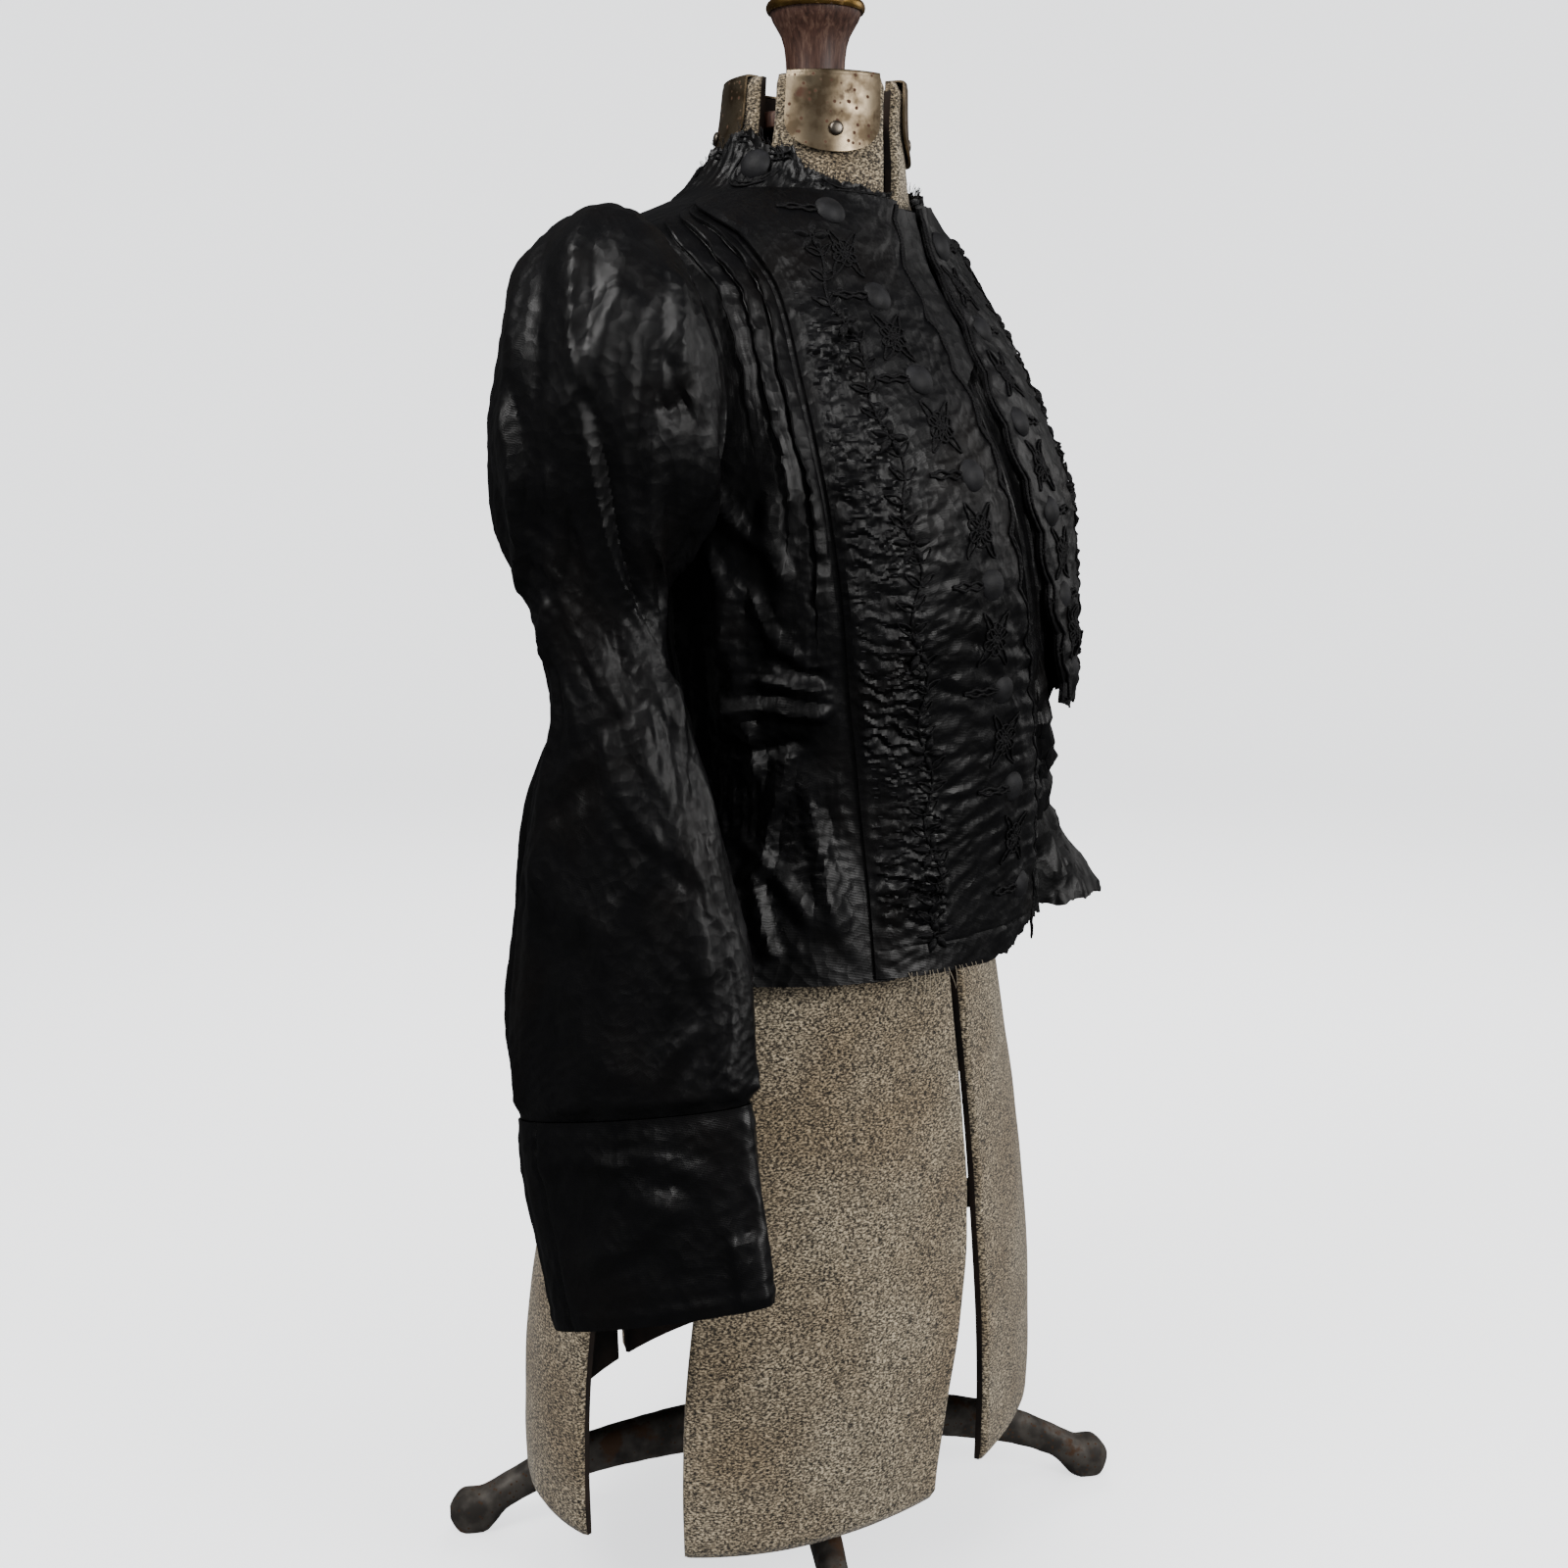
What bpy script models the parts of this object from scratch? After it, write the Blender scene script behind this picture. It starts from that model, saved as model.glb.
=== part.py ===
"""Mourning bodice of black silk taffeta on an adjustable, limbless dress form.

Metres, +Z up. The wearer faces -Y, so the wearer's right is -X. Shapes are worked out round
the vertical axis of the neck, which the two NECK values place in the part's frame.
"""

import math
from collections import namedtuple

import bpy
import numpy as np
from mathutils import Vector
from mathutils.bvhtree import BVHTree

# Place of the neck's axis, so that the middle of the whole part stands on the origin, and
# how far behind it the pole stands.
NECK_X = -0.0001
NECK_Y = -0.0165
STAND_BACK = 0.020

# A place well inside the body: away from it is out of the cloth
CORE_Y = 0.01
FRONT_CORE_Z = 0.55

# Small steps over a surface, for its slope
SMALL_U = 1e-3
SMALL_V = 1e-4

# Cloth and small clearances
TAFFETA = 0.0012
BAND_CLOTH = 0.0014
SEAM_GAP = 0.0004
HALF_SEAM = 0.00025
HEM_Z = 0.405
NECK_SEAM_Z = 0.8525

# Lift of each layer of the front over the cloth line
VEST_LIFT = -0.0005
FLAP_LIFT = 0.0011
BAND_LIFT_OUTER = 0.0019
BAND_LIFT_INNER = 0.0034

# Side fronts: where they end at the shoulder, how far they run under their band in
# degrees, and their three tucks
SIDE_FRONT_TOP_Z = 0.8460
UNDERLAP = 4.6
LEAST_UNDERLAP = 0.4
BAND_CLEAR = 1.2
TUCK_HEIGHT = 0.0034
TUCK_STEP = 0.5
TUCK_FADE_END_Z = (0.770, 0.655, 0.650)
TUCK_FADE_LENGTH = 0.045

# Vest, with pin tucks, and the flap over its top
VEST_TOP_Z = 0.8500
VEST_HEM_Z = 0.424
VEST_FLARE = 0.040
VEST_WAVE = 0.006
VEST_UNDERLAP = 8.0
VEST_FREE_UNDERLAP = 6.4
PIN_TUCK_HEIGHT = 0.0011
PIN_TUCK_SPANS = 12
FLAP_TOP_Z = 0.8480
FLAP_END_Z = 0.7370
FLAP_POINT = 0.018
FLAP_POINT_SHARE = 0.30
FLAP_WIDTH = 18.0

# Left band, torn off below the bust
LEFT_BAND_END_Z = 0.552
LEFT_BAND_FLARE = 0.011
FLARE_LENGTH = 0.09
RAG_DEPTH = 0.006

# Collar: its stand off the neck, and its run round the neck in degrees
COLLAR_STAND = 0.0052
COLLAR_START = -12.0
COLLAR_SPAN = 336.0
COLLAR_SPANS = 34
COLLAR_RAG = 0.0022

# Armhole, an oval around the side line of the body
ARMHOLE_Z = 0.738
ARMHOLE_HALF_HEIGHT = 0.078
ARMHOLE_HALF_ANGLE = 19.0
SIDE_ANGLE = 90.0

# Dress form
SHELL_THICKNESS = 0.008
FRONT_GAP = 0.012
BACK_GAP = 0.012
FORM_BASE_Z = 0.066
FORM_TOP_Z = 0.925
CLOSED_SIDE_GAP = 0.006
FRONT_SIDE_OPENING = 0.049
BACK_SIDE_OPENING = 0.006
SIDE_OPENING_TOP_Z = 0.62
SIDE_OPENING_LENGTH = 0.40
RIGHT_CORNER_CUT = 17.0
RIGHT_CORNER_TOP_Z = 0.300
SHELL_LEVELS = [0.066, 0.135, 0.215, 0.310, 0.410, 0.497, 0.580, 0.675, 0.755, 0.800]
SHELL_LEVELS += [0.822, 0.838, 0.852, 0.868, 0.890, 0.925]
SHELL_SPANS = 6

# Buttons
BUTTON_RADIUS = 0.0095
BUTTON_HEIGHT = 0.0052
BUTTON_PROBE = 0.030
BUTTON_SIDES = 9

# Plates, pole and stand
PLATE_GAUGE = 0.0014
PLATE_HALF_WIDTH = 0.0285
PLATE_BOTTOM_Z = 0.8795
PLATE_SPRING = 0.0018
RIVET_RADIUS = 0.0042
RIVET_HEIGHT = 0.0018
RIVET_Z = 0.8925
POLE_RADIUS = 0.0110
POLE_TOP_Z = 0.862
SLIDE_CLEARANCE = 0.0006
SPIDER_LOWER_Z = 0.215
SPIDER_UPPER_Z = 0.580
SPIDER_HUB_RADIUS = 0.020
SPIDER_HEIGHT = 0.016
SPIDER_BAR = 0.0065
SPIDER_SLACK = 0.0012
COLLAR_HEIGHT = 0.018
COLLAR_RADIUS = 0.019
TOUCH = 0.0003

FormSection = namedtuple("FormSection", "z half_width front_depth back_depth centre_y roundness")
FORM_SECTIONS = [
    FormSection(0.066, 0.208, 0.148, 0.148, 0.0200, 2.00),
    FormSection(0.110, 0.209, 0.149, 0.149, 0.0200, 2.00),
    FormSection(0.160, 0.207, 0.147, 0.147, 0.0195, 2.00),
    FormSection(0.210, 0.201, 0.142, 0.142, 0.0180, 2.00),
    FormSection(0.280, 0.187, 0.134, 0.134, 0.0160, 2.00),
    FormSection(0.350, 0.168, 0.123, 0.123, 0.0130, 2.00),
    FormSection(0.420, 0.148, 0.110, 0.112, 0.0080, 2.02),
    FormSection(0.497, 0.128, 0.098, 0.100, 0.0020, 2.08),
    FormSection(0.560, 0.136, 0.107, 0.104, 0.0000, 2.22),
    FormSection(0.620, 0.150, 0.119, 0.110, 0.0000, 2.38),
    FormSection(0.675, 0.158, 0.124, 0.114, 0.0040, 2.45),
    FormSection(0.720, 0.161, 0.118, 0.116, 0.0100, 2.40),
    FormSection(0.760, 0.163, 0.108, 0.113, 0.0160, 2.30),
    FormSection(0.795, 0.163, 0.097, 0.105, 0.0220, 2.20),
    FormSection(0.815, 0.158, 0.089, 0.098, 0.0240, 2.12),
    FormSection(0.830, 0.140, 0.081, 0.090, 0.0220, 2.06),
    FormSection(0.842, 0.110, 0.073, 0.083, 0.0180, 2.02),
    FormSection(0.852, 0.083, 0.067, 0.076, 0.0130, 2.00),
    FormSection(0.862, 0.068, 0.062, 0.068, 0.0080, 2.00),
    FormSection(0.876, 0.060, 0.057, 0.060, 0.0030, 2.00),
    FormSection(0.895, 0.056, 0.054, 0.056, 0.0010, 2.00),
    FormSection(0.925, 0.054, 0.054, 0.054, 0.0000, 2.00),
]

# How far the cloth stands off the form at its side, front and back
ClothEase = namedtuple("ClothEase", "z side front back")
CLOTH_EASE = [
    ClothEase(0.405, 0.012, 0.034, 0.014),
    ClothEase(0.455, 0.008, 0.040, 0.008),
    ClothEase(0.497, 0.005, 0.045, 0.004),
    ClothEase(0.525, 0.006, 0.043, 0.004),
    ClothEase(0.560, 0.007, 0.038, 0.005),
    ClothEase(0.620, 0.008, 0.031, 0.006),
    ClothEase(0.675, 0.007, 0.025, 0.006),
    ClothEase(0.720, 0.006, 0.022, 0.005),
    ClothEase(0.760, 0.005, 0.016, 0.004),
    ClothEase(0.810, 0.0050, 0.0085, 0.0050),
    ClothEase(0.838, 0.0055, 0.0080, 0.0055),
    ClothEase(0.870, 0.0045, 0.0060, 0.0050),
]

# Angles round the body, in degrees from the centre front, of the three tucks of one side
# front and of the outer edge of its band. The wearer's right side takes them as negative.
TuckLine = namedtuple("TuckLine", "z tuck_1 tuck_2 tuck_3 band_edge")
TUCK_LINES = [
    TuckLine(0.400, 80.0, 68.0, 55.0, 41.0),
    TuckLine(0.460, 78.0, 67.0, 56.0, 43.4),
    TuckLine(0.520, 76.0, 66.0, 56.5, 47.0),
    TuckLine(0.580, 74.0, 65.0, 57.5, 50.7),
    TuckLine(0.640, 72.0, 63.0, 57.3, 52.8),
    TuckLine(0.680, 67.2, 61.2, 57.2, 54.0),
    TuckLine(0.720, 66.8, 62.8, 59.2, 55.3),
    TuckLine(0.750, 67.6, 64.2, 60.5, 56.5),
    TuckLine(0.783, 69.4, 65.4, 61.5, 57.8),
    TuckLine(0.800, 72.0, 67.6, 63.4, 59.6),
    TuckLine(0.815, 77.0, 72.0, 67.6, 63.6),
    TuckLine(0.825, 81.5, 76.5, 72.0, 68.0),
    TuckLine(0.835, 86.6, 83.4, 80.2, 76.8),
    TuckLine(0.842, 88.9, 87.8, 86.6, 84.6),
    TuckLine(0.846, 89.6, 89.3, 89.0, 88.6),
    TuckLine(0.853, 89.7, 89.5, 89.3, 89.1),
]

# Scalloped inner edges of the two bands, in degrees from the centre front
BandEdge = namedtuple("BandEdge", "z right left")
BAND_EDGES = [
    BandEdge(0.400, 12.0, 15.0),
    BandEdge(0.460, 12.5, 15.0),
    BandEdge(0.520, 6.5, 13.5),
    BandEdge(0.570, -0.5, 11.0),
    BandEdge(0.605, -5.5, 7.0),
    BandEdge(0.650, -9.5, 3.0),
    BandEdge(0.700, -11.8, -1.5),
    BandEdge(0.735, -13.6, -2.5),
    BandEdge(0.760, -15.0, 0.5),
    BandEdge(0.800, -15.5, 6.0),
    BandEdge(0.840, -12.5, 9.0),
    BandEdge(0.855, -11.0, 10.0),
]
SCALLOP_PITCH = 0.030
SCALLOP_DEPTH = 2.0

# Soft folds and drag creases of a side front: ends in (angle, z), height out of the cloth
# and half width across the fold, both in metres
FOLD_RADIUS = 0.15
BodyFold = namedtuple("BodyFold", "angle_top z_top angle_end z_end height half_width")
SIDE_FRONT_FOLDS = [
    BodyFold(83.0, 0.625, 84.0, 0.570, 0.0045, 0.010),
    BodyFold(75.0, 0.630, 73.0, 0.555, 0.0065, 0.010),
    BodyFold(69.0, 0.690, 69.0, 0.570, -0.0050, 0.009),
    BodyFold(63.0, 0.650, 62.0, 0.575, 0.0065, 0.010),
    BodyFold(66.0, 0.575, 53.0, 0.566, 0.0055, 0.010),
    BodyFold(80.0, 0.545, 58.0, 0.540, -0.0035, 0.010),
    BodyFold(76.0, 0.510, 56.0, 0.520, 0.0055, 0.010),
    BodyFold(60.0, 0.495, 51.0, 0.440, 0.0060, 0.011),
    BodyFold(68.0, 0.480, 64.0, 0.405, -0.0040, 0.011),
    BodyFold(78.0, 0.470, 75.0, 0.405, 0.0060, 0.011),
]

BACK_FOLDS = [
    BodyFold(118.0, 0.640, 128.0, 0.500, 0.0040, 0.009),
    BodyFold(140.0, 0.620, 150.0, 0.505, 0.0040, 0.008),
    BodyFold(180.0, 0.560, 180.0, 0.495, -0.0020, 0.007),
    BodyFold(220.0, 0.620, 210.0, 0.505, 0.0040, 0.008),
    BodyFold(242.0, 0.640, 232.0, 0.500, 0.0040, 0.009),
    BodyFold(130.0, 0.480, 126.0, 0.405, 0.0050, 0.010),
    BodyFold(160.0, 0.480, 157.0, 0.405, 0.0055, 0.010),
    BodyFold(200.0, 0.480, 204.0, 0.405, 0.0055, 0.010),
    BodyFold(230.0, 0.480, 235.0, 0.405, 0.0050, 0.010),
    BodyFold(150.0, 0.790, 210.0, 0.780, 0.0030, 0.010),
]

# Rings of the right sleeve below its armhole. Each spans from a point on the body side to
# one on the outer side, and rises towards the front by fore_rise for each metre.
SleeveRing = namedtuple("SleeveRing", "x_in z_in x_out z_out y half_fore fore_rise")
SLEEVE_RINGS = [
    SleeveRing(0.1690, 0.6590, 0.1690, 0.8170, 0.0160, 0.0560, 0.00),
    SleeveRing(0.1700, 0.6570, 0.1850, 0.8350, 0.0140, 0.0610, 0.00),
    SleeveRing(0.1715, 0.6540, 0.2100, 0.8330, 0.0090, 0.0670, 0.00),
    SleeveRing(0.1722, 0.6510, 0.2330, 0.8140, 0.0050, 0.0680, 0.00),
    SleeveRing(0.1728, 0.6475, 0.2480, 0.7820, 0.0030, 0.0665, 0.00),
    SleeveRing(0.1732, 0.6440, 0.2540, 0.7440, 0.0070, 0.0630, 0.00),
    SleeveRing(0.1738, 0.6400, 0.2520, 0.7040, 0.0140, 0.0560, 0.00),
    SleeveRing(0.1745, 0.6310, 0.2440, 0.6660, 0.0190, 0.0460, 0.00),
    SleeveRing(0.1790, 0.6130, 0.2380, 0.6330, 0.0145, 0.0350, 0.00),
    SleeveRing(0.1810, 0.5900, 0.2360, 0.6000, 0.0055, 0.0330, 0.00),
    SleeveRing(0.1810, 0.5620, 0.2360, 0.5680, -0.0045, 0.0390, 0.02),
    SleeveRing(0.1810, 0.5200, 0.2370, 0.5220, -0.0045, 0.0555, 0.05),
    SleeveRing(0.1810, 0.4730, 0.2370, 0.4740, -0.0050, 0.0680, 0.10),
    SleeveRing(0.1825, 0.4300, 0.2370, 0.4300, -0.0070, 0.0777, 0.14),
    SleeveRing(0.1850, 0.3920, 0.2375, 0.3920, -0.0075, 0.0830, 0.18),
    SleeveRing(0.1885, 0.3660, 0.2380, 0.3660, -0.0115, 0.0825, 0.21),
    SleeveRing(0.1915, 0.3445, 0.2385, 0.3445, -0.0149, 0.0810, 0.23),
]
CUFF_RINGS = [
    SleeveRing(0.1917, 0.3441, 0.2385, 0.3441, -0.0149, 0.0810, 0.23),
    SleeveRing(0.1960, 0.3120, 0.2395, 0.3120, -0.0200, 0.0800, 0.26),
    SleeveRing(0.2020, 0.2720, 0.2420, 0.2720, -0.0320, 0.0775, 0.30),
    SleeveRing(0.2080, 0.2335, 0.2450, 0.2335, -0.0427, 0.0755, 0.34),
]
SLEEVE_SIDES = 18
SLEEVE_ROWS = 21
CUFF_ROWS = 5
ARMHOLE_BLEND = 0.055
SLEEVE_SEAM_GAP = 0.0009

# The left sleeve hangs limp behind the body: it is set back, its end further, and its
# head is lower.
LEFT_HEAD_BACK = 0.030
LEFT_END_BACK = 0.092
LEFT_HEAD_DROP = 0.026

# Folds of the sleeve: ends as (angle round the ring in degrees, share of its length).
# The angle runs from the outer side (0) over the front (90) to the body side (180).
SleeveFold = namedtuple("SleeveFold", "angle_top along_top angle_end along_end height half_angle")
SLEEVE_FOLDS = [
    SleeveFold(5.0, 0.06, 50.0, 0.52, 0.0060, 14.0),
    SleeveFold(-40.0, 0.10, -18.0, 0.42, 0.0050, 13.0),
    SleeveFold(70.0, 0.10, 78.0, 0.30, 0.0065, 12.0),
    SleeveFold(38.0, 0.12, 62.0, 0.36, -0.0060, 12.0),
    SleeveFold(-10.0, 0.20, 15.0, 0.50, -0.0050, 11.0),
    SleeveFold(-70.0, 0.28, -45.0, 0.46, 0.0050, 12.0),
    SleeveFold(82.0, 0.40, 20.0, 0.62, 0.0060, 14.0),
    SleeveFold(70.0, 0.60, -20.0, 0.66, -0.0045, 12.0),
    SleeveFold(-50.0, 0.60, -25.0, 0.82, 0.0050, 13.0),
    SleeveFold(50.0, 0.66, 10.0, 0.94, 0.0050, 13.0),
    SleeveFold(20.0, 0.72, 60.0, 0.90, -0.0040, 12.0),
    SleeveFold(200.0, 0.30, 175.0, 0.90, 0.0040, 14.0),
]
CUFF_FOLDS = [
    SleeveFold(60.0, 0.10, -10.0, 0.60, 0.0030, 14.0),
    SleeveFold(-50.0, 0.30, 40.0, 0.90, -0.0025, 12.0),
]

# Ragged top of the collar: angle round the neck and the height that is left
CollarTop = namedtuple("CollarTop", "angle z")
COLLAR_TOPS = [
    CollarTop(-152.0, 0.8700),
    CollarTop(-140.0, 0.8760),
    CollarTop(-130.0, 0.8790),
    CollarTop(-122.0, 0.8860),
    CollarTop(-108.0, 0.8865),
    CollarTop(-103.0, 0.8930),
    CollarTop(-92.0, 0.8950),
    CollarTop(-80.0, 0.8830),
    CollarTop(-68.0, 0.8840),
    CollarTop(-60.0, 0.8710),
    CollarTop(-48.0, 0.8660),
    CollarTop(-36.0, 0.8630),
    CollarTop(-24.0, 0.8600),
    CollarTop(-12.0, 0.8590),
]

# Buttons by angle and height: the right row follows its band, the left row stops where
# the left band is torn off
ButtonPlace = namedtuple("ButtonPlace", "angle z carrier")
RIGHT_BUTTONS = [
    ButtonPlace(-84.0, 0.8710, "collar"),
    ButtonPlace(-44.5, 0.8395, "band"),
    ButtonPlace(-33.5, 0.7910, "band"),
    ButtonPlace(-29.0, 0.7450, "band"),
    ButtonPlace(-21.5, 0.6930, "band"),
    ButtonPlace(-18.5, 0.6330, "band"),
    ButtonPlace(-12.5, 0.5725, "band"),
    ButtonPlace(-5.0, 0.5120, "band"),
    ButtonPlace(2.5, 0.4485, "band"),
]
LEFT_BUTTONS = [
    ButtonPlace(17.0, 0.8280, "band"),
    ButtonPlace(13.0, 0.7770, "band"),
    ButtonPlace(5.5, 0.7230, "band"),
    ButtonPlace(9.0, 0.6720, "band"),
    ButtonPlace(12.5, 0.6220, "band"),
    ButtonPlace(18.0, 0.5770, "band"),
]

# Legs of the stand: distance from the pole, height and half sizes of the casting
LegStation = namedtuple("LegStation", "reach z half_width half_height")
LEG_STATIONS = [
    LegStation(0.0283, 0.0570, 0.0105, 0.0165),
    LegStation(0.0700, 0.0560, 0.0100, 0.0160),
    LegStation(0.1100, 0.0500, 0.0100, 0.0145),
    LegStation(0.1400, 0.0435, 0.0095, 0.0135),
    LegStation(0.1680, 0.0345, 0.0090, 0.0120),
    LegStation(0.1900, 0.0235, 0.0100, 0.0115),
    LegStation(0.2060, 0.0110, 0.0135, 0.0150),
    LegStation(0.2190, 0.0105, 0.0135, 0.0145),
    LegStation(0.2290, 0.0105, 0.0090, 0.0095),
]
LEG_SIDES = 10
LEG_ANGLES = [43.0, 133.0, 223.0, 313.0]

Profile = namedtuple("Profile", "radius z")
POST_PROFILE = [
    Profile(0.0445, 0.8960),
    Profile(0.0445, 0.9060),
    Profile(0.0230, 0.9100),
    Profile(0.0180, 0.9200),
    Profile(0.0178, 0.9400),
    Profile(0.0195, 0.9520),
    Profile(0.0255, 0.9620),
    Profile(0.0275, 0.9670),
    Profile(0.0275, 0.9760),
    Profile(0.0240, 0.9840),
    Profile(0.0120, 0.9890),
]
RING_PROFILE = [
    Profile(0.0279, 0.9675),
    Profile(0.0292, 0.9675),
    Profile(0.0300, 0.9700),
    Profile(0.0292, 0.9730),
    Profile(0.0279, 0.9730),
]
BUTTON_PROFILE = [
    Profile(0.55, 0.00),
    Profile(1.00, 0.22),
    Profile(0.90, 0.68),
    Profile(0.45, 1.00),
]
HUB_PROFILE = [
    Profile(0.0280, 0.0380),
    Profile(0.0280, 0.0760),
    Profile(0.0200, 0.0860),
    Profile(0.0160, 0.0980),
]


def clear_scene():
    """Remove whatever the scene holds."""
    for obj in list(bpy.data.objects):
        bpy.data.objects.remove(obj, do_unlink=True)


def material(name, colour, roughness, metallic=0.0):
    """Return a Principled material of one colour."""
    mat = bpy.data.materials.new(name)
    mat.use_nodes = True
    shader = mat.node_tree.nodes["Principled BSDF"]
    shader.inputs["Base Color"].default_value = (*colour, 1.0)
    shader.inputs["Roughness"].default_value = roughness
    shader.inputs["Metallic"].default_value = metallic
    mat.diffuse_color = (*colour, 1.0)
    return mat


def smooth_lookup(rows, level):
    """Return the columns of a table at one value of its first column, along smooth curves."""
    keys = [row[0] for row in rows]
    level = min(max(level, keys[0]), keys[-1])
    k = min(max(int(np.searchsorted(keys, level)) - 1, 0), len(rows) - 2)
    step = keys[k + 1] - keys[k]
    t = (level - keys[k]) / step

    def slope(i, column):
        low = max(i - 1, 0)
        high = min(i + 1, len(rows) - 1)
        return (rows[high][column] - rows[low][column]) / (keys[high] - keys[low])

    values = []
    for column in range(1, len(rows[0])):
        start = rows[k][column]
        end = rows[k + 1][column]
        lead = slope(k, column) * step
        trail = slope(k + 1, column) * step
        value = (2 * t**3 - 3 * t**2 + 1) * start + (t**3 - 2 * t**2 + t) * lead
        value += (-2 * t**3 + 3 * t**2) * end + (t**3 - t**2) * trail
        values.append(value)
    return values


def ramp(value, start, end):
    """Return a smooth step from 0 at start to 1 at end."""
    t = min(max((value - start) / (end - start), 0.0), 1.0)
    return t * t * (3.0 - 2.0 * t)


def form_radius(angle, z):
    """Return the radius of the form at an angle from the front, and its centre's y."""
    half_width, front, back, centre_y, power = smooth_lookup(FORM_SECTIONS, z)
    depth = front if math.cos(angle) >= 0.0 else back
    across = abs(math.sin(angle) / half_width) ** power
    along = abs(math.cos(angle) / depth) ** power
    return (across + along) ** (-1.0 / power), centre_y


def ease_at(angle, z):
    """Return how far the cloth stands off the form."""
    side, front, back = smooth_lookup(CLOTH_EASE, z)
    facing = front if math.cos(angle) >= 0.0 else back
    return side * math.sin(angle) ** 2 + facing * math.cos(angle) ** 2


def around(radius, angle, centre_y, z):
    """Return the point at an angle from the front, in radians, round a centre."""
    return np.array([radius * math.sin(angle), centre_y - radius * math.cos(angle), z])


def form_point(degrees, z):
    """Return a point of the form's outer surface."""
    angle = math.radians(degrees)
    radius, centre_y = form_radius(angle, z)
    return around(radius, angle, centre_y, z)


def cloth_point(degrees, z, stand_off=0.0):
    """Return a point of the cloth line, moved out level by stand_off."""
    angle = math.radians(degrees)
    radius, centre_y = form_radius(angle, z)
    return around(radius + ease_at(angle, z) + stand_off, angle, centre_y, z)


def core_point(z):
    """Return a place well inside the body at a level."""
    return np.array([0.0, CORE_Y, z])


def fold_height(folds, degrees, z):
    """Return the height that the folds of a panel add at a place."""
    total = 0.0
    here = np.array([math.radians(degrees) * FOLD_RADIUS, z])
    for fold in folds:
        start = np.array([math.radians(fold.angle_top) * FOLD_RADIUS, fold.z_top])
        end = np.array([math.radians(fold.angle_end) * FOLD_RADIUS, fold.z_end])
        span = end - start
        share = float(np.dot(here - start, span) / np.dot(span, span))
        share = min(max(share, 0.0), 1.0)
        distance = float(np.linalg.norm(here - start - span * share))
        total += fold.height * math.exp(-((distance / fold.half_width) ** 2))
    return total


def normal_at(surface, u, v, inside):
    """Return the unit normal of surface(u, v) that points away from inside."""
    across = surface(u + SMALL_U, v) - surface(u - SMALL_U, v)
    along = surface(u, v + SMALL_V) - surface(u, v - SMALL_V)
    normal = np.cross(across, along)
    normal = normal / np.linalg.norm(normal)
    if np.dot(normal, surface(u, v) - inside) < 0.0:
        normal = -normal
    return normal


def new_object(name, verts, faces, mat):
    """Make one shaded object, placed on the pole's place."""
    mesh = bpy.data.meshes.new(name)
    mesh.from_pydata([tuple(v) for v in verts], [], faces)
    mesh.update()
    mesh.shade_smooth()
    mesh.set_sharp_from_angle(angle=math.radians(40.0))
    obj = bpy.data.objects.new(name, mesh)
    obj.data.materials.append(mat)
    obj.location = (NECK_X, NECK_Y, 0.0)
    bpy.context.scene.collection.objects.link(obj)
    return obj


def on_pole(obj):
    """Move an object made round the neck's axis to the pole's."""
    obj.location.y += STAND_BACK
    return obj


def signed_volume(verts, faces):
    """Return the volume that faces enclose, positive where they face out."""
    total = 0.0
    for face in faces:
        first = verts[face[0]]
        for k in range(1, len(face) - 1):
            total += float(np.dot(first, np.cross(verts[face[k]], verts[face[k + 1]])))
    return total / 6.0


def closed_wall(name, outer, inner, mat, ring=False):
    """Make one closed wall between two grids of points.

    The grids have rows of columns. With ring, the columns close on themselves. Both faces are
    split along the same diagonals, so that a twisted wall keeps its thickness.
    """
    rows = len(outer)
    columns = len(outer[0])
    verts = [point for row in outer for point in row]
    verts += [point for row in inner for point in row]
    back = rows * columns

    def at(row, column, side):
        return side * back + row * columns + column % columns

    faces = []
    spans = columns if ring else columns - 1
    for row in range(rows - 1):
        for column in range(spans):
            quad = [(row, column), (row, column + 1), (row + 1, column + 1), (row + 1, column)]
            for half in ([quad[0], quad[1], quad[2]], [quad[0], quad[2], quad[3]]):
                faces.append([at(r, c, 0) for r, c in half])
                faces.append([at(r, c, 1) for r, c in reversed(half)])
    rim = [((0, k + 1), (0, k)) for k in range(spans)]
    rim += [((rows - 1, k), (rows - 1, k + 1)) for k in range(spans)]
    if not ring:
        rim += [((k, 0), (k + 1, 0)) for k in range(rows - 1)]
        rim += [((k + 1, columns - 1), (k, columns - 1)) for k in range(rows - 1)]
    for first, second in rim:
        faces.append([at(*first, 0), at(*second, 0), at(*second, 1), at(*first, 1)])
    if signed_volume(verts, faces) < 0.0:
        faces = [list(reversed(face)) for face in faces]
    return new_object(name, verts, faces, mat)


def sheet_wall(name, surface, grid, thickness, mat, lift=None, relief=None, ring=False, inside=None):
    """Make a cloth wall over surface(u, v) at a grid of (u, v) pairs.

    lift(u, v) moves both faces out, relief(u, v) raises the outer one alone.
    """
    outer = []
    inner = []
    for row in grid:
        outer_row = []
        inner_row = []
        for u, v in row:
            point = surface(u, v)
            core = inside(u, v) if inside else core_point(v)
            normal = normal_at(surface, u, v, core)
            base = lift(u, v) if lift else 0.0
            extra = relief(u, v) if relief else 0.0
            inner_row.append(point + normal * base)
            outer_row.append(point + normal * (base + thickness + extra))
        outer.append(outer_row)
        inner.append(inner_row)
    return closed_wall(name, outer, inner, mat, ring)


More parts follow.
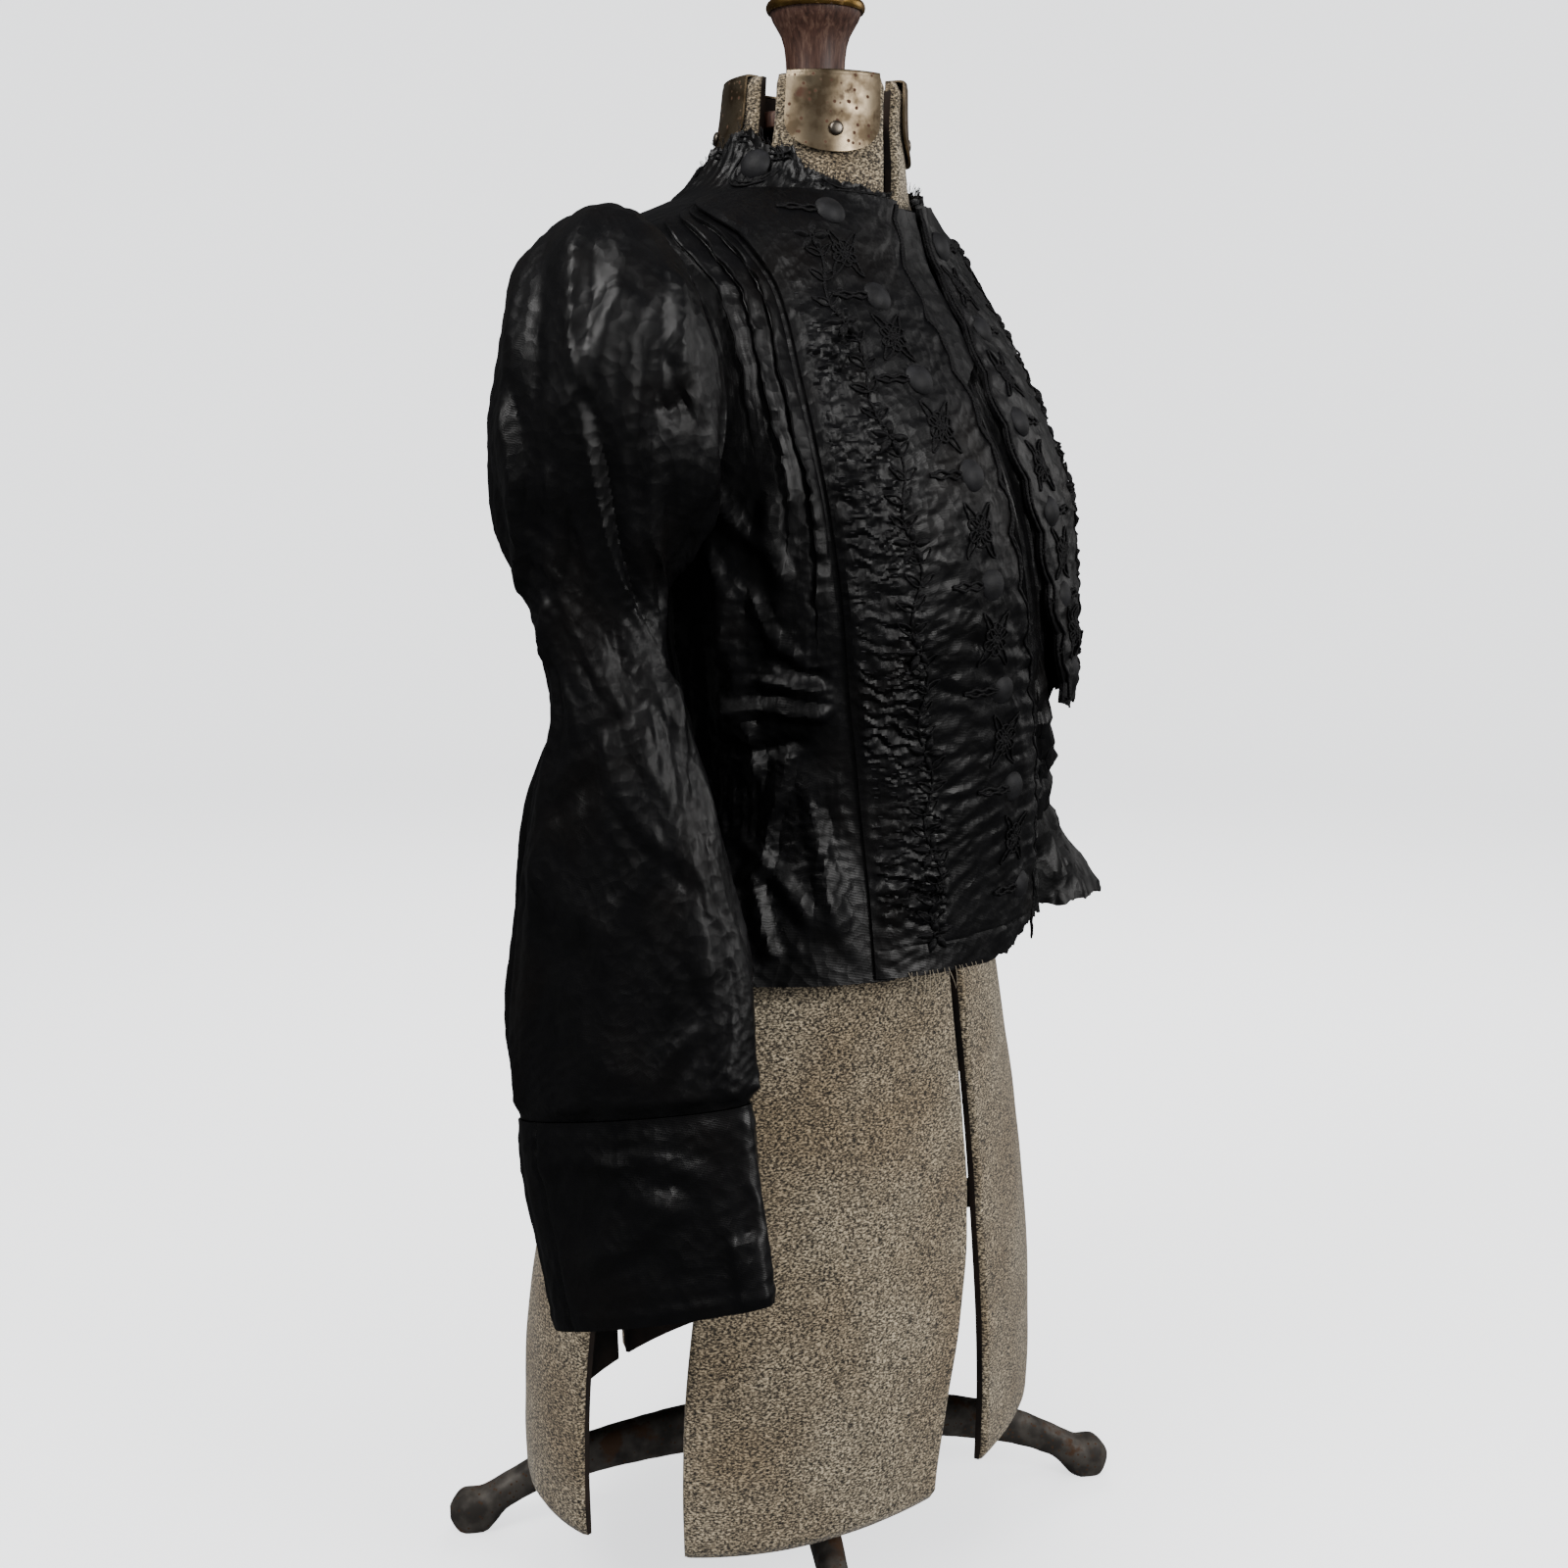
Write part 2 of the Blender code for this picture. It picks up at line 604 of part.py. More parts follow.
def turned(name, profile, mat, segments=24, axis_point=None, axis=None):
    """Turn a profile about an axis, closing both ends on it unless it is a ring."""
    place = np.zeros(3) if axis_point is None else np.array(axis_point, dtype=float)
    up = np.array([0.0, 0.0, 1.0]) if axis is None else np.array(axis, dtype=float)
    up = up / np.linalg.norm(up)
    guide = np.array([0.0, 0.0, 1.0]) if abs(up[2]) < 0.9 else np.array([1.0, 0.0, 0.0])
    side = np.cross(guide, up)
    side = side / np.linalg.norm(side)
    third = np.cross(up, side)
    verts = []
    for row in profile:
        for k in range(segments):
            turn = 2.0 * math.pi * k / segments
            arm = side * math.cos(turn) + third * math.sin(turn)
            verts.append(place + arm * row.radius + up * row.z)
    faces = []
    for row in range(len(profile) - 1):
        for k in range(segments):
            after = (k + 1) % segments
            low = row * segments
            high = low + segments
            faces.append([low + k, low + after, high + after, high + k])
    faces.append(list(range(segments)))
    faces.append(list(range((len(profile) - 1) * segments, len(profile) * segments)))
    faces[-2].reverse()
    if signed_volume(verts, faces) < 0.0:
        faces = [list(reversed(face)) for face in faces]
    return new_object(name, verts, faces, mat)


def turned_ring(name, profile, mat, segments=24, base_z=0.0):
    """Turn a closed outline about the pole's axis."""
    count = len(profile)
    verts = []
    for k in range(segments):
        turn = 2.0 * math.pi * k / segments
        for row in profile:
            verts.append(
                np.array([row.radius * math.cos(turn), row.radius * math.sin(turn), row.z + base_z])
            )
    faces = []
    for k in range(segments):
        after = (k + 1) % segments
        for i in range(count):
            j = (i + 1) % count
            faces.append([k * count + i, after * count + i, after * count + j, k * count + j])
    if signed_volume(verts, faces) < 0.0:
        faces = [list(reversed(face)) for face in faces]
    return new_object(name, verts, faces, mat)


def panel_levels(lowest, highest):
    """Return the levels of a body panel's rows, close together round the armhole."""
    low_end = ARMHOLE_Z - ARMHOLE_HALF_HEIGHT
    high_end = ARMHOLE_Z + ARMHOLE_HALF_HEIGHT
    levels = list(np.linspace(lowest, low_end, 11))
    steps = SLEEVE_SIDES // 2
    for k in range(1, steps):
        levels.append(ARMHOLE_Z - ARMHOLE_HALF_HEIGHT * math.cos(math.pi * k / steps))
    levels += list(np.linspace(high_end, highest, 6))
    return levels


def half_seam_angle(z):
    """Return half the gap of the side and shoulder seams at a level, in degrees."""
    radius, _centre_y = form_radius(math.radians(SIDE_ANGLE), z)
    return math.degrees(HALF_SEAM / radius)


def armhole_half_angle(z):
    """Return the half width of the armhole in degrees at a level."""
    share = (z - ARMHOLE_Z) / ARMHOLE_HALF_HEIGHT
    if abs(share) >= 1.0:
        return 0.0
    return ARMHOLE_HALF_ANGLE * math.sqrt(1.0 - share * share)


def side_front_columns(z):
    """Return the column angles of a side front at a level, with the height of each."""
    tuck_1, tuck_2, tuck_3, band_edge = smooth_lookup(TUCK_LINES, z)
    tucks = [tuck_1, tuck_2, tuck_3]
    side = SIDE_ANGLE - half_seam_angle(z) - armhole_half_angle(z)
    room = side - tuck_1
    columns = [(side, 0.0), (side - room * 0.33, 0.0), (side - room * 0.66, 0.0)]
    step = min(TUCK_STEP, 0.25 * abs(tuck_2 - tuck_3))
    clear = min(BAND_CLEAR, 0.3 * (tuck_3 - band_edge))
    for k, angle in enumerate(tucks):
        fade = ramp(z, TUCK_FADE_END_Z[k], TUCK_FADE_END_Z[k] + TUCK_FADE_LENGTH)
        crest = TUCK_HEIGHT * fade * (1.0 - 0.85 * ramp(z, 0.822, 0.842))
        following = tucks[k + 1] if k < 2 else band_edge + clear
        middle = angle - step + (following - angle + step) * 0.55
        columns += [(angle, 0.0), (angle - step, crest), (middle, crest * 0.45)]
    under = UNDERLAP * ramp(0.856 - z, 0.0, 0.040) + LEAST_UNDERLAP
    columns += [(band_edge + clear, 0.0), (band_edge - under, 0.0)]
    return columns


def build_side_front(side, mat):
    """Build a side front with its shoulder tucks, side +1 for left and -1 for right."""
    levels = panel_levels(HEM_Z, SIDE_FRONT_TOP_Z)
    grid_outer = []
    grid_inner = []

    def surface(degrees, z):
        height = fold_height(SIDE_FRONT_FOLDS, degrees, z) * fold_window(degrees, z)
        return cloth_point(side * degrees, z, height)

    for z in levels:
        outer_row = []
        inner_row = []
        for degrees, height in side_front_columns(z):
            point = surface(degrees, z)
            normal = normal_at(surface, degrees, z, core_point(z))
            inner_row.append(point + normal * height * 0.9)
            outer_row.append(point + normal * (height + TAFFETA))
        grid_outer.append(outer_row)
        grid_inner.append(inner_row)
    name = "side_front_left" if side > 0 else "side_front_right"
    return closed_wall(name, grid_outer, grid_inner, mat)


def fold_window(degrees, z):
    """Fade the folds of a side front out under the band and at the side seam."""
    band_edge = smooth_lookup(TUCK_LINES, z)[3]
    return ramp(degrees, band_edge, band_edge + 5.0) * ramp(SIDE_ANGLE - degrees, 0.0, 3.0)


def build_back(mat):
    """Build the back in one piece from side seam to side seam."""
    levels = panel_levels(HEM_Z, NECK_SEAM_Z)
    count = 13

    def surface(degrees, z):
        window = ramp(degrees, 92.0, 100.0) * ramp(268.0 - degrees, 0.0, 8.0)
        return cloth_point(degrees, z, fold_height(BACK_FOLDS, degrees, z) * window)

    grid = []
    for z in levels:
        start = SIDE_ANGLE + half_seam_angle(z) + armhole_half_angle(z)
        row = []
        for k in range(count):
            even = k / (count - 1)
            crowded = 0.5 - 0.5 * math.cos(math.pi * even)
            share = even + (crowded - even) * ramp(z, 0.70, 0.83)
            row.append((start + (360.0 - 2.0 * start) * share, z))
        grid.append(row)
    return sheet_wall("back", surface, grid, TAFFETA, mat)


def front_core(_u, _v):
    """Return a place inside the body behind the front's pieces."""
    return core_point(FRONT_CORE_Z)


def scallop(z):
    """Return how far a scalloped edge reaches at a level, in degrees."""
    return SCALLOP_DEPTH * abs(math.sin(math.pi * z / SCALLOP_PITCH))


def band_lift(share, z):
    """Return the lift of a band at a share of its width from the outer edge and a level."""
    outer = BAND_LIFT_OUTER + 0.0009 * ramp(z, 0.79, 0.82)
    return outer + (BAND_LIFT_INNER - outer) * ramp(share, 0.0, 0.35)


def build_right_band(mat):
    """Build the embroidered right band from the shoulder to the hem."""
    levels = list(np.linspace(HEM_Z + 0.002, 0.800, 40))
    levels += list(np.linspace(0.800, NECK_SEAM_Z, 9))[1:]

    def surface(u, z):
        outer = -smooth_lookup(TUCK_LINES, z)[3]
        inner = smooth_lookup(BAND_EDGES, z)[0] + scallop(z)
        return cloth_point(outer + (inner - outer) * u, z)

    shares = [0.0, 0.14, 0.43, 0.74, 1.0]
    grid = [[(u, z) for u in shares] for z in levels]
    return sheet_wall("band_right", surface, grid, BAND_CLOTH, mat, lift=band_lift)


def rag(position, depth):
    """Return the depth of a torn edge at a place along it."""
    saw = abs(math.sin(position * 1.9)) * 0.6 + abs(math.sin(position * 4.3 + 1.0)) * 0.4
    return depth * saw


def left_band_flare(z):
    """Return how far the torn end of the left band stands away at a level."""
    return LEFT_BAND_FLARE * ramp(LEFT_BAND_END_Z + FLARE_LENGTH - z, 0.0, FLARE_LENGTH)


def build_left_band(mat):
    """Build the left band, torn off below the bust and standing away at its end."""

    def surface(u, v):
        end = LEFT_BAND_END_Z + rag(u * 6.0, RAG_DEPTH) * ramp(1.0 - v, 0.5, 1.0)
        z = end + (NECK_SEAM_Z - end) * v
        outer = smooth_lookup(TUCK_LINES, z)[3]
        inner = smooth_lookup(BAND_EDGES, z)[1] - scallop(z)
        return cloth_point(outer + (inner - outer) * u, z, left_band_flare(z))

    def lift(u, v):
        return band_lift(u, LEFT_BAND_END_Z + (NECK_SEAM_Z - LEFT_BAND_END_Z) * v)

    shares = [0.0, 0.12, 0.36, 0.62, 0.86, 1.0]
    steps = list(np.linspace(0.0, 0.82, 20)) + list(np.linspace(0.82, 1.0, 9))[1:]
    grid = [[(u, v) for u in shares] for v in steps]
    return sheet_wall("band_left", surface, grid, BAND_CLOTH, mat, lift=lift, inside=front_core)


def vest_edges(z):
    """Return the angles of the two edges of the vest at a level."""
    right, left = smooth_lookup(BAND_EDGES, z)
    low = right - VEST_UNDERLAP
    high = left + VEST_UNDERLAP
    spread = ramp(LEFT_BAND_END_Z - z, 0.0, 0.05)
    front_edge = smooth_lookup(TUCK_LINES, z)[3] - VEST_FREE_UNDERLAP
    return low, high + (front_edge - high) * spread


def vest_hem(share):
    """Return the level of the vest's lower edge, ragged to the left."""
    return VEST_HEM_Z - 0.010 * (1.0 - share) + rag(share * 7.0, 0.004)


def build_vest(mat):
    """Build the pin-tucked vest, hanging free in a flared corner below the left band."""

    def surface(u, v):
        z = vest_hem(u) + (VEST_TOP_Z - vest_hem(u)) * v
        low, high = vest_edges(z)
        flare = VEST_FLARE * ramp(u, 0.45, 1.0) * ramp(0.505 - z, 0.0, 0.09)
        loose = ramp(0.60 - z, 0.0, 0.08) * ramp(u, 0.25, 0.6)
        wave = VEST_WAVE * loose * math.sin(u * 13.0 + z * 22.0)
        return cloth_point(low + (high - low) * u, z, flare + wave)

    def pin_tucks(u, v):
        z = VEST_HEM_Z + (VEST_TOP_Z - VEST_HEM_Z) * v
        fade = ramp(z, 0.590, 0.640) * ramp(0.738 - z, 0.0, 0.02)
        odd = int(round(u * PIN_TUCK_SPANS)) % 2
        return PIN_TUCK_HEIGHT * fade * odd

    steps = list(np.linspace(0.0, 0.82, 16)) + list(np.linspace(0.82, 1.0, 9))[1:]
    grid = [[(k / PIN_TUCK_SPANS, v) for k in range(PIN_TUCK_SPANS + 1)] for v in steps]
    return sheet_wall(
        "vest",
        surface,
        grid,
        TAFFETA,
        mat,
        lift=lambda _u, _v: VEST_LIFT,
        relief=pin_tucks,
        inside=front_core,
    )


def build_flap(mat):
    """Build the plain flap that hangs from the neck over the vest to a point."""

    def surface(u, v):
        edge_z = FLAP_END_Z + FLAP_POINT * abs(u - FLAP_POINT_SHARE) / (1.0 - FLAP_POINT_SHARE)
        z = edge_z + (FLAP_TOP_Z - edge_z) * v
        right, left = smooth_lookup(BAND_EDGES, z)
        low = right - 4.0
        high = min(left - 2.5, right + FLAP_WIDTH - 7.0 * ramp(0.78 - z, 0.0, 0.04))
        return cloth_point(low + (high - low) * u, z)

    grid = [[(k / 6.0, v) for k in range(7)] for v in np.linspace(0.0, 1.0, 10)]
    return sheet_wall(
        "vest_flap", surface, grid, TAFFETA, mat, lift=lambda _u, _v: FLAP_LIFT, inside=front_core
    )


def collar_point(degrees, z):
    """Return a point of the collar's inner line."""
    angle = math.radians(degrees)
    radius, centre_y = form_radius(angle, z)
    return around(radius + COLLAR_STAND, angle, centre_y, z)


def collar_top(degrees):
    """Return the height of the ragged collar at an angle, the same on both sides of the neck."""
    turn = degrees if degrees > -180.0 else -360.0 - degrees
    return float(np.interp(turn, [row.angle for row in COLLAR_TOPS], [row.z for row in COLLAR_TOPS]))


def build_collar(mat):
    """Build the standing collar, open and ragged at the front."""

    def surface(u, v):
        degrees = COLLAR_START - COLLAR_SPAN * u
        base = NECK_SEAM_Z + SEAM_GAP * 1.6
        top = collar_top(degrees) - rag(u * 90.0, COLLAR_RAG)
        return collar_point(degrees, base + (top - base) * v)

    def inside(_u, _v):
        return core_point(NECK_SEAM_Z)

    shares = [k / COLLAR_SPANS for k in range(COLLAR_SPANS + 1)]
    grid = [[(u, v) for u in shares] for v in (0.0, 0.4, 0.75, 1.0)]
    return sheet_wall("collar", surface, grid, TAFFETA, mat, inside=inside)


def ring_at(rings, along):
    """Return the sleeve ring at a share of the sleeve's length."""
    keyed = [(k / (len(rings) - 1), *ring) for k, ring in enumerate(rings)]
    return SleeveRing(*smooth_lookup(keyed, along))


def sleeve_fold_height(folds, degrees, along):
    """Return what the folds of a sleeve add at a place."""
    total = 0.0
    for fold in folds:
        share = (along - fold.along_top) / (fold.along_end - fold.along_top)
        inside = min(max(share, 0.0), 1.0)
        middle = fold.angle_top + (fold.angle_end - fold.angle_top) * inside
        turn = (degrees - middle + 180.0) % 360.0 - 180.0
        fade = ramp(share, -0.35, 0.15) * ramp(1.35 - share, 0.0, 0.5)
        total += fold.height * fade * math.exp(-((turn / fold.half_angle) ** 2))
    return total


def left_setting(ring, along):
    """Return how far the left sleeve lies back and its outer side lies low at a ring."""
    back = LEFT_HEAD_BACK * ramp(along, 0.02, 0.15)
    back += (LEFT_END_BACK - LEFT_HEAD_BACK) * ramp(0.66 - ring.z_in, 0.0, 0.35)
    drop = LEFT_HEAD_DROP * ramp(along, 0.0, 0.08) * ramp(0.50 - along, 0.0, 0.25)
    return back, drop


def armhole_seat(degrees, side):
    """Return the point over the edge of the armhole where a sleeve is set in."""
    angle = math.radians(degrees)
    z = ARMHOLE_Z + ARMHOLE_HALF_HEIGHT * math.cos(angle)
    place = side * (SIDE_ANGLE - ARMHOLE_HALF_ANGLE * math.sin(angle))
    normal = normal_at(cloth_point, place, z, core_point(z))
    return cloth_point(place, z) + normal * (TAFFETA + SLEEVE_SEAM_GAP)


def sleeve_centre(rings, along, side):
    """Return the middle of a sleeve's ring."""
    ring = ring_at(rings, along)
    back = 0.0
    drop = 0.0
    if side > 0:
        back, drop = left_setting(ring, along if rings is SLEEVE_RINGS else 1.0)
    x = 0.5 * (ring.x_in + ring.x_out)
    return np.array([side * x, ring.y + back, 0.5 * (ring.z_in + ring.z_out - drop)])


def sleeve_point(rings, folds, degrees, along, side):
    """Return a point of a sleeve, side -1 for the right and +1 for the left."""
    ring = ring_at(rings, along)
    angle = math.radians(degrees)
    centre = sleeve_centre(rings, along, side)
    top = 2.0 * centre[2] - ring.z_in
    half_out = np.array([side * 0.5 * (ring.x_out - ring.x_in), 0.0, 0.5 * (top - ring.z_in)])
    half_fore = np.array([0.0, -ring.half_fore, ring.fore_rise * ring.half_fore])
    edge = half_out * math.cos(angle) + half_fore * math.sin(angle)
    length = np.linalg.norm(edge)
    height = sleeve_fold_height(folds, degrees, along)
    return centre + edge * (1.0 + height / length)


def build_sleeve(side, mat):
    """Build one sleeve from its armhole to the cuff seam."""

    def surface(degrees, along):
        point = sleeve_point(SLEEVE_RINGS, SLEEVE_FOLDS, degrees, along, side)
        share = ramp(along, 0.0, ARMHOLE_BLEND)
        if share >= 1.0:
            return point
        return armhole_seat(degrees, side) * (1.0 - share) + point * share

    def inside(degrees, along):
        return sleeve_centre(SLEEVE_RINGS, along, side)

    steps = [0.0, 0.03] + list(np.linspace(ARMHOLE_BLEND * 1.2, 1.0, SLEEVE_ROWS - 2))
    grid = [[(360.0 * k / SLEEVE_SIDES, a) for k in range(SLEEVE_SIDES)] for a in steps]
    name = "sleeve_left" if side > 0 else "sleeve_right"
    return sheet_wall(
        name,
        surface,
        grid,
        TAFFETA,
        mat,
        lift=lambda _u, v: -TAFFETA * ramp(v, 0.0, 2.0 * ARMHOLE_BLEND),
        ring=True,
        inside=inside,
    )


def build_cuff(side, mat):
    """Build one deep cuff, its hem slanting up to the front."""

    def surface(degrees, along):
        return sleeve_point(CUFF_RINGS, CUFF_FOLDS, degrees, along, side)

    def inside(degrees, along):
        return sleeve_centre(CUFF_RINGS, along, side)

    steps = np.linspace(0.0, 1.0, CUFF_ROWS)
    grid = [[(360.0 * k / SLEEVE_SIDES, a) for k in range(SLEEVE_SIDES)] for a in steps]
    name = "cuff_left" if side > 0 else "cuff_right"
    return sheet_wall(
        name, surface, grid, BAND_CLOTH, mat, lift=lambda _u, _v: -TAFFETA, ring=True, inside=inside
    )


def seat_lift(carrier, place, normal):
    """Return how far out from a place a button has to stand to rest on its carrier."""
    mesh = carrier.data
    mesh.calc_loop_triangles()
    triangles = [tuple(triangle.vertices) for triangle in mesh.loop_triangles]
    tree = BVHTree.FromPolygons([vertex.co for vertex in mesh.vertices], triangles)
    side = np.cross(normal, [0.0, 0.0, 1.0])
    side = side / np.linalg.norm(side)
    third = np.cross(normal, side)
    highest = 0.0
    for row in [Profile(0.0, 0.0), *BUTTON_PROFILE[:2]]:
        for k in range(BUTTON_SIDES):
            turn = 2.0 * math.pi * k / BUTTON_SIDES
            arm = (side * math.cos(turn) + third * math.sin(turn)) * row.radius * BUTTON_RADIUS
            start = Vector(place + arm + normal * BUTTON_PROBE)
            distance = tree.ray_cast(start, Vector(-normal), 2.0 * BUTTON_PROBE)[3]
            if distance is not None:
                highest = max(highest, BUTTON_PROBE - distance - row.z * BUTTON_HEIGHT)
    return highest + TOUCH


def build_button(name, place, carrier, mat):
    """Build a covered button standing on its band or collar."""
    surface = collar_point if place.carrier == "collar" else cloth_point
    normal = normal_at(surface, place.angle, place.z, core_point(place.z))
    place = surface(place.angle, place.z)
    seat = place + normal * seat_lift(carrier, place, normal)
    profile = [Profile(row.radius * BUTTON_RADIUS, row.z * BUTTON_HEIGHT) for row in BUTTON_PROFILE]
    return turned(name, profile, mat, segments=BUTTON_SIDES, axis_point=seat, axis=normal)


def quadrant_edges(z, quadrant, side=1):
    """Return the two edge angles of one shell of the form at a level, in degrees."""
    half_width, front, back, _centre, _power = smooth_lookup(FORM_SECTIONS, z)
    opening = ramp(SIDE_OPENING_TOP_Z - z, 0.0, SIDE_OPENING_LENGTH)
    if quadrant == "front":
        gap = CLOSED_SIDE_GAP + FRONT_SIDE_OPENING * opening
        start = math.degrees(math.asin(0.5 * FRONT_GAP / front))
        if side < 0:
            start += RIGHT_CORNER_CUT * (1.0 - ramp(z, FORM_BASE_Z, RIGHT_CORNER_TOP_Z)) ** 1.5
        end = 90.0 - math.degrees(math.asin(gap / half_width))
        return start, end
    gap = CLOSED_SIDE_GAP + BACK_SIDE_OPENING * opening
    start = 90.0 + math.degrees(math.asin(gap / half_width))
    end = 180.0 - math.degrees(math.asin(0.5 * BACK_GAP / back))
    return start, end


def build_shell(quadrant, side, mat):
    """Build one of the four jersey-covered shells of the form."""
    grid = []
    for z in SHELL_LEVELS:
        start, end = quadrant_edges(z, quadrant, side)
        step = (end - start) / SHELL_SPANS
        grid.append([(side * (start + step * k), z) for k in range(SHELL_SPANS + 1)])
    name = "form_%s_%s" % (quadrant, "left" if side > 0 else "right")
    return sheet_wall(
        name, form_point, grid, SHELL_THICKNESS, mat, lift=lambda _u, _v: -SHELL_THICKNESS
    )


def plate_middle(quadrant, side):
    """Return the angle of a neck plate's middle."""
    start, end = quadrant_edges(FORM_TOP_Z, quadrant)
    return side * 0.5 * (start + end)


def build_neck_plate(quadrant, side, mat):
    """Build a sprung metal plate that hooks over the neck of one shell."""
    middle = plate_middle(quadrant, side)
    rim_radius = FORM_SECTIONS[-1].half_width
    reach = rim_radius - SHELL_THICKNESS
    top = FORM_TOP_Z + TOUCH
    outer = []
    inner = []
    half = math.degrees(PLATE_HALF_WIDTH / rim_radius)

    def row_points(radius_add, z, width, radius=None):
        points = []
        for k in range(-3, 4):
            degrees = middle + half * width * k / 3.0
            angle = math.radians(degrees)
            base, centre_y = form_radius(angle, min(z, FORM_TOP_Z))
            length = base + radius_add if radius is None else radius
            points.append(around(length, angle, centre_y, z))
        return points

    for share in (0.0, 0.10, 0.25, 0.50, 1.0):
        z = PLATE_BOTTOM_Z + (FORM_TOP_Z - PLATE_BOTTOM_Z) * share
        width = math.sqrt(max(1.0 - (1.0 - min(share / 0.5, 1.0)) ** 2.4, 0.06))
        spring = PLATE_SPRING * (1.0 - share) + TOUCH * 2.0
        outer.append(row_points(spring + PLATE_GAUGE, z, width))
        inner.append(row_points(spring, z, width))
    outer.append(row_points(TOUCH * 2.0 + PLATE_GAUGE * 0.8, top + PLATE_GAUGE, 1.0))
    inner.append(row_points(TOUCH * 2.0, top, 1.0))
    outer.append(row_points(0.0, top + PLATE_GAUGE, 1.0, radius=reach))
    inner.append(row_points(0.0, top, 1.0, radius=reach))
    name = "neck_plate_%s_%s" % (quadrant, "left" if side > 0 else "right")
    return closed_wall(name, outer, inner, mat)


def build_rivet(quadrant, side, mat):
    """Build the rivet head of one neck plate."""
    middle = plate_middle(quadrant, side)
    normal = normal_at(form_point, middle, RIVET_Z, core_point(RIVET_Z))
    seat = form_point(middle, RIVET_Z) + normal * (PLATE_GAUGE + PLATE_SPRING + TOUCH * 2.4)
    profile = [
        Profile(RIVET_RADIUS, 0.0),
        Profile(RIVET_RADIUS * 0.8, RIVET_HEIGHT * 0.7),
        Profile(RIVET_RADIUS * 0.3, RIVET_HEIGHT),
    ]
    name = "rivet_%s_%s" % (quadrant, "left" if side > 0 else "right")
    return turned(name, profile, mat, segments=10, axis_point=seat, axis=normal)


def build_spider(name, level, mat):
    """Build a sliding hub with four flat arms that carry the shells."""
    height = SPIDER_HEIGHT * 0.5
    bore = POLE_RADIUS + SLIDE_CLEARANCE
    pole = np.array([0.0, STAND_BACK])
    tips = []
    for quadrant, side in (("front", 1), ("back", 1), ("back", -1), ("front", -1)):
        start, end = quadrant_edges(level, quadrant)
        degrees = side * 0.5 * (start + end)
        tips.append((degrees % 360.0, form_point(degrees, level)[:2] - pole))
    tips.sort(key=lambda tip: tip[0])
    outline = []
    for k, (degrees, tip) in enumerate(tips):
        heading = tip / np.linalg.norm(tip)
        across = np.array([-heading[1], heading[0]])
        normal = normal_at(form_point, degrees, level, core_point(level))
        slack = SHELL_THICKNESS + SPIDER_SLACK + SPIDER_BAR * abs(float(np.dot(across, normal[:2])))
        slack += height * abs(float(normal[2]))
        end_point = tip - heading * slack / float(np.dot(heading, normal[:2]))
        root = heading * SPIDER_HUB_RADIUS
        outline += [root - across * SPIDER_BAR, end_point - across * SPIDER_BAR]
        outline += [end_point + across * SPIDER_BAR, root + across * SPIDER_BAR]
        following = tips[(k + 1) % 4][1]
        between = heading + following / np.linalg.norm(following)
        outline.append(between / np.linalg.norm(between) * SPIDER_HUB_RADIUS)
    hole = spread_hole(outline, bore)
    faces = (level - height, level + height)
    outer = [[np.array([*(pole + point), z]) for point in outline] for z in faces]
    inner = [[np.array([*(pole + point), z]) for point in hole] for z in faces]
    return closed_wall(name, outer, inner, mat, ring=True)


def spread_hole(outline, bore):
    """Return the points of a bore, one for each point of the outline and in its order."""
    count = len(outline)
    first = math.atan2(outline[0][1], outline[0][0]) - 0.2
    turns = [first + 2.0 * math.pi * k / count for k in range(count)]
    return [np.array([math.cos(turn), math.sin(turn)]) * bore for turn in turns]


def build_leg(index, degrees, mat):
    """Build one arched leg with its bulb foot, flat where it stands."""
    angle = math.radians(degrees)
    heading = np.array([math.cos(angle), math.sin(angle), 0.0])
    across = np.array([-heading[1], heading[0], 0.0])
    verts = []
    for station in LEG_STATIONS:
        for k in range(LEG_SIDES):
            turn = 2.0 * math.pi * (k + 0.5) / LEG_SIDES
            side = across * station.half_width * math.cos(turn)
            point = heading * station.reach + side
            point[2] = max(station.z + station.half_height * math.sin(turn), 0.0)
            verts.append(point)
    faces = []
    for row in range(len(LEG_STATIONS) - 1):
        for k in range(LEG_SIDES):
            after = (k + 1) % LEG_SIDES
            low = row * LEG_SIDES
            high = low + LEG_SIDES
            faces.append([low + k, low + after, high + after, high + k])
    faces.append(list(reversed(range(LEG_SIDES))))
    last = (len(LEG_STATIONS) - 1) * LEG_SIDES
    faces.append(list(range(last, last + LEG_SIDES)))
    if signed_volume(verts, faces) < 0.0:
        faces = [list(reversed(face)) for face in faces]
    return new_object("leg_%d" % index, verts, faces, mat)


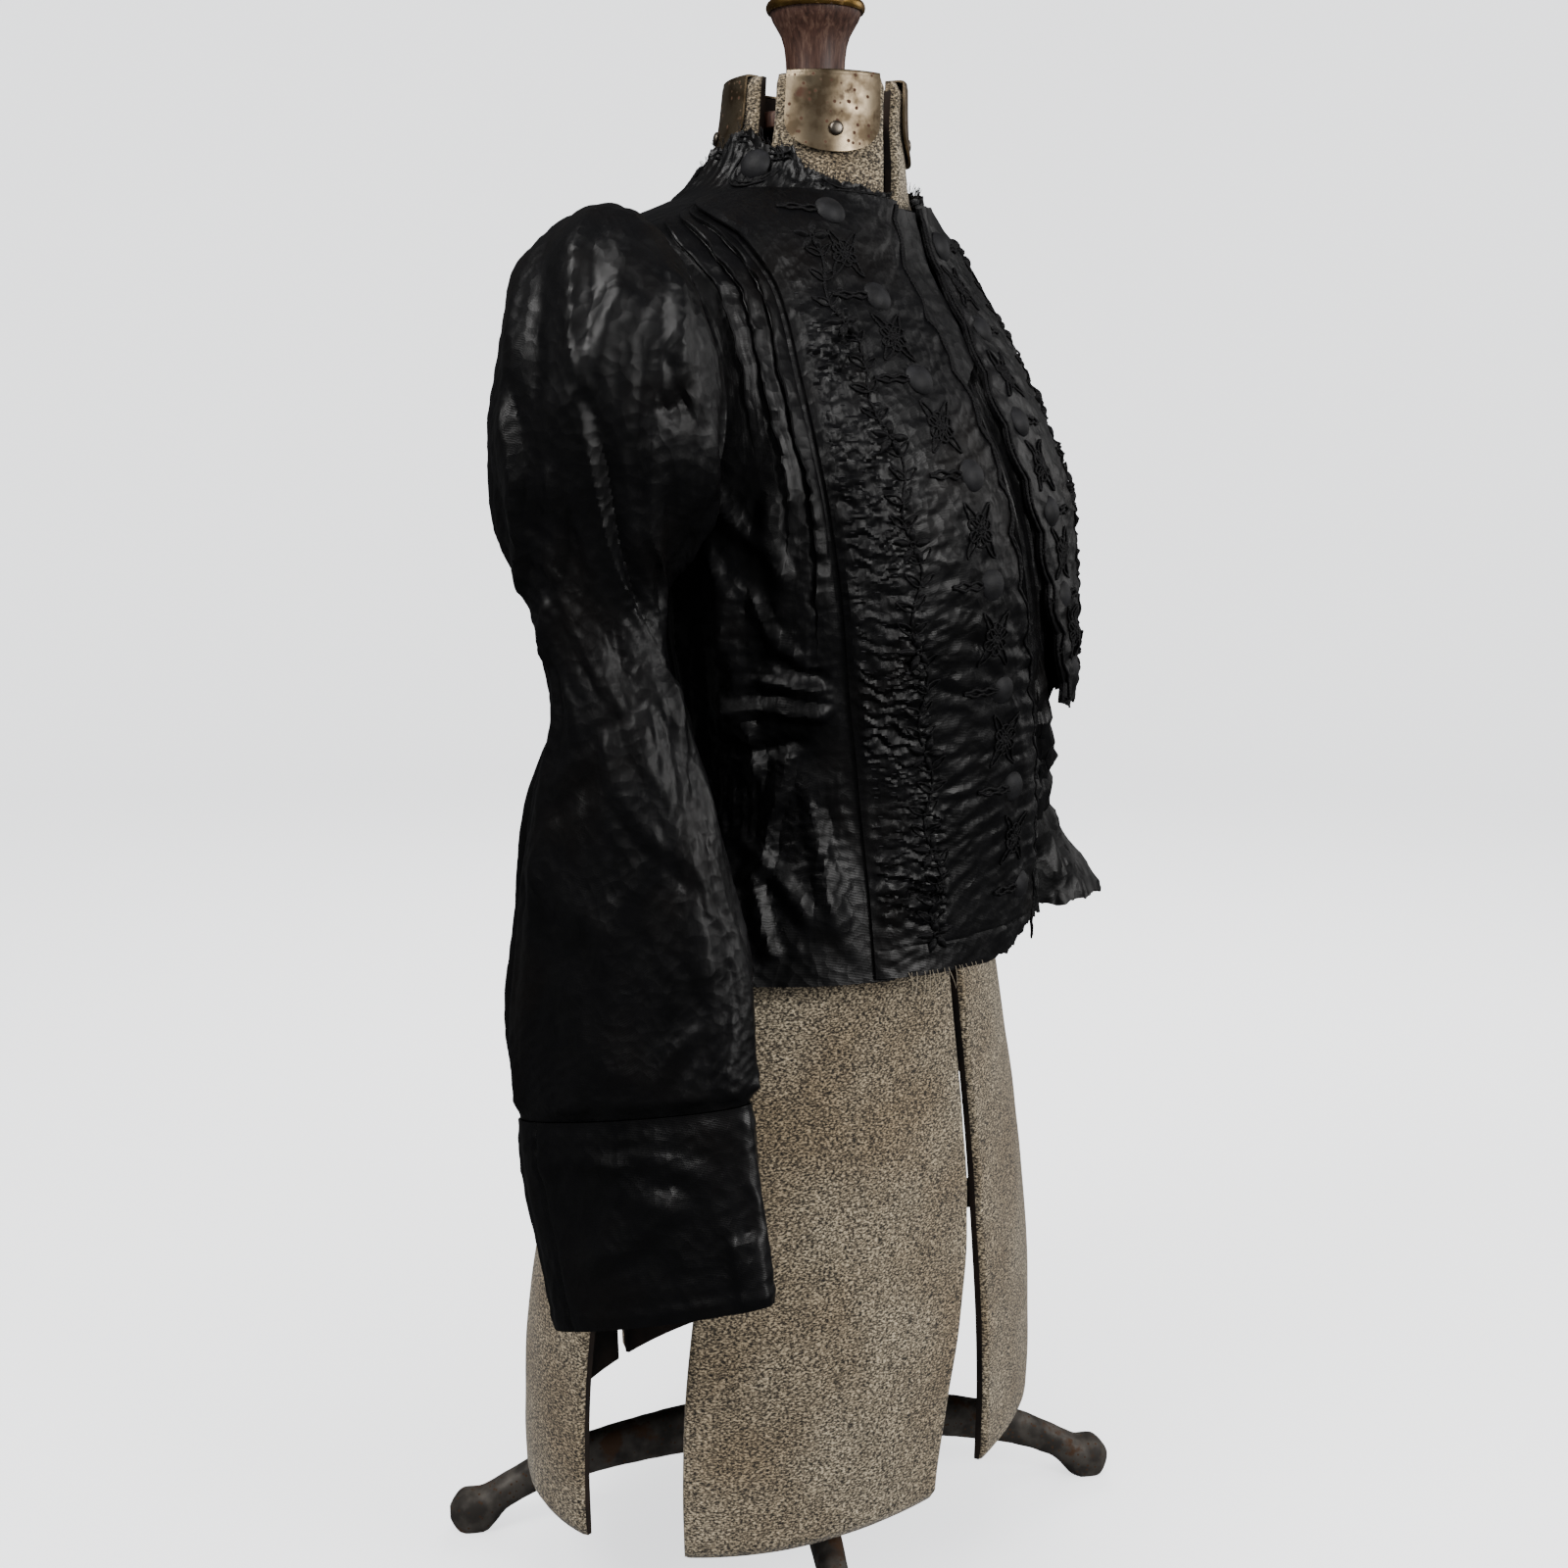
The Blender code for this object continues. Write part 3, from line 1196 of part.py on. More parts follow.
def build_stand(iron, steel):
    """Build hub, legs, pole and the set collar that the form rests on."""
    on_pole(turned("hub", HUB_PROFILE, iron, segments=16))
    for index, degrees in enumerate(LEG_ANGLES):
        on_pole(build_leg(index + 1, degrees, iron))
    pole = [Profile(POLE_RADIUS, HUB_PROFILE[-1].z + TOUCH), Profile(POLE_RADIUS, POLE_TOP_Z)]
    on_pole(turned("pole", pole, steel, segments=16))
    top = SPIDER_LOWER_Z - SPIDER_HEIGHT * 0.5 - TOUCH
    ring = [
        Profile(POLE_RADIUS + TOUCH, top - COLLAR_HEIGHT),
        Profile(COLLAR_RADIUS, top - COLLAR_HEIGHT),
        Profile(COLLAR_RADIUS, top),
        Profile(POLE_RADIUS + TOUCH, top),
    ]
    on_pole(turned_ring("set_collar", ring, iron, segments=16))
    screw = [
        Profile(0.0030, TOUCH),
        Profile(0.0030, 0.0120),
        Profile(0.0085, 0.0125),
        Profile(0.0085, 0.0160),
    ]
    seat = np.array([0.0, -COLLAR_RADIUS, top - COLLAR_HEIGHT * 0.5])
    on_pole(turned("thumbscrew", screw, steel, 10, seat, (0.0, -1.0, 0.0)))


def build_form(jersey, nickel, steel, iron, wood, brass):
    """Build the four shells, their neck plates and what carries them on the pole."""
    for quadrant in ("front", "back"):
        for side in (-1, 1):
            build_shell(quadrant, side, jersey)
            build_neck_plate(quadrant, side, nickel)
            build_rivet(quadrant, side, steel)
    build_spider("spider_lower", SPIDER_LOWER_Z, iron)
    build_spider("spider_upper", SPIDER_UPPER_Z, iron)
    turned("neck_post", POST_PROFILE, wood, segments=16)
    turned_ring("post_ring", RING_PROFILE, brass, segments=16)


def build_bodice(taffeta, embroidered, covered):
    """Build every cut piece of the bodice and its buttons."""
    build_back(taffeta)
    for side in (-1, 1):
        build_side_front(side, taffeta)
        build_sleeve(side, taffeta)
        build_cuff(side, taffeta)
    right_band = build_right_band(embroidered)
    left_band = build_left_band(embroidered)
    build_vest(taffeta)
    build_flap(taffeta)
    collar = build_collar(taffeta)
    for index, place in enumerate(RIGHT_BUTTONS):
        carrier = collar if place.carrier == "collar" else right_band
        build_button("button_right_%d" % (index + 1), place, carrier, covered)
    for index, place in enumerate(LEFT_BUTTONS):
        build_button("button_left_%d" % (index + 1), place, left_band, covered)


def main():
    clear_scene()
    taffeta = material("black silk taffeta", (0.012, 0.012, 0.015), 0.38)
    embroidered = material("embroidered black taffeta", (0.014, 0.014, 0.017), 0.42)
    covered = material("taffeta-covered button", (0.020, 0.020, 0.023), 0.50)
    jersey = material("heathered jersey", (0.36, 0.31, 0.25), 0.95)
    nickel = material("tarnished nickel plate", (0.55, 0.50, 0.42), 0.45, 0.9)
    steel = material("dull steel", (0.30, 0.28, 0.25), 0.45, 0.9)
    iron = material("rusted cast iron", (0.16, 0.14, 0.12), 0.75, 0.4)
    wood = material("weathered red wood", (0.25, 0.12, 0.08), 0.60)
    brass = material("dull brass", (0.50, 0.38, 0.20), 0.40, 0.9)
    build_stand(iron, steel)
    build_form(jersey, nickel, steel, iron, wood, brass)
    build_bodice(taffeta, embroidered, covered)


main()
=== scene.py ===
"""Looks of a mourning bodice of black silk taffeta on its adjustable dress form.

Metres, +Z up, the wearer facing -Y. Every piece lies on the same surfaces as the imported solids:
the form's sections, the cloth's ease over them and the rings of the sleeves are repeated here.
"""

import logging
import math
from dataclasses import astuple, dataclass, field
from enum import Enum
from typing import Callable, Sequence

import bpy
import numpy as np
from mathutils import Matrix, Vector, noise


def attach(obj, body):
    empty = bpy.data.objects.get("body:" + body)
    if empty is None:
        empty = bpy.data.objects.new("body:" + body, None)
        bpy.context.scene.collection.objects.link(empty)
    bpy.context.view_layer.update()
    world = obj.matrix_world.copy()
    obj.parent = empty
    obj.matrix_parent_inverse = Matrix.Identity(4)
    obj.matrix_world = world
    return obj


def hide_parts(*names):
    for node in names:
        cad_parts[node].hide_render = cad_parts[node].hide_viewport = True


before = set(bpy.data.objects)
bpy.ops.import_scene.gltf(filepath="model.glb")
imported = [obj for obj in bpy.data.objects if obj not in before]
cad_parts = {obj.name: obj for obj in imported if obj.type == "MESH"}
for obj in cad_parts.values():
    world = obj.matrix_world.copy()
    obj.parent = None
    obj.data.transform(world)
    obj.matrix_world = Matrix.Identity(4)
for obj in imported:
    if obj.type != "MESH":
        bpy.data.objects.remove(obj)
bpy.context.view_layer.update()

LOG = logging.getLogger("bodice")
Array = np.ndarray
SurfaceLaw = Callable[[Array, Array], Array]

# Place of the neck's axis and of the pole in the frame
NECK = np.array([-0.0001, -0.0165, 0.0])
POLE = np.array([-0.0001, 0.0035, 0.0])

TAFFETA = 0.0012
BAND_CLOTH = 0.0014
SEAM_GAP = 0.0004
HALF_SEAM = 0.00025
HEM_Z = 0.405
NECK_SEAM_Z = 0.8525
SIDE_ANGLE = 90.0
# Share of its listed reach that each face of a crease takes, so that the silk stays crisp
CREASE_REACH = 0.72
# Radius at which a body panel is charted flat
CHART_RADIUS = 0.15
# Width of the finest crinkles, and how far the small ones turn from the way along, in radians
FINE_CRINKLE = 0.0055
SMALL_LEAN = 1.5
ARMHOLE_Z = 0.738
ARMHOLE_HALF_HEIGHT = 0.078
ARMHOLE_HALF_ANGLE = 19.0
SHELL_THICKNESS = 0.008
FORM_TOP_Z = 0.925


class Side(Enum):
    """A side of the wearer, with the sign of its x."""

    RIGHT = -1
    LEFT = 1


class Quarter(Enum):
    """Front or back quarter of the form."""

    FRONT = "front"
    BACK = "back"


class Body(Enum):
    """The two bodies that the slide joins."""

    STAND = "stand"
    FORM = "form"


@dataclass(frozen=True)
class FormSection:
    """A level section of the form, a rounded oval about its own centre."""

    z: float
    half_width: float
    front_depth: float
    back_depth: float
    centre_y: float
    roundness: float


@dataclass(frozen=True)
class ClothEase:
    """How far the cloth stands off the form at its side, front and back."""

    z: float
    side: float
    front: float
    back: float


@dataclass(frozen=True)
class TuckLine:
    """Angles of a side front's three tucks and of its band's outer edge at a level."""

    z: float
    tuck_1: float
    tuck_2: float
    tuck_3: float
    band_edge: float


@dataclass(frozen=True)
class BandEdge:
    """Angles of the two bands' inner edges at a level."""

    z: float
    right: float
    left: float


@dataclass(frozen=True)
class BodyFold:
    """A soft fold between two places, given as angle and level."""

    angle_top: float
    z_top: float
    angle_end: float
    z_end: float
    height: float
    half_width: float


@dataclass(frozen=True)
class SleeveRing:
    """A ring of the right sleeve, from its body side to its outer side."""

    x_in: float
    z_in: float
    x_out: float
    z_out: float
    y: float
    half_fore: float
    fore_rise: float


@dataclass(frozen=True)
class SleeveFold:
    """A fold of a sleeve between two places, as angle round the ring and share of length."""

    angle_top: float
    along_top: float
    angle_end: float
    along_end: float
    height: float
    half_angle: float


@dataclass(frozen=True)
class Crease:
    """A crisp crease on a chart in metres: its line, its height, and how far its two faces reach."""

    line: tuple[tuple[float, float], ...]
    height: float
    near: float
    far: float


@dataclass(frozen=True)
class Profile:
    """A step of a turned shape."""

    radius: float
    z: float


FORM_SECTIONS = [
    FormSection(0.066, 0.208, 0.148, 0.148, 0.0200, 2.00),
    FormSection(0.110, 0.209, 0.149, 0.149, 0.0200, 2.00),
    FormSection(0.160, 0.207, 0.147, 0.147, 0.0195, 2.00),
    FormSection(0.210, 0.201, 0.142, 0.142, 0.0180, 2.00),
    FormSection(0.280, 0.187, 0.134, 0.134, 0.0160, 2.00),
    FormSection(0.350, 0.168, 0.123, 0.123, 0.0130, 2.00),
    FormSection(0.420, 0.148, 0.110, 0.112, 0.0080, 2.02),
    FormSection(0.497, 0.128, 0.098, 0.100, 0.0020, 2.08),
    FormSection(0.560, 0.136, 0.107, 0.104, 0.0000, 2.22),
    FormSection(0.620, 0.150, 0.119, 0.110, 0.0000, 2.38),
    FormSection(0.675, 0.158, 0.124, 0.114, 0.0040, 2.45),
    FormSection(0.720, 0.161, 0.118, 0.116, 0.0100, 2.40),
    FormSection(0.760, 0.163, 0.108, 0.113, 0.0160, 2.30),
    FormSection(0.795, 0.163, 0.097, 0.105, 0.0220, 2.20),
    FormSection(0.815, 0.158, 0.089, 0.098, 0.0240, 2.12),
    FormSection(0.830, 0.140, 0.081, 0.090, 0.0220, 2.06),
    FormSection(0.842, 0.110, 0.073, 0.083, 0.0180, 2.02),
    FormSection(0.852, 0.083, 0.067, 0.076, 0.0130, 2.00),
    FormSection(0.862, 0.068, 0.062, 0.068, 0.0080, 2.00),
    FormSection(0.876, 0.060, 0.057, 0.060, 0.0030, 2.00),
    FormSection(0.895, 0.056, 0.054, 0.056, 0.0010, 2.00),
    FormSection(0.925, 0.054, 0.054, 0.054, 0.0000, 2.00),
]
CLOTH_EASE = [
    ClothEase(0.405, 0.012, 0.034, 0.014),
    ClothEase(0.455, 0.008, 0.040, 0.008),
    ClothEase(0.497, 0.005, 0.045, 0.004),
    ClothEase(0.525, 0.006, 0.043, 0.004),
    ClothEase(0.560, 0.007, 0.038, 0.005),
    ClothEase(0.620, 0.008, 0.031, 0.006),
    ClothEase(0.675, 0.007, 0.025, 0.006),
    ClothEase(0.720, 0.006, 0.022, 0.005),
    ClothEase(0.760, 0.005, 0.016, 0.004),
    ClothEase(0.810, 0.0050, 0.0085, 0.0050),
    ClothEase(0.838, 0.0055, 0.0080, 0.0055),
    ClothEase(0.870, 0.0045, 0.0060, 0.0050),
]
TUCK_LINES = [
    TuckLine(0.400, 80.0, 68.0, 55.0, 41.0),
    TuckLine(0.460, 78.0, 67.0, 56.0, 43.4),
    TuckLine(0.520, 76.0, 66.0, 56.5, 47.0),
    TuckLine(0.580, 74.0, 65.0, 57.5, 50.7),
    TuckLine(0.640, 72.0, 63.0, 57.3, 52.8),
    TuckLine(0.680, 67.2, 61.2, 57.2, 54.0),
    TuckLine(0.720, 66.8, 62.8, 59.2, 55.3),
    TuckLine(0.750, 67.6, 64.2, 60.5, 56.5),
    TuckLine(0.783, 69.4, 65.4, 61.5, 57.8),
    TuckLine(0.800, 72.0, 67.6, 63.4, 59.6),
    TuckLine(0.815, 77.0, 72.0, 67.6, 63.6),
    TuckLine(0.825, 81.5, 76.5, 72.0, 68.0),
    TuckLine(0.835, 86.6, 83.4, 80.2, 76.8),
    TuckLine(0.842, 88.9, 87.8, 86.6, 84.6),
    TuckLine(0.846, 89.6, 89.3, 89.0, 88.6),
    TuckLine(0.853, 89.7, 89.5, 89.3, 89.1),
]
BAND_EDGES = [
    BandEdge(0.400, 12.0, 15.0),
    BandEdge(0.460, 12.5, 15.0),
    BandEdge(0.520, 6.5, 13.5),
    BandEdge(0.570, -0.5, 11.0),
    BandEdge(0.605, -5.5, 7.0),
    BandEdge(0.650, -9.5, 3.0),
    BandEdge(0.700, -11.8, -1.5),
    BandEdge(0.735, -13.6, -2.5),
    BandEdge(0.760, -15.0, 0.5),
    BandEdge(0.800, -15.5, 6.0),
    BandEdge(0.840, -12.5, 9.0),
    BandEdge(0.855, -11.0, 10.0),
]
SIDE_FRONT_FOLDS = [
    BodyFold(83.0, 0.625, 84.0, 0.570, 0.0045, 0.010),
    BodyFold(75.0, 0.630, 73.0, 0.555, 0.0065, 0.010),
    BodyFold(69.0, 0.690, 69.0, 0.570, -0.0050, 0.009),
    BodyFold(63.0, 0.650, 62.0, 0.575, 0.0065, 0.010),
    BodyFold(66.0, 0.575, 53.0, 0.566, 0.0055, 0.010),
    BodyFold(80.0, 0.545, 58.0, 0.540, -0.0035, 0.010),
    BodyFold(76.0, 0.510, 56.0, 0.520, 0.0055, 0.010),
    BodyFold(60.0, 0.495, 51.0, 0.440, 0.0060, 0.011),
    BodyFold(68.0, 0.480, 64.0, 0.405, -0.0040, 0.011),
    BodyFold(78.0, 0.470, 75.0, 0.405, 0.0060, 0.011),
]
BACK_FOLDS = [
    BodyFold(118.0, 0.640, 128.0, 0.500, 0.0040, 0.009),
    BodyFold(140.0, 0.620, 150.0, 0.505, 0.0040, 0.008),
    BodyFold(180.0, 0.560, 180.0, 0.495, -0.0020, 0.007),
    BodyFold(220.0, 0.620, 210.0, 0.505, 0.0040, 0.008),
    BodyFold(242.0, 0.640, 232.0, 0.500, 0.0040, 0.009),
    BodyFold(130.0, 0.480, 126.0, 0.405, 0.0050, 0.010),
    BodyFold(160.0, 0.480, 157.0, 0.405, 0.0055, 0.010),
    BodyFold(200.0, 0.480, 204.0, 0.405, 0.0055, 0.010),
    BodyFold(230.0, 0.480, 235.0, 0.405, 0.0050, 0.010),
    BodyFold(150.0, 0.790, 210.0, 0.780, 0.0030, 0.010),
]
SLEEVE_RINGS = [
    SleeveRing(0.1690, 0.6590, 0.1690, 0.8170, 0.0160, 0.0560, 0.00),
    SleeveRing(0.1700, 0.6570, 0.1850, 0.8350, 0.0140, 0.0610, 0.00),
    SleeveRing(0.1715, 0.6540, 0.2100, 0.8330, 0.0090, 0.0670, 0.00),
    SleeveRing(0.1722, 0.6510, 0.2330, 0.8140, 0.0050, 0.0680, 0.00),
    SleeveRing(0.1728, 0.6475, 0.2480, 0.7820, 0.0030, 0.0665, 0.00),
    SleeveRing(0.1732, 0.6440, 0.2540, 0.7440, 0.0070, 0.0630, 0.00),
    SleeveRing(0.1738, 0.6400, 0.2520, 0.7040, 0.0140, 0.0560, 0.00),
    SleeveRing(0.1745, 0.6310, 0.2440, 0.6660, 0.0190, 0.0460, 0.00),
    SleeveRing(0.1790, 0.6130, 0.2380, 0.6330, 0.0145, 0.0350, 0.00),
    SleeveRing(0.1810, 0.5900, 0.2360, 0.6000, 0.0055, 0.0330, 0.00),
    SleeveRing(0.1810, 0.5620, 0.2360, 0.5680, -0.0045, 0.0390, 0.02),
    SleeveRing(0.1810, 0.5200, 0.2370, 0.5220, -0.0045, 0.0555, 0.05),
    SleeveRing(0.1810, 0.4730, 0.2370, 0.4740, -0.0050, 0.0680, 0.10),
    SleeveRing(0.1825, 0.4300, 0.2370, 0.4300, -0.0070, 0.0777, 0.14),
    SleeveRing(0.1850, 0.3920, 0.2375, 0.3920, -0.0075, 0.0830, 0.18),
    SleeveRing(0.1885, 0.3660, 0.2380, 0.3660, -0.0115, 0.0825, 0.21),
    SleeveRing(0.1915, 0.3445, 0.2385, 0.3445, -0.0149, 0.0810, 0.23),
]
CUFF_RINGS = [
    SleeveRing(0.1917, 0.3441, 0.2385, 0.3441, -0.0149, 0.0810, 0.23),
    SleeveRing(0.1960, 0.3120, 0.2395, 0.3120, -0.0200, 0.0800, 0.26),
    SleeveRing(0.2020, 0.2720, 0.2420, 0.2720, -0.0320, 0.0775, 0.30),
    SleeveRing(0.2080, 0.2335, 0.2450, 0.2335, -0.0427, 0.0755, 0.34),
]
SLEEVE_FOLDS = [
    SleeveFold(5.0, 0.06, 50.0, 0.52, 0.0060, 14.0),
    SleeveFold(-40.0, 0.10, -18.0, 0.42, 0.0050, 13.0),
    SleeveFold(70.0, 0.10, 78.0, 0.30, 0.0065, 12.0),
    SleeveFold(38.0, 0.12, 62.0, 0.36, -0.0060, 12.0),
    SleeveFold(-10.0, 0.20, 15.0, 0.50, -0.0050, 11.0),
    SleeveFold(-70.0, 0.28, -45.0, 0.46, 0.0050, 12.0),
    SleeveFold(82.0, 0.40, 20.0, 0.62, 0.0060, 14.0),
    SleeveFold(70.0, 0.60, -20.0, 0.66, -0.0045, 12.0),
    SleeveFold(-50.0, 0.60, -25.0, 0.82, 0.0050, 13.0),
    SleeveFold(50.0, 0.66, 10.0, 0.94, 0.0050, 13.0),
    SleeveFold(20.0, 0.72, 60.0, 0.90, -0.0040, 12.0),
    SleeveFold(200.0, 0.30, 175.0, 0.90, 0.0040, 14.0),
]
CUFF_FOLDS = [
    SleeveFold(60.0, 0.10, -10.0, 0.60, 0.0030, 14.0),
    SleeveFold(-50.0, 0.30, 40.0, 0.90, -0.0025, 12.0),
]
# Angle round the sleeve and share of its length for each place on a crease
SLEEVE_CREASES = [
    Crease(
        ((2, 0.10), (8, 0.20), (16, 0.283), (24, 0.31), (22, 0.325), (36, 0.373), (50, 0.43), (70, 0.51), (84, 0.57)),
        0.0062,
        0.026,
        0.008,
    ),
    Crease(((-40, 0.14), (-26, 0.24), (-19, 0.325)), 0.0030, 0.016, 0.022),
    Crease(((-31, 0.30), (-18, 0.357), (-12, 0.393), (-17, 0.455), (-50, 0.52)), 0.0055, 0.018, 0.008),
    Crease(((6, 0.370), (16, 0.42), (16, 0.45), (1, 0.50)), 0.0042, 0.014, 0.009),
    Crease(((1, 0.495), (-22, 0.533), (-51, 0.573)), 0.0040, 0.008, 0.016),
    Crease(((36, 0.20), (28, 0.25), (23, 0.312)), 0.0034, 0.010, 0.016),
    Crease(((50, 0.12), (58, 0.175), (69, 0.25)), 0.0048, 0.010, 0.009),
    Crease(((60, 0.285), (67, 0.28), (74, 0.245)), -0.0052, 0.010, 0.008),
    Crease(((54, 0.27), (63, 0.32), (78, 0.40), (100, 0.45), (97, 0.555)), 0.0046, 0.008, 0.016),
    Crease(((70, 0.36), (84, 0.46), (88, 0.56), (80, 0.66)), 0.0090, 0.042, 0.038),
    Crease(((14, 0.668), (-9, 0.683), (-32, 0.705)), -0.0032, 0.014, 0.010),
    Crease(((96, 0.575), (80, 0.643), (70, 0.70)), 0.0032, 0.012, 0.012),
    Crease(((12, 0.62), (22, 0.673), (42, 0.713), (75, 0.745)), 0.0030, 0.012, 0.016),
    Crease(((-20, 0.58), (-13, 0.647), (-18, 0.705)), 0.0028, 0.014, 0.014),
    Crease(((-60, 0.728), (-14, 0.763), (20, 0.79)), 0.0024, 0.010, 0.018),
    Crease(((40, 0.72), (18, 0.763), (2, 0.83)), 0.0024, 0.014, 0.012),
    Crease(((50, 0.74), (54, 0.79), (58, 0.84)), 0.0026, 0.010, 0.014),
    Crease(((-16, 0.81), (-4, 0.873), (14, 0.955)), 0.0024, 0.012, 0.016),
    Crease(((64, 0.86), (36, 0.90), (22, 0.97)), 0.0022, 0.014, 0.010),
    Crease(((150, 0.16), (168, 0.30), (160, 0.42), (185, 0.56)), 0.0052, 0.020, 0.010),
    Crease(((215, 0.14), (205, 0.28), (222, 0.40), (212, 0.52)), 0.0048, 0.010, 0.022),
    Crease(((255, 0.16), (262, 0.30), (246, 0.44), (258, 0.60)), 0.0042, 0.018, 0.010),
    Crease(((120, 0.20), (132, 0.34), (124, 0.50)), 0.0040, 0.016, 0.010),
    Crease(((150, 0.60), (180, 0.66), (215, 0.64), (250, 0.68)), -0.0036, 0.014, 0.012),
    Crease(((135, 0.66), (160, 0.74), (150, 0.84)), 0.0028, 0.012, 0.016),
    Crease(((230, 0.70), (205, 0.78), (215, 0.90)), 0.0028, 0.016, 0.012),
    Crease(((270, 0.74), (250, 0.84), (262, 0.94)), 0.0024, 0.012, 0.014),
]
CUFF_CREASES = [
    Crease(((-3, 0.17), (12, 0.427), (38, 0.50)), 0.0024, 0.012, 0.012),
    Crease(((-63, 0.28), (-14, 0.22), (24, 0.30)), 0.0018, 0.010, 0.014),
    Crease(((-39, 0.71), (-3, 0.653), (20, 0.523), (42, 0.45)), 0.0026, 0.010, 0.014),
    Crease(((7, 0.17), (24, 0.247), (54, 0.407)), 0.0020, 0.012, 0.010),
    Crease(((-28, 0.84), (-3, 0.543), (3, 0.283)), 0.0018, 0.012, 0.012),
    Crease(((120, 0.2), (150, 0.5), (190, 0.6)), 0.0024, 0.012, 0.012),
    Crease(((200, 0.3), (235, 0.5), (250, 0.8)), 0.0022, 0.012, 0.012),
]
# Angle from the front and level for each place on a crease
BODY_CREASES = [
    Crease(((89.5, 0.655), (93, 0.62), (97, 0.589)), 0.0045, 0.010, 0.012),
    Crease(((79, 0.665), (76, 0.638), (77, 0.614), (78.5, 0.550)), 0.0052, 0.012, 0.007),
    Crease(((73, 0.650), (75.5, 0.607), (74.5, 0.588), (77, 0.550)), 0.0048, 0.007, 0.010),
    Crease(((85, 0.625), (88, 0.59), (89.5, 0.554)), 0.0042, 0.010, 0.008),
    Crease(((72, 0.583), (63.5, 0.581), (55, 0.575)), 0.0046, 0.008, 0.010),
    Crease(((79, 0.566), (65.5, 0.567), (52, 0.562)), 0.0052, 0.010, 0.008),
    Crease(((80, 0.580), (72.5, 0.553), (70.5, 0.515)), 0.0044, 0.012, 0.008),
    Crease(((62, 0.552), (67, 0.504), (69.5, 0.455)), 0.0046, 0.012, 0.009),
    Crease(((77, 0.492), (64.5, 0.466), (53, 0.430)), 0.0044, 0.010, 0.012),
    Crease(((60, 0.530), (55.5, 0.477), (50, 0.428)), 0.0046, 0.009, 0.014),
    Crease(((73, 0.480), (68, 0.444), (63, 0.414)), 0.0040, 0.010, 0.010),
    Crease(((80, 0.705), (74.5, 0.677), (66, 0.650)), 0.0040, 0.010, 0.010),
    Crease(((71, 0.640), (67, 0.613), (60, 0.588)), 0.0042, 0.010, 0.008),
    Crease(((66, 0.600), (61, 0.585), (53, 0.583)), -0.0040, 0.008, 0.008),
    Crease(((83, 0.545), (70, 0.540), (58, 0.548)), -0.0044, 0.008, 0.010),
    Crease(((64, 0.690), (66, 0.660), (62, 0.630)), 0.0036, 0.009, 0.009),
    Crease(((84, 0.470), (80, 0.445), (82, 0.415)), 0.0036, 0.010, 0.010),
]


def columns_at(rows: Sequence, level: Array) -> list[Array]:
    """Look a table up along smooth curves.

    Args:
        rows: the table's rows, the first field being its key.
        level: where to look it up.

    Returns:
        One array for each further column.
    """
    table = np.array([astuple(row) for row in rows], float)
    keys = table[:, 0]
    values = table[:, 1:]
    level = np.clip(np.asarray(level, float), keys[0], keys[-1])
    k = np.clip(np.searchsorted(keys, level) - 1, 0, len(keys) - 2)
    low = np.maximum(np.arange(len(keys)) - 1, 0)
    high = np.minimum(np.arange(len(keys)) + 1, len(keys) - 1)
    slopes = (values[high] - values[low]) / (keys[high] - keys[low])[:, None]
    step = (keys[k + 1] - keys[k])[..., None]
    t = (level - keys[k])[..., None] / step
    found = (2 * t**3 - 3 * t**2 + 1) * values[k] + (t**3 - 2 * t**2 + t) * slopes[k] * step
    found += (-2 * t**3 + 3 * t**2) * values[k + 1] + (t**3 - t**2) * slopes[k + 1] * step
    return [found[..., column] for column in range(values.shape[1])]


def ramp(value: Array, start: float, end: float) -> Array:
    """Return a smooth step from 0 at start to 1 at end."""
    t = np.clip((np.asarray(value, float) - start) / (end - start), 0.0, 1.0)
    return t * t * (3.0 - 2.0 * t)


def form_radius(degrees: Array, z: Array) -> tuple[Array, Array]:
    """Return the form's radius at an angle from the front, and its centre's y.

    Args:
        degrees: angle from the front, in degrees.
        z: the levels.

    Returns:
        Radius at each place, and the centre's y.
    """
    half_width, front, back, centre_y, power = columns_at(FORM_SECTIONS, z)
    angle = np.radians(degrees)
    depth = np.where(np.cos(angle) >= 0.0, front, back)
    across = np.abs(np.sin(angle) / half_width) ** power
    along = np.abs(np.cos(angle) / depth) ** power
    return (across + along) ** (-1.0 / power), centre_y


def ease_at(degrees: Array, z: Array) -> Array:
    """Return how far the cloth stands off the form.

    Args:
        degrees: angle from the front, in degrees.
        z: the levels.

    Returns:
        The distance at each place.
    """
    side, front, back = columns_at(CLOTH_EASE, z)
    angle = np.radians(degrees)
    facing = np.where(np.cos(angle) >= 0.0, front, back)
    return side * np.sin(angle) ** 2 + facing * np.cos(angle) ** 2


def around(radius: Array, degrees: Array, centre_y: Array, z: Array) -> Array:
    """Return points at an angle from the front round a centre, in the frame.

    Args:
        radius: distance from the centre.
        degrees: angle from the front, in degrees.
        centre_y: the centre's y.
        z: the levels.

    Returns:
        The points.
    """
    angle = np.radians(degrees)
    x = radius * np.sin(angle)
    y = centre_y - radius * np.cos(angle)
    return np.stack([x, y, np.broadcast_to(z, x.shape)], axis=-1) + NECK


def form_law(degrees: Array, z: Array) -> Array:
    """Return points of the form's outer surface."""
    radius, centre_y = form_radius(degrees, z)
    return around(radius, degrees, centre_y, z)


def cloth_law(degrees: Array, z: Array, stand_off: Array | float = 0.0) -> Array:
    """Return points of the cloth line, moved out level by stand_off."""
    radius, centre_y = form_radius(degrees, z)
    return around(radius + ease_at(degrees, z) + stand_off, degrees, centre_y, z)


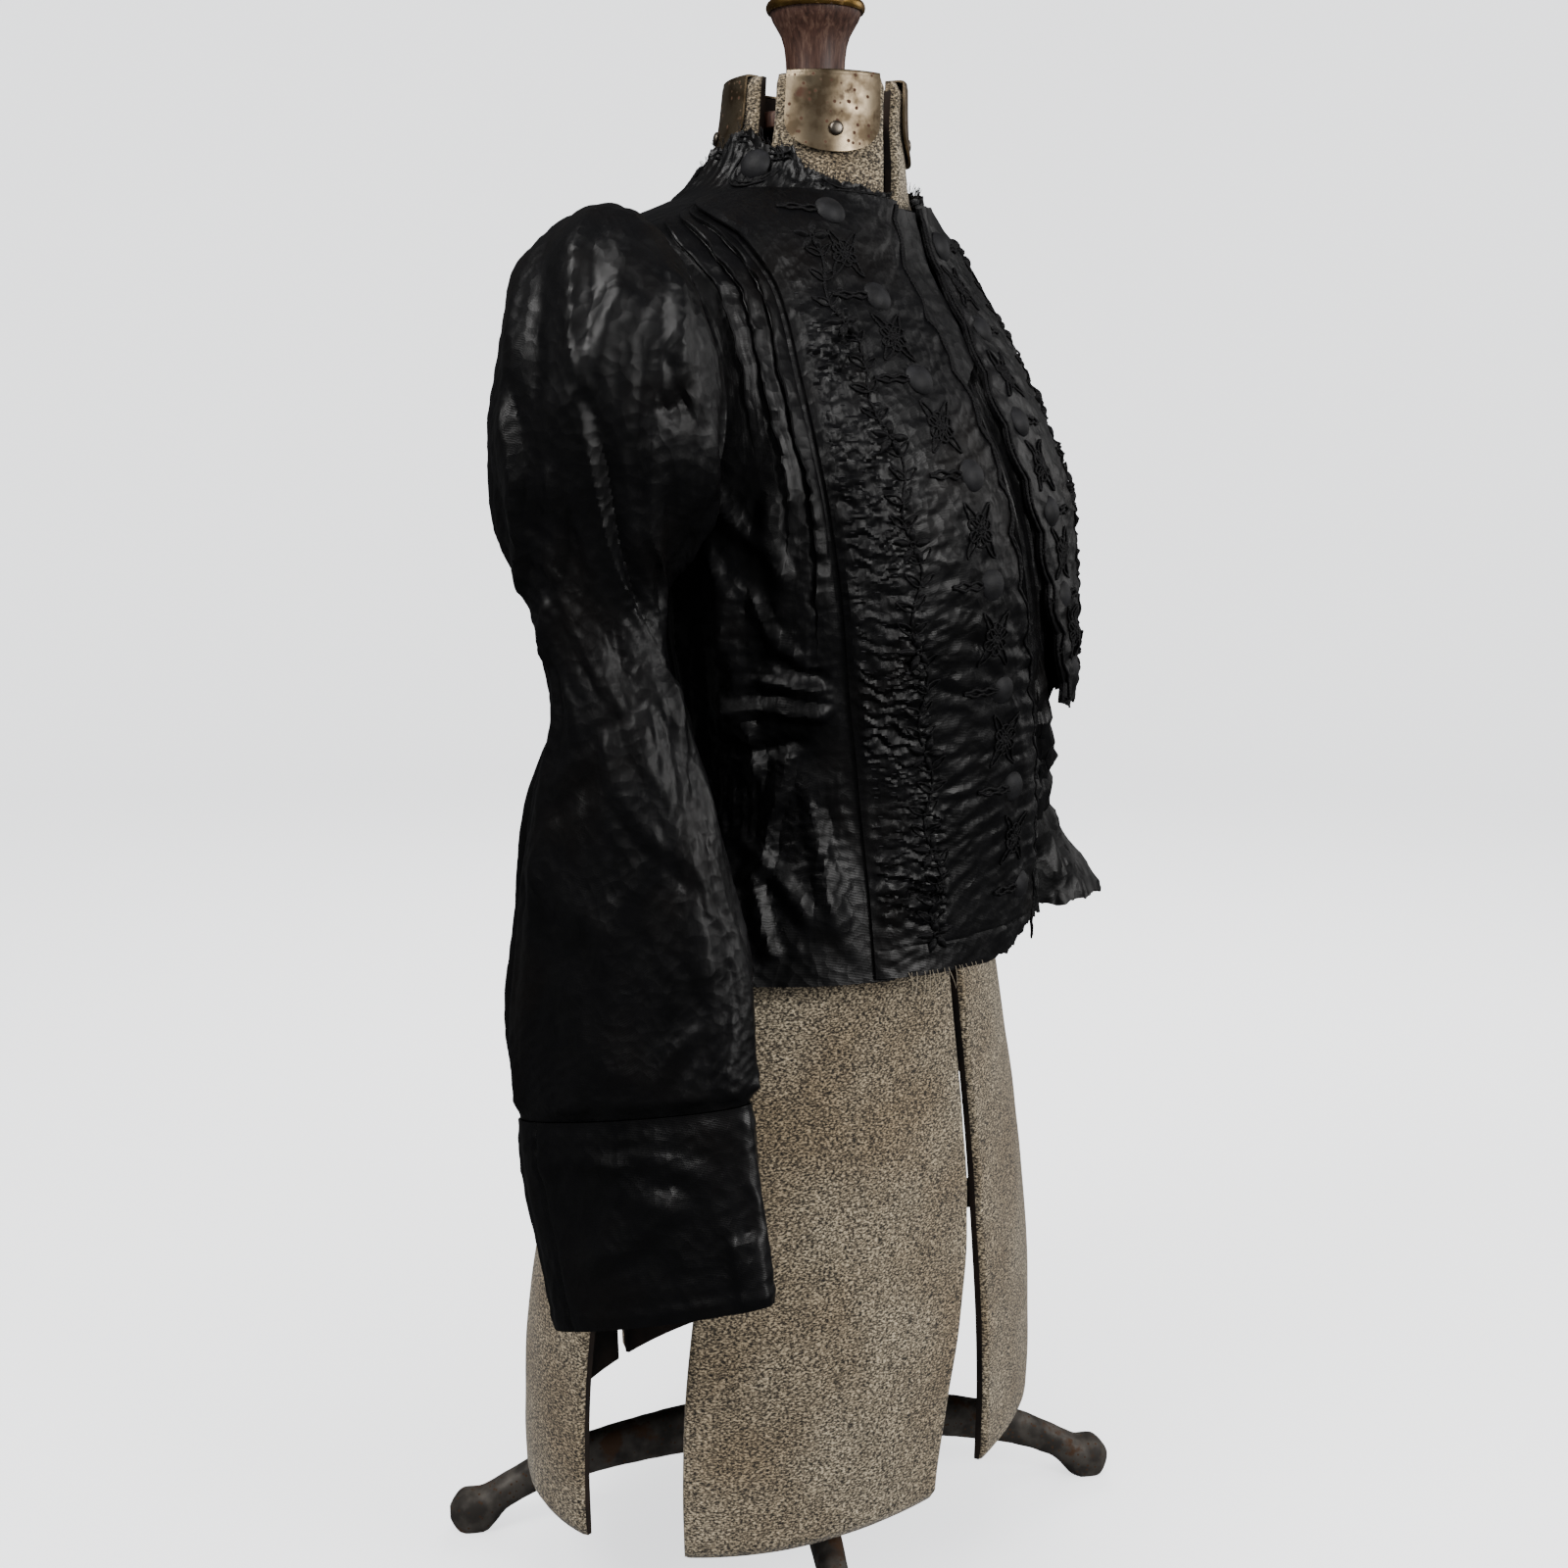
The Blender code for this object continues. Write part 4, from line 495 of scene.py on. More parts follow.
def fold_height(folds: Sequence[BodyFold], degrees: Array, z: Array) -> Array:
    """Return the height that folds of a body panel add.

    Args:
        folds: the folds of the panel.
        degrees: angle from the front, in degrees.
        z: the levels.

    Returns:
        The height at each place.
    """
    here = np.stack([np.radians(degrees) * CHART_RADIUS, z], axis=-1)
    total = np.zeros(np.shape(z))
    for fold in folds:
        start = np.array([math.radians(fold.angle_top) * CHART_RADIUS, fold.z_top])
        span = np.array([math.radians(fold.angle_end) * CHART_RADIUS, fold.z_end]) - start
        share = np.clip(((here - start) @ span) / float(span @ span), 0.0, 1.0)
        distance = np.linalg.norm(here - start - share[..., None] * span, axis=-1)
        total += fold.height * np.exp(-((distance / fold.half_width) ** 2))
    return total


def normals_of(law: SurfaceLaw, u: Array, v: Array, core: Array) -> Array:
    """Return unit normals of law(u, v) that point away from core.

    Args:
        law: the surface, a function of two numbers.
        u: its first number.
        v: its second.
        core: places behind the surface.

    Returns:
        One unit vector for each place.
    """
    across = law(u + 1e-3, v) - law(u - 1e-3, v)
    along = law(u, v + 1e-4) - law(u, v - 1e-4)
    normal = np.cross(across, along)
    normal /= np.maximum(np.linalg.norm(normal, axis=-1, keepdims=True), 1e-12)
    facing = np.sum(normal * (law(u, v) - core), axis=-1, keepdims=True)
    return np.where(facing < 0.0, -normal, normal)


def core_of(z: Array) -> Array:
    """Return places well inside the body at the given levels."""
    z = np.asarray(z, float)
    return np.stack([np.zeros(z.shape), np.full(z.shape, 0.01), z], axis=-1) + NECK


def swell(points: Array, size_mm: float, seed: float) -> Array:
    """Return soft noise from -1 to 1 over points, with swells about size_mm wide.

    Args:
        points: places in the frame.
        size_mm: usual width of a swell or fold.
        seed: of the noise.

    Returns:
        The noise at each place.
    """
    scale = 1000.0 / size_mm
    flat = points.reshape(-1, 3) * scale + seed
    return np.array([noise.noise(Vector(p)) for p in flat]).reshape(points.shape[:-1])


def crease_height(creases: Sequence[Crease], across: Array, along: Array, unit: tuple[float, float]) -> Array:
    """Return the height that crisp creases add, each with two flat faces that fall from its line.

    Args:
        creases: their lines given in the chart's own numbers.
        across: the first chart number of each place.
        along: the second.
        unit: metres for one step of each chart number.

    Returns:
        The height at each place.
    """
    here = np.stack([across * unit[0], along * unit[1]], axis=-1)
    total = np.zeros(np.shape(across))
    for crease in creases:
        line = np.array(crease.line, float) * unit
        steps = np.linalg.norm(np.diff(line, axis=0), axis=1)
        length = float(steps.sum())
        nearest = np.full(total.shape, np.inf)
        height = np.zeros(total.shape)
        before = 0.0
        for start, end, step in zip(line[:-1], line[1:], steps):
            way = (end - start) / step
            apart = here - start
            reach = np.clip(apart @ way, 0.0, step)
            distance = np.linalg.norm(apart - reach[..., None] * way, axis=-1)
            side = way[0] * apart[..., 1] - way[1] * apart[..., 0]
            width = np.where(side > 0.0, crease.near, crease.far) * CREASE_REACH
            share = (before + reach) / length
            fade = ramp(share, 0.0, 0.22) * ramp(1.0 - share, 0.0, 0.22)
            soft = np.sqrt(distance**2 + 7e-7) - 8.4e-4
            found = crease.height * fade * np.clip(1.0 - soft / width, 0.0, 1.03)
            height = np.where(distance < nearest, found, height)
            nearest = np.minimum(nearest, distance)
            before += step
        total += height
    return total


def facets(across: Array, along: Array, size: float, depth: float, seed: int, lean: float = 0.9) -> Array:
    """Return the height of crossing straight folds with flat faces, as thin stiff silk takes.

    Args:
        across: places across the cloth, in metres.
        along: places along it.
        size: usual distance between folds.
        depth: height of the largest.
        seed: of the random folds.
        lean: how far folds turn from the way along, in radians.

    Returns:
        The height at each place.
    """
    draw = np.random.default_rng(seed)
    total = np.zeros(np.broadcast(across, along).shape)
    for layer in range(7):
        turn = draw.uniform(-lean, lean)
        step = size * draw.uniform(0.55, 1.5)
        phases = draw.uniform(0.0, 2.0 * math.pi, 5)
        way = across * math.cos(turn) + along * math.sin(turn)
        side = along * math.cos(turn) - across * math.sin(turn)
        way = way + 0.30 * step * np.sin(side / (2.3 * step) + phases[0])
        way = way + 0.09 * step * np.sin(side / (0.8 * step) + phases[1])
        place = (way / step + phases[2]) % 1.0
        crest = draw.uniform(0.25, 0.75)
        fold = np.where(place < crest, place / crest, (1.0 - place) / (1.0 - crest))
        strength = 0.25 + 1.1 * np.sin(side / (3.1 * step) + phases[3]) * np.sin(way / (2.7 * step) + phases[4])
        total += fold * np.clip(strength, 0.0, 1.0) * (step / size)
    return total * depth


def crinkles(degrees: Array, z: Array, depth_mm: float, seed: int, size_mm: float = 26.0) -> Array:
    """Return the height of the crisp crinkles of a body panel, in three sizes.

    Args:
        degrees: angle from the front, in degrees.
        z: the levels.
        depth_mm: height of the largest.
        seed: of the noise.
        size_mm: usual width of a swell or fold.

    Returns:
        The height at each place.
    """
    across = np.radians(degrees) * CHART_RADIUS
    large = facets(across, z, size_mm / 1000.0, depth_mm / 1000.0, seed)
    small = facets(across, z, size_mm / 2600.0, depth_mm / 3200.0, seed + 50, SMALL_LEAN)
    return large + small + facets(across, z, FINE_CRINKLE, depth_mm / 9000.0, seed + 70, SMALL_LEAN)


@dataclass
class MeshParts:
    """Vertices and faces of several small shapes that become one piece."""

    verts: list[Array] = field(default_factory=list)
    quads: list[Array] = field(default_factory=list)
    count: int = 0

    def add(self, verts: Array, quads: Array) -> None:
        """Add one shape.

        Args:
            verts: its vertices, N x 3.
            quads: its faces, M x 4, a triangle having its last corner twice.
        """
        self.verts.append(np.asarray(verts, float))
        self.quads.append(np.asarray(quads, int) + self.count)
        self.count += len(verts)

    def cord(self, points: Array, normals: Array, width: float, height: float, sides: int = 6) -> None:
        """Add a cord of oval section that lies along points.

        Args:
            points: where the cord's middle runs.
            normals: the way out of what it lies on, for each point.
            width: across the cord, along the surface.
            height: of the cord, out of the surface.
            sides: of its section.
        """
        tangent = np.gradient(points, axis=0)
        tangent /= np.maximum(np.linalg.norm(tangent, axis=1, keepdims=True), 1e-12)
        across = np.cross(tangent, normals)
        across /= np.maximum(np.linalg.norm(across, axis=1, keepdims=True), 1e-12)
        out = np.cross(across, tangent)
        turns = 2.0 * math.pi * np.arange(sides) / sides
        rings = points[:, None] + across[:, None] * (np.cos(turns) * width / 2)[None, :, None]
        rings = rings + out[:, None] * (np.sin(turns) * height / 2)[None, :, None]
        count = len(points)
        index = np.arange(count * sides).reshape(count, sides)
        after = np.roll(index, -1, axis=1)
        quads = np.stack([index[:-1], after[:-1], after[1:], index[1:]], axis=-1).reshape(-1, 4)
        caps = [[index[0, 0], index[0, k + 1], index[0, k], index[0, k]] for k in range(1, sides - 1)]
        caps += [[index[-1, 0], index[-1, k], index[-1, k + 1], index[-1, k + 1]] for k in range(1, sides - 1)]
        self.add(rings.reshape(-1, 3), np.concatenate([quads, np.array(caps)]))

    def leaf(self, place: Array, along: Array, normal: Array, length: float, width: float, height: float) -> None:
        """Add one raised leaf of satin stitch.

        Args:
            place: its root.
            along: unit vector from root to tip.
            normal: the way out of the cloth.
            length: from root to tip.
            width: across its middle.
            height: of its ridge.
        """
        across = np.cross(normal, along)
        stations = np.linspace(0.0, 1.0, 6)
        half = 0.5 * width * np.sin(math.pi * stations**0.8)
        rise = height * np.sin(math.pi * stations) ** 0.6
        rows = []
        for share, part in ((-1.0, 0.0), (-0.6, 0.75), (0.0, 1.0), (0.6, 0.75), (1.0, 0.0)):
            spine = place + along * (stations * length)[:, None]
            rows.append(spine + across * (half * share)[:, None] + normal * (rise * part)[:, None])
        points = np.stack(rows)
        index = np.arange(points.shape[0] * points.shape[1]).reshape(points.shape[:2])
        quads = np.stack([index[:-1, :-1], index[:-1, 1:], index[1:, 1:], index[1:, :-1]], axis=-1)
        self.add(points.reshape(-1, 3), quads.reshape(-1, 4)[:, ::-1])

    def make(self, name: str, material: bpy.types.Material) -> bpy.types.Object:
        """Return the piece made of all that was added.

        Args:
            name: of the piece.
            material: its finish.

        Returns:
            The piece.
        """
        verts = np.concatenate(self.verts)
        quads = np.concatenate(self.quads)
        faces = [tuple(dict.fromkeys(face)) for face in quads.tolist()]
        return new_piece(name, verts, faces, material)


def new_piece(
    name: str,
    verts: Array,
    faces: list,
    material: bpy.types.Material,
    uv: Array | None = None,
    sharp_degrees: float | None = None,
) -> bpy.types.Object:
    """Make one shaded mesh object.

    Args:
        name: of the piece.
        verts: its vertices, N x 3.
        faces: its faces, lists of vertex numbers.
        material: its finish.
        uv: a place on the flat cloth, in metres, for each corner of each face in order.
        sharp_degrees: edges sharper than this are shaded sharp.

    Returns:
        The object.
    """
    mesh = bpy.data.meshes.new(name)
    mesh.from_pydata(verts.tolist(), [], faces)
    mesh.update()
    mesh.shade_smooth()
    if sharp_degrees is not None:
        mesh.set_sharp_from_angle(angle=math.radians(sharp_degrees))
    if uv is not None:
        layer = mesh.uv_layers.new(name="cloth")
        layer.data.foreach_set("uv", uv.astype(np.float32).ravel())
    mesh.materials.append(material)
    obj = bpy.data.objects.new(name, mesh)
    bpy.context.scene.collection.objects.link(obj)
    return obj


def shell_piece(
    name: str,
    outer: Array,
    inner: Array,
    uv: Array,
    material: bpy.types.Material,
    ring: bool = False,
    sharp_degrees: float | None = 50.0,
) -> bpy.types.Object:
    """Make one closed thin wall between two grids.

    Args:
        name: of the piece.
        outer: rows x columns x 3, its outer face.
        inner: the same for its inner face.
        uv: rows x columns (x columns + 1 for a ring) x 2, places on the flat cloth in metres.
        material: its finish.
        ring: whether the columns close on themselves.
        sharp_degrees: edges sharper than this are shaded sharp.

    Returns:
        The object.
    """
    rows, columns = outer.shape[:2]
    index = np.arange(rows * columns).reshape(rows, columns)
    spread = np.concatenate([index, index[:, :1]], axis=1) if ring else index
    flat = np.arange(uv.shape[0] * uv.shape[1]).reshape(uv.shape[:2])

    def cells(grid: Array) -> Array:
        """Return the corners of each cell of a grid of numbers."""
        return np.stack([grid[:-1, :-1], grid[:-1, 1:], grid[1:, 1:], grid[1:, :-1]], axis=-1).reshape(-1, 4)

    quads = cells(spread)
    corners = cells(flat)
    sample = quads[len(quads) // 2]
    points = outer.reshape(-1, 3)
    facing = np.cross(points[sample[2]] - points[sample[0]], points[sample[3]] - points[sample[1]])
    way_out = outer.reshape(-1, 3)[sample[0]] - inner.reshape(-1, 3)[sample[0]]
    if float(facing @ way_out) < 0.0:
        quads = quads[:, ::-1]
        corners = corners[:, ::-1]
    far = rows * columns
    faces = [quads, quads[:, ::-1] + far]
    places = [corners, corners[:, ::-1]]
    edges = [(spread[0], flat[0], True), (spread[-1], flat[-1], False)]
    if not ring:
        edges += [(index[:, 0], flat[:, 0], False), (index[:, -1], flat[:, -1], True)]
    for line, place, ahead in edges:
        rim = np.stack([line[:-1], line[:-1] + far, line[1:] + far, line[1:]], axis=-1)
        where = np.stack([place[:-1], place[:-1], place[1:], place[1:]], axis=-1)
        turned_over = ahead == (float(facing @ way_out) < 0.0)
        faces.append(rim[:, ::-1] if turned_over else rim)
        places.append(where[:, ::-1] if turned_over else where)
    faces = np.concatenate(faces)
    places = np.concatenate(places).ravel()
    verts = np.concatenate([outer.reshape(-1, 3), inner.reshape(-1, 3)])
    return new_piece(name, verts, faces.tolist(), material, uv.reshape(-1, 2)[places], sharp_degrees)


def flat_places(points: Array, ring: bool = False) -> Array:
    """Return where each point of a grid lies on the flat cloth, in metres.

    Args:
        points: places in the frame.
        ring: whether the columns close on themselves.

    Returns:
        Two numbers for each point.
    """
    if ring:
        points = np.concatenate([points, points[:, :1]], axis=1)
    across = np.linalg.norm(np.diff(points, axis=1), axis=-1)
    u = np.concatenate([np.zeros((len(points), 1)), np.cumsum(across, axis=1)], axis=1)
    u -= u[:, u.shape[1] // 2][:, None]
    along = np.linalg.norm(np.diff(points, axis=0), axis=-1)
    v = np.concatenate([np.zeros((1, points.shape[1])), np.cumsum(along, axis=0)], axis=0)
    return np.stack([u, v], axis=-1)


def turned_piece(
    name: str,
    profile: Sequence[Profile],
    material: bpy.types.Material,
    axis_point: Array,
    axis: Array,
    segments: int = 48,
    closed: bool = False,
) -> bpy.types.Object:
    """Make a turned piece.

    Args:
        name: of the piece.
        profile: its steps from one end to the other, or round its outline if closed.
        material: its finish.
        axis_point: where z is 0 on its axis.
        axis: its direction.
        segments: round it.
        closed: whether the profile is a closed outline off the axis.

    Returns:
        The object.
    """
    up = np.asarray(axis, float) / np.linalg.norm(axis)
    guide = np.array([0.0, 0.0, 1.0]) if abs(up[2]) < 0.9 else np.array([1.0, 0.0, 0.0])
    side = np.cross(guide, up)
    side /= np.linalg.norm(side)
    third = np.cross(up, side)
    turns = 2.0 * math.pi * np.arange(segments) / segments
    arms = side * np.cos(turns)[:, None] + third * np.sin(turns)[:, None]
    verts = np.array([np.asarray(axis_point) + arms * row.radius + up * row.z for row in profile])
    count = len(profile)
    index = np.arange(count * segments).reshape(count, segments)
    spread = np.concatenate([index, index[:, :1]], axis=1)
    if closed:
        spread = np.concatenate([spread, spread[:1]], axis=0)
    quads = np.stack([spread[:-1, :-1], spread[:-1, 1:], spread[1:, 1:], spread[1:, :-1]], axis=-1)
    faces = quads.reshape(-1, 4).tolist()
    if not closed:
        faces += [index[0, ::-1].tolist(), index[-1].tolist()]
    return new_piece(name, verts.reshape(-1, 3), faces, material, sharp_degrees=35.0)


def linear(hex_colour: str) -> tuple[float, float, float, float]:
    """Return an sRGB hex colour as linear red, green, blue and alpha.

    Args:
        hex_colour: an sRGB colour such as #aabbcc.

    Returns:
        Red, green, blue and alpha.
    """
    parts = [int(hex_colour[k : k + 2], 16) / 255.0 for k in (1, 3, 5)]
    red, green, blue = [c / 12.92 if c <= 0.04045 else ((c + 0.055) / 1.055) ** 2.4 for c in parts]
    return red, green, blue, 1.0


def add_node(
    tree: bpy.types.NodeTree, kind: str, values: dict | None = None, links: dict | None = None, **settings: object
) -> bpy.types.Node:
    """Add one node.

    Args:
        tree: where it goes.
        kind: Blender's name of the node.
        values: socket values by name or number.
        links: output sockets by the name or number of the input that each feeds.
        settings: the node's own settings.

    Returns:
        The node.
    """
    node = tree.nodes.new(kind)
    for name, value in settings.items():
        setattr(node, name, value)
    for name, value in (values or {}).items():
        node.inputs[name].default_value = value
    for name, socket in (links or {}).items():
        tree.links.new(socket, node.inputs[name])
    return node


def set_stops(node: bpy.types.Node, stops: Sequence[tuple[float, str]]) -> bpy.types.NodeSocket:
    """Give a colour ramp its stops and return its colour socket.

    Args:
        node: the colour ramp.
        stops: its places and colours.

    Returns:
        The ramp's colour socket.
    """
    elements = node.color_ramp.elements
    while len(elements) > 1:
        elements.remove(elements[-1])
    elements[0].position = stops[0][0]
    elements[0].color = linear(stops[0][1])
    for place, colour in stops[1:]:
        elements.new(place).color = linear(colour)
    return node.outputs["Color"]


def blank_material(name: str) -> tuple[bpy.types.Material, bpy.types.NodeTree, bpy.types.Node]:
    """Return a new material, its tree and its Principled shader.

    Args:
        name: of the material.

    Returns:
        The material, its tree and its shader.
    """
    material = bpy.data.materials.new(name)
    material.use_nodes = True
    return material, material.node_tree, material.node_tree.nodes["Principled BSDF"]


def per_mm(size_mm: float) -> float:
    """Return the texture scale that makes a pattern of the given size on metre coordinates."""
    return 1000.0 / size_mm


@dataclass(frozen=True)
class Taffeta:
    """Black silk taffeta, tightly woven with a fine cross rib that breaks light into soft crisp creases."""

    name: str = "black_silk_taffeta"
    deep: str = "#020203"
    worn: str = "#08080a"
    brown: str = "#0b0807"
    roughness: tuple[float, float] = (0.36, 0.48)
    # Drawn three times coarser than the real 0.3 mm rib, which would not show
    rib_mm: float = 0.9
    crinkle_mm: float = 7.0
    crinkle_depth: float = 0.0016
    crinkle_strength: float = 0.34

    def material(self) -> bpy.types.Material:
        """Return the material."""
        material, tree, shader = blank_material(self.name)
        place = add_node(tree, "ShaderNodeTexCoord").outputs["Object"]
        cloth = add_node(tree, "ShaderNodeUVMap", uv_map="cloth").outputs["UV"]
        cloud = add_node(tree, "ShaderNodeTexNoise", {"Scale": per_mm(60.0), "Detail": 5.0}, {"Vector": place})
        tone = set_stops(
            add_node(tree, "ShaderNodeValToRGB", links={"Fac": cloud.outputs["Fac"]}),
            [(0.30, self.deep), (0.52, self.worn), (0.75, self.brown)],
        )
        sheen_cloud = add_node(tree, "ShaderNodeTexNoise", {"Scale": per_mm(14.0), "Detail": 3.0}, {"Vector": place})
        rough = add_node(
            tree,
            "ShaderNodeMapRange",
            {"From Min": 0.3, "From Max": 0.7, "To Min": self.roughness[0], "To Max": self.roughness[1]},
            {"Value": sheen_cloud.outputs["Fac"]},
        )
        rib = add_node(
            tree,
            "ShaderNodeTexWave",
            {"Scale": per_mm(self.rib_mm) / 6.2832 * 2.0, "Distortion": 0.6, "Detail Scale": 2.0},
            {"Vector": cloth},
            bands_direction="Y",
        )
        warp = add_node(tree, "ShaderNodeTexNoise", {"Scale": per_mm(self.crinkle_mm * 2.2)}, {"Vector": place})
        bent = add_node(
            tree,
            "ShaderNodeVectorMath",
            {"Scale": self.crinkle_mm / 1000.0},
            {0: warp.outputs["Color"]},
            operation="SCALE",
        )
        moved = add_node(
            tree, "ShaderNodeVectorMath", links={0: place, 1: bent.outputs["Vector"]}, operation="ADD"
        )
        crease = add_node(
            tree, "ShaderNodeTexVoronoi", {"Scale": per_mm(self.crinkle_mm)}, {"Vector": moved.outputs["Vector"]}
        )
        crinkle = add_node(
            tree,
            "ShaderNodeBump",
            {"Strength": self.crinkle_strength, "Distance": self.crinkle_depth},
            {"Height": crease.outputs["Distance"]},
        )
        weave = add_node(
            tree,
            "ShaderNodeBump",
            {"Strength": 0.25, "Distance": 0.0002},
            {"Height": rib.outputs["Fac"], "Normal": crinkle.outputs["Normal"]},
        )
        tree.links.new(tone, shader.inputs["Base Color"])
        tree.links.new(rough.outputs["Result"], shader.inputs["Roughness"])
        tree.links.new(weave.outputs["Normal"], shader.inputs["Normal"])
        shader.inputs["Specular IOR Level"].default_value = 0.38
        return material


@dataclass(frozen=True)
class SilkCord:
    """Black silk embroidery cord, twisted, duller than the taffeta that it lies on."""

    name: str = "black_silk_cord"
    colour: str = "#050506"
    lit: str = "#0f0e11"
    twist_mm: float = 1.6

    def material(self) -> bpy.types.Material:
        """Return the material."""
        material, tree, shader = blank_material(self.name)
        place = add_node(tree, "ShaderNodeTexCoord").outputs["Object"]
        strand = add_node(
            tree,
            "ShaderNodeTexWave",
            {"Scale": per_mm(self.twist_mm) / 6.2832 * 2.0, "Distortion": 1.5, "Detail": 1.0},
            {"Vector": place},
            bands_direction="DIAGONAL",
        )
        tone = set_stops(
            add_node(tree, "ShaderNodeValToRGB", links={"Fac": strand.outputs["Fac"]}),
            [(0.2, self.colour), (0.9, self.lit)],
        )
        bump = add_node(
            tree, "ShaderNodeBump", {"Strength": 0.6, "Distance": 0.0004}, {"Height": strand.outputs["Fac"]}
        )
        tree.links.new(tone, shader.inputs["Base Color"])
        tree.links.new(bump.outputs["Normal"], shader.inputs["Normal"])
        shader.inputs["Roughness"].default_value = 0.62
        shader.inputs["Specular IOR Level"].default_value = 0.25
        return material


@dataclass(frozen=True)
class ButtonCloth:
    """Dull black cloth stretched over a domed mould, with a fine even weave."""

    name: str = "black_covered_button"
    colour: str = "#101012"
    worn: str = "#1e1e21"
    weave_mm: float = 0.9

    def material(self) -> bpy.types.Material:
        """Return the material."""
        material, tree, shader = blank_material(self.name)
        place = add_node(tree, "ShaderNodeTexCoord").outputs["Object"]
        grain = add_node(tree, "ShaderNodeTexVoronoi", {"Scale": per_mm(self.weave_mm)}, {"Vector": place})
        cloud = add_node(tree, "ShaderNodeTexNoise", {"Scale": per_mm(7.0), "Detail": 3.0}, {"Vector": place})
        tone = set_stops(
            add_node(tree, "ShaderNodeValToRGB", links={"Fac": cloud.outputs["Fac"]}),
            [(0.35, self.colour), (0.70, self.worn)],
        )
        bump = add_node(
            tree, "ShaderNodeBump", {"Strength": 0.35, "Distance": 0.0002}, {"Height": grain.outputs["Distance"]}
        )
        tree.links.new(tone, shader.inputs["Base Color"])
        tree.links.new(bump.outputs["Normal"], shader.inputs["Normal"])
        shader.inputs["Roughness"].default_value = 0.62
        shader.inputs["Specular IOR Level"].default_value = 0.40
        return material


@dataclass(frozen=True)
class Jersey:
    """Heathered wool jersey: pale, taupe and near-black fibres in short level flecks over a fine knit."""

    name: str = "heathered_jersey"
    stops: tuple[tuple[float, str], ...] = (
        (0.33, "#191713"),
        (0.44, "#4f483d"),
        (0.53, "#877c68"),
        (0.66, "#d6c6a8"),
    )
    fleck_mm: float = 0.95
    knit_mm: float = 1.1

    def material(self) -> bpy.types.Material:
        """Return the material."""
        material, tree, shader = blank_material(self.name)
        cloth = add_node(tree, "ShaderNodeTexCoord").outputs["Object"]
        flat = add_node(tree, "ShaderNodeMapping", {"Scale": (0.52, 0.52, 1.0)}, {"Vector": cloth})
        fleck = add_node(
            tree,
            "ShaderNodeTexNoise",
            {"Scale": per_mm(self.fleck_mm), "Detail": 2.0, "Roughness": 0.6},
            {"Vector": flat.outputs["Vector"]},
        )
        tone = set_stops(add_node(tree, "ShaderNodeValToRGB", links={"Fac": fleck.outputs["Fac"]}), self.stops)
        soil = add_node(tree, "ShaderNodeTexNoise", {"Scale": per_mm(70.0), "Detail": 4.0}, {"Vector": cloth})
        shade = set_stops(
            add_node(tree, "ShaderNodeValToRGB", links={"Fac": soil.outputs["Fac"]}),
            [(0.35, "#d8d0c6"), (0.65, "#ffffff")],
        )
        mixed = add_node(
            tree,
            "ShaderNodeMix",
            {"Factor": 1.0},
            {"A": tone, "B": shade},
            data_type="RGBA",
            blend_type="MULTIPLY",
        )
        loops = add_node(
            tree,
            "ShaderNodeTexVoronoi",
            {"Scale": per_mm(self.knit_mm), "Randomness": 0.6},
            {"Vector": flat.outputs["Vector"]},
        )
        bump = add_node(
            tree, "ShaderNodeBump", {"Strength": 0.5, "Distance": 0.0005}, {"Height": loops.outputs["Distance"]}
        )
        tree.links.new(mixed.outputs["Result"], shader.inputs["Base Color"])
        tree.links.new(bump.outputs["Normal"], shader.inputs["Normal"])
        shader.inputs["Roughness"].default_value = 0.93
        shader.inputs["Sheen Weight"].default_value = 0.12
        return material


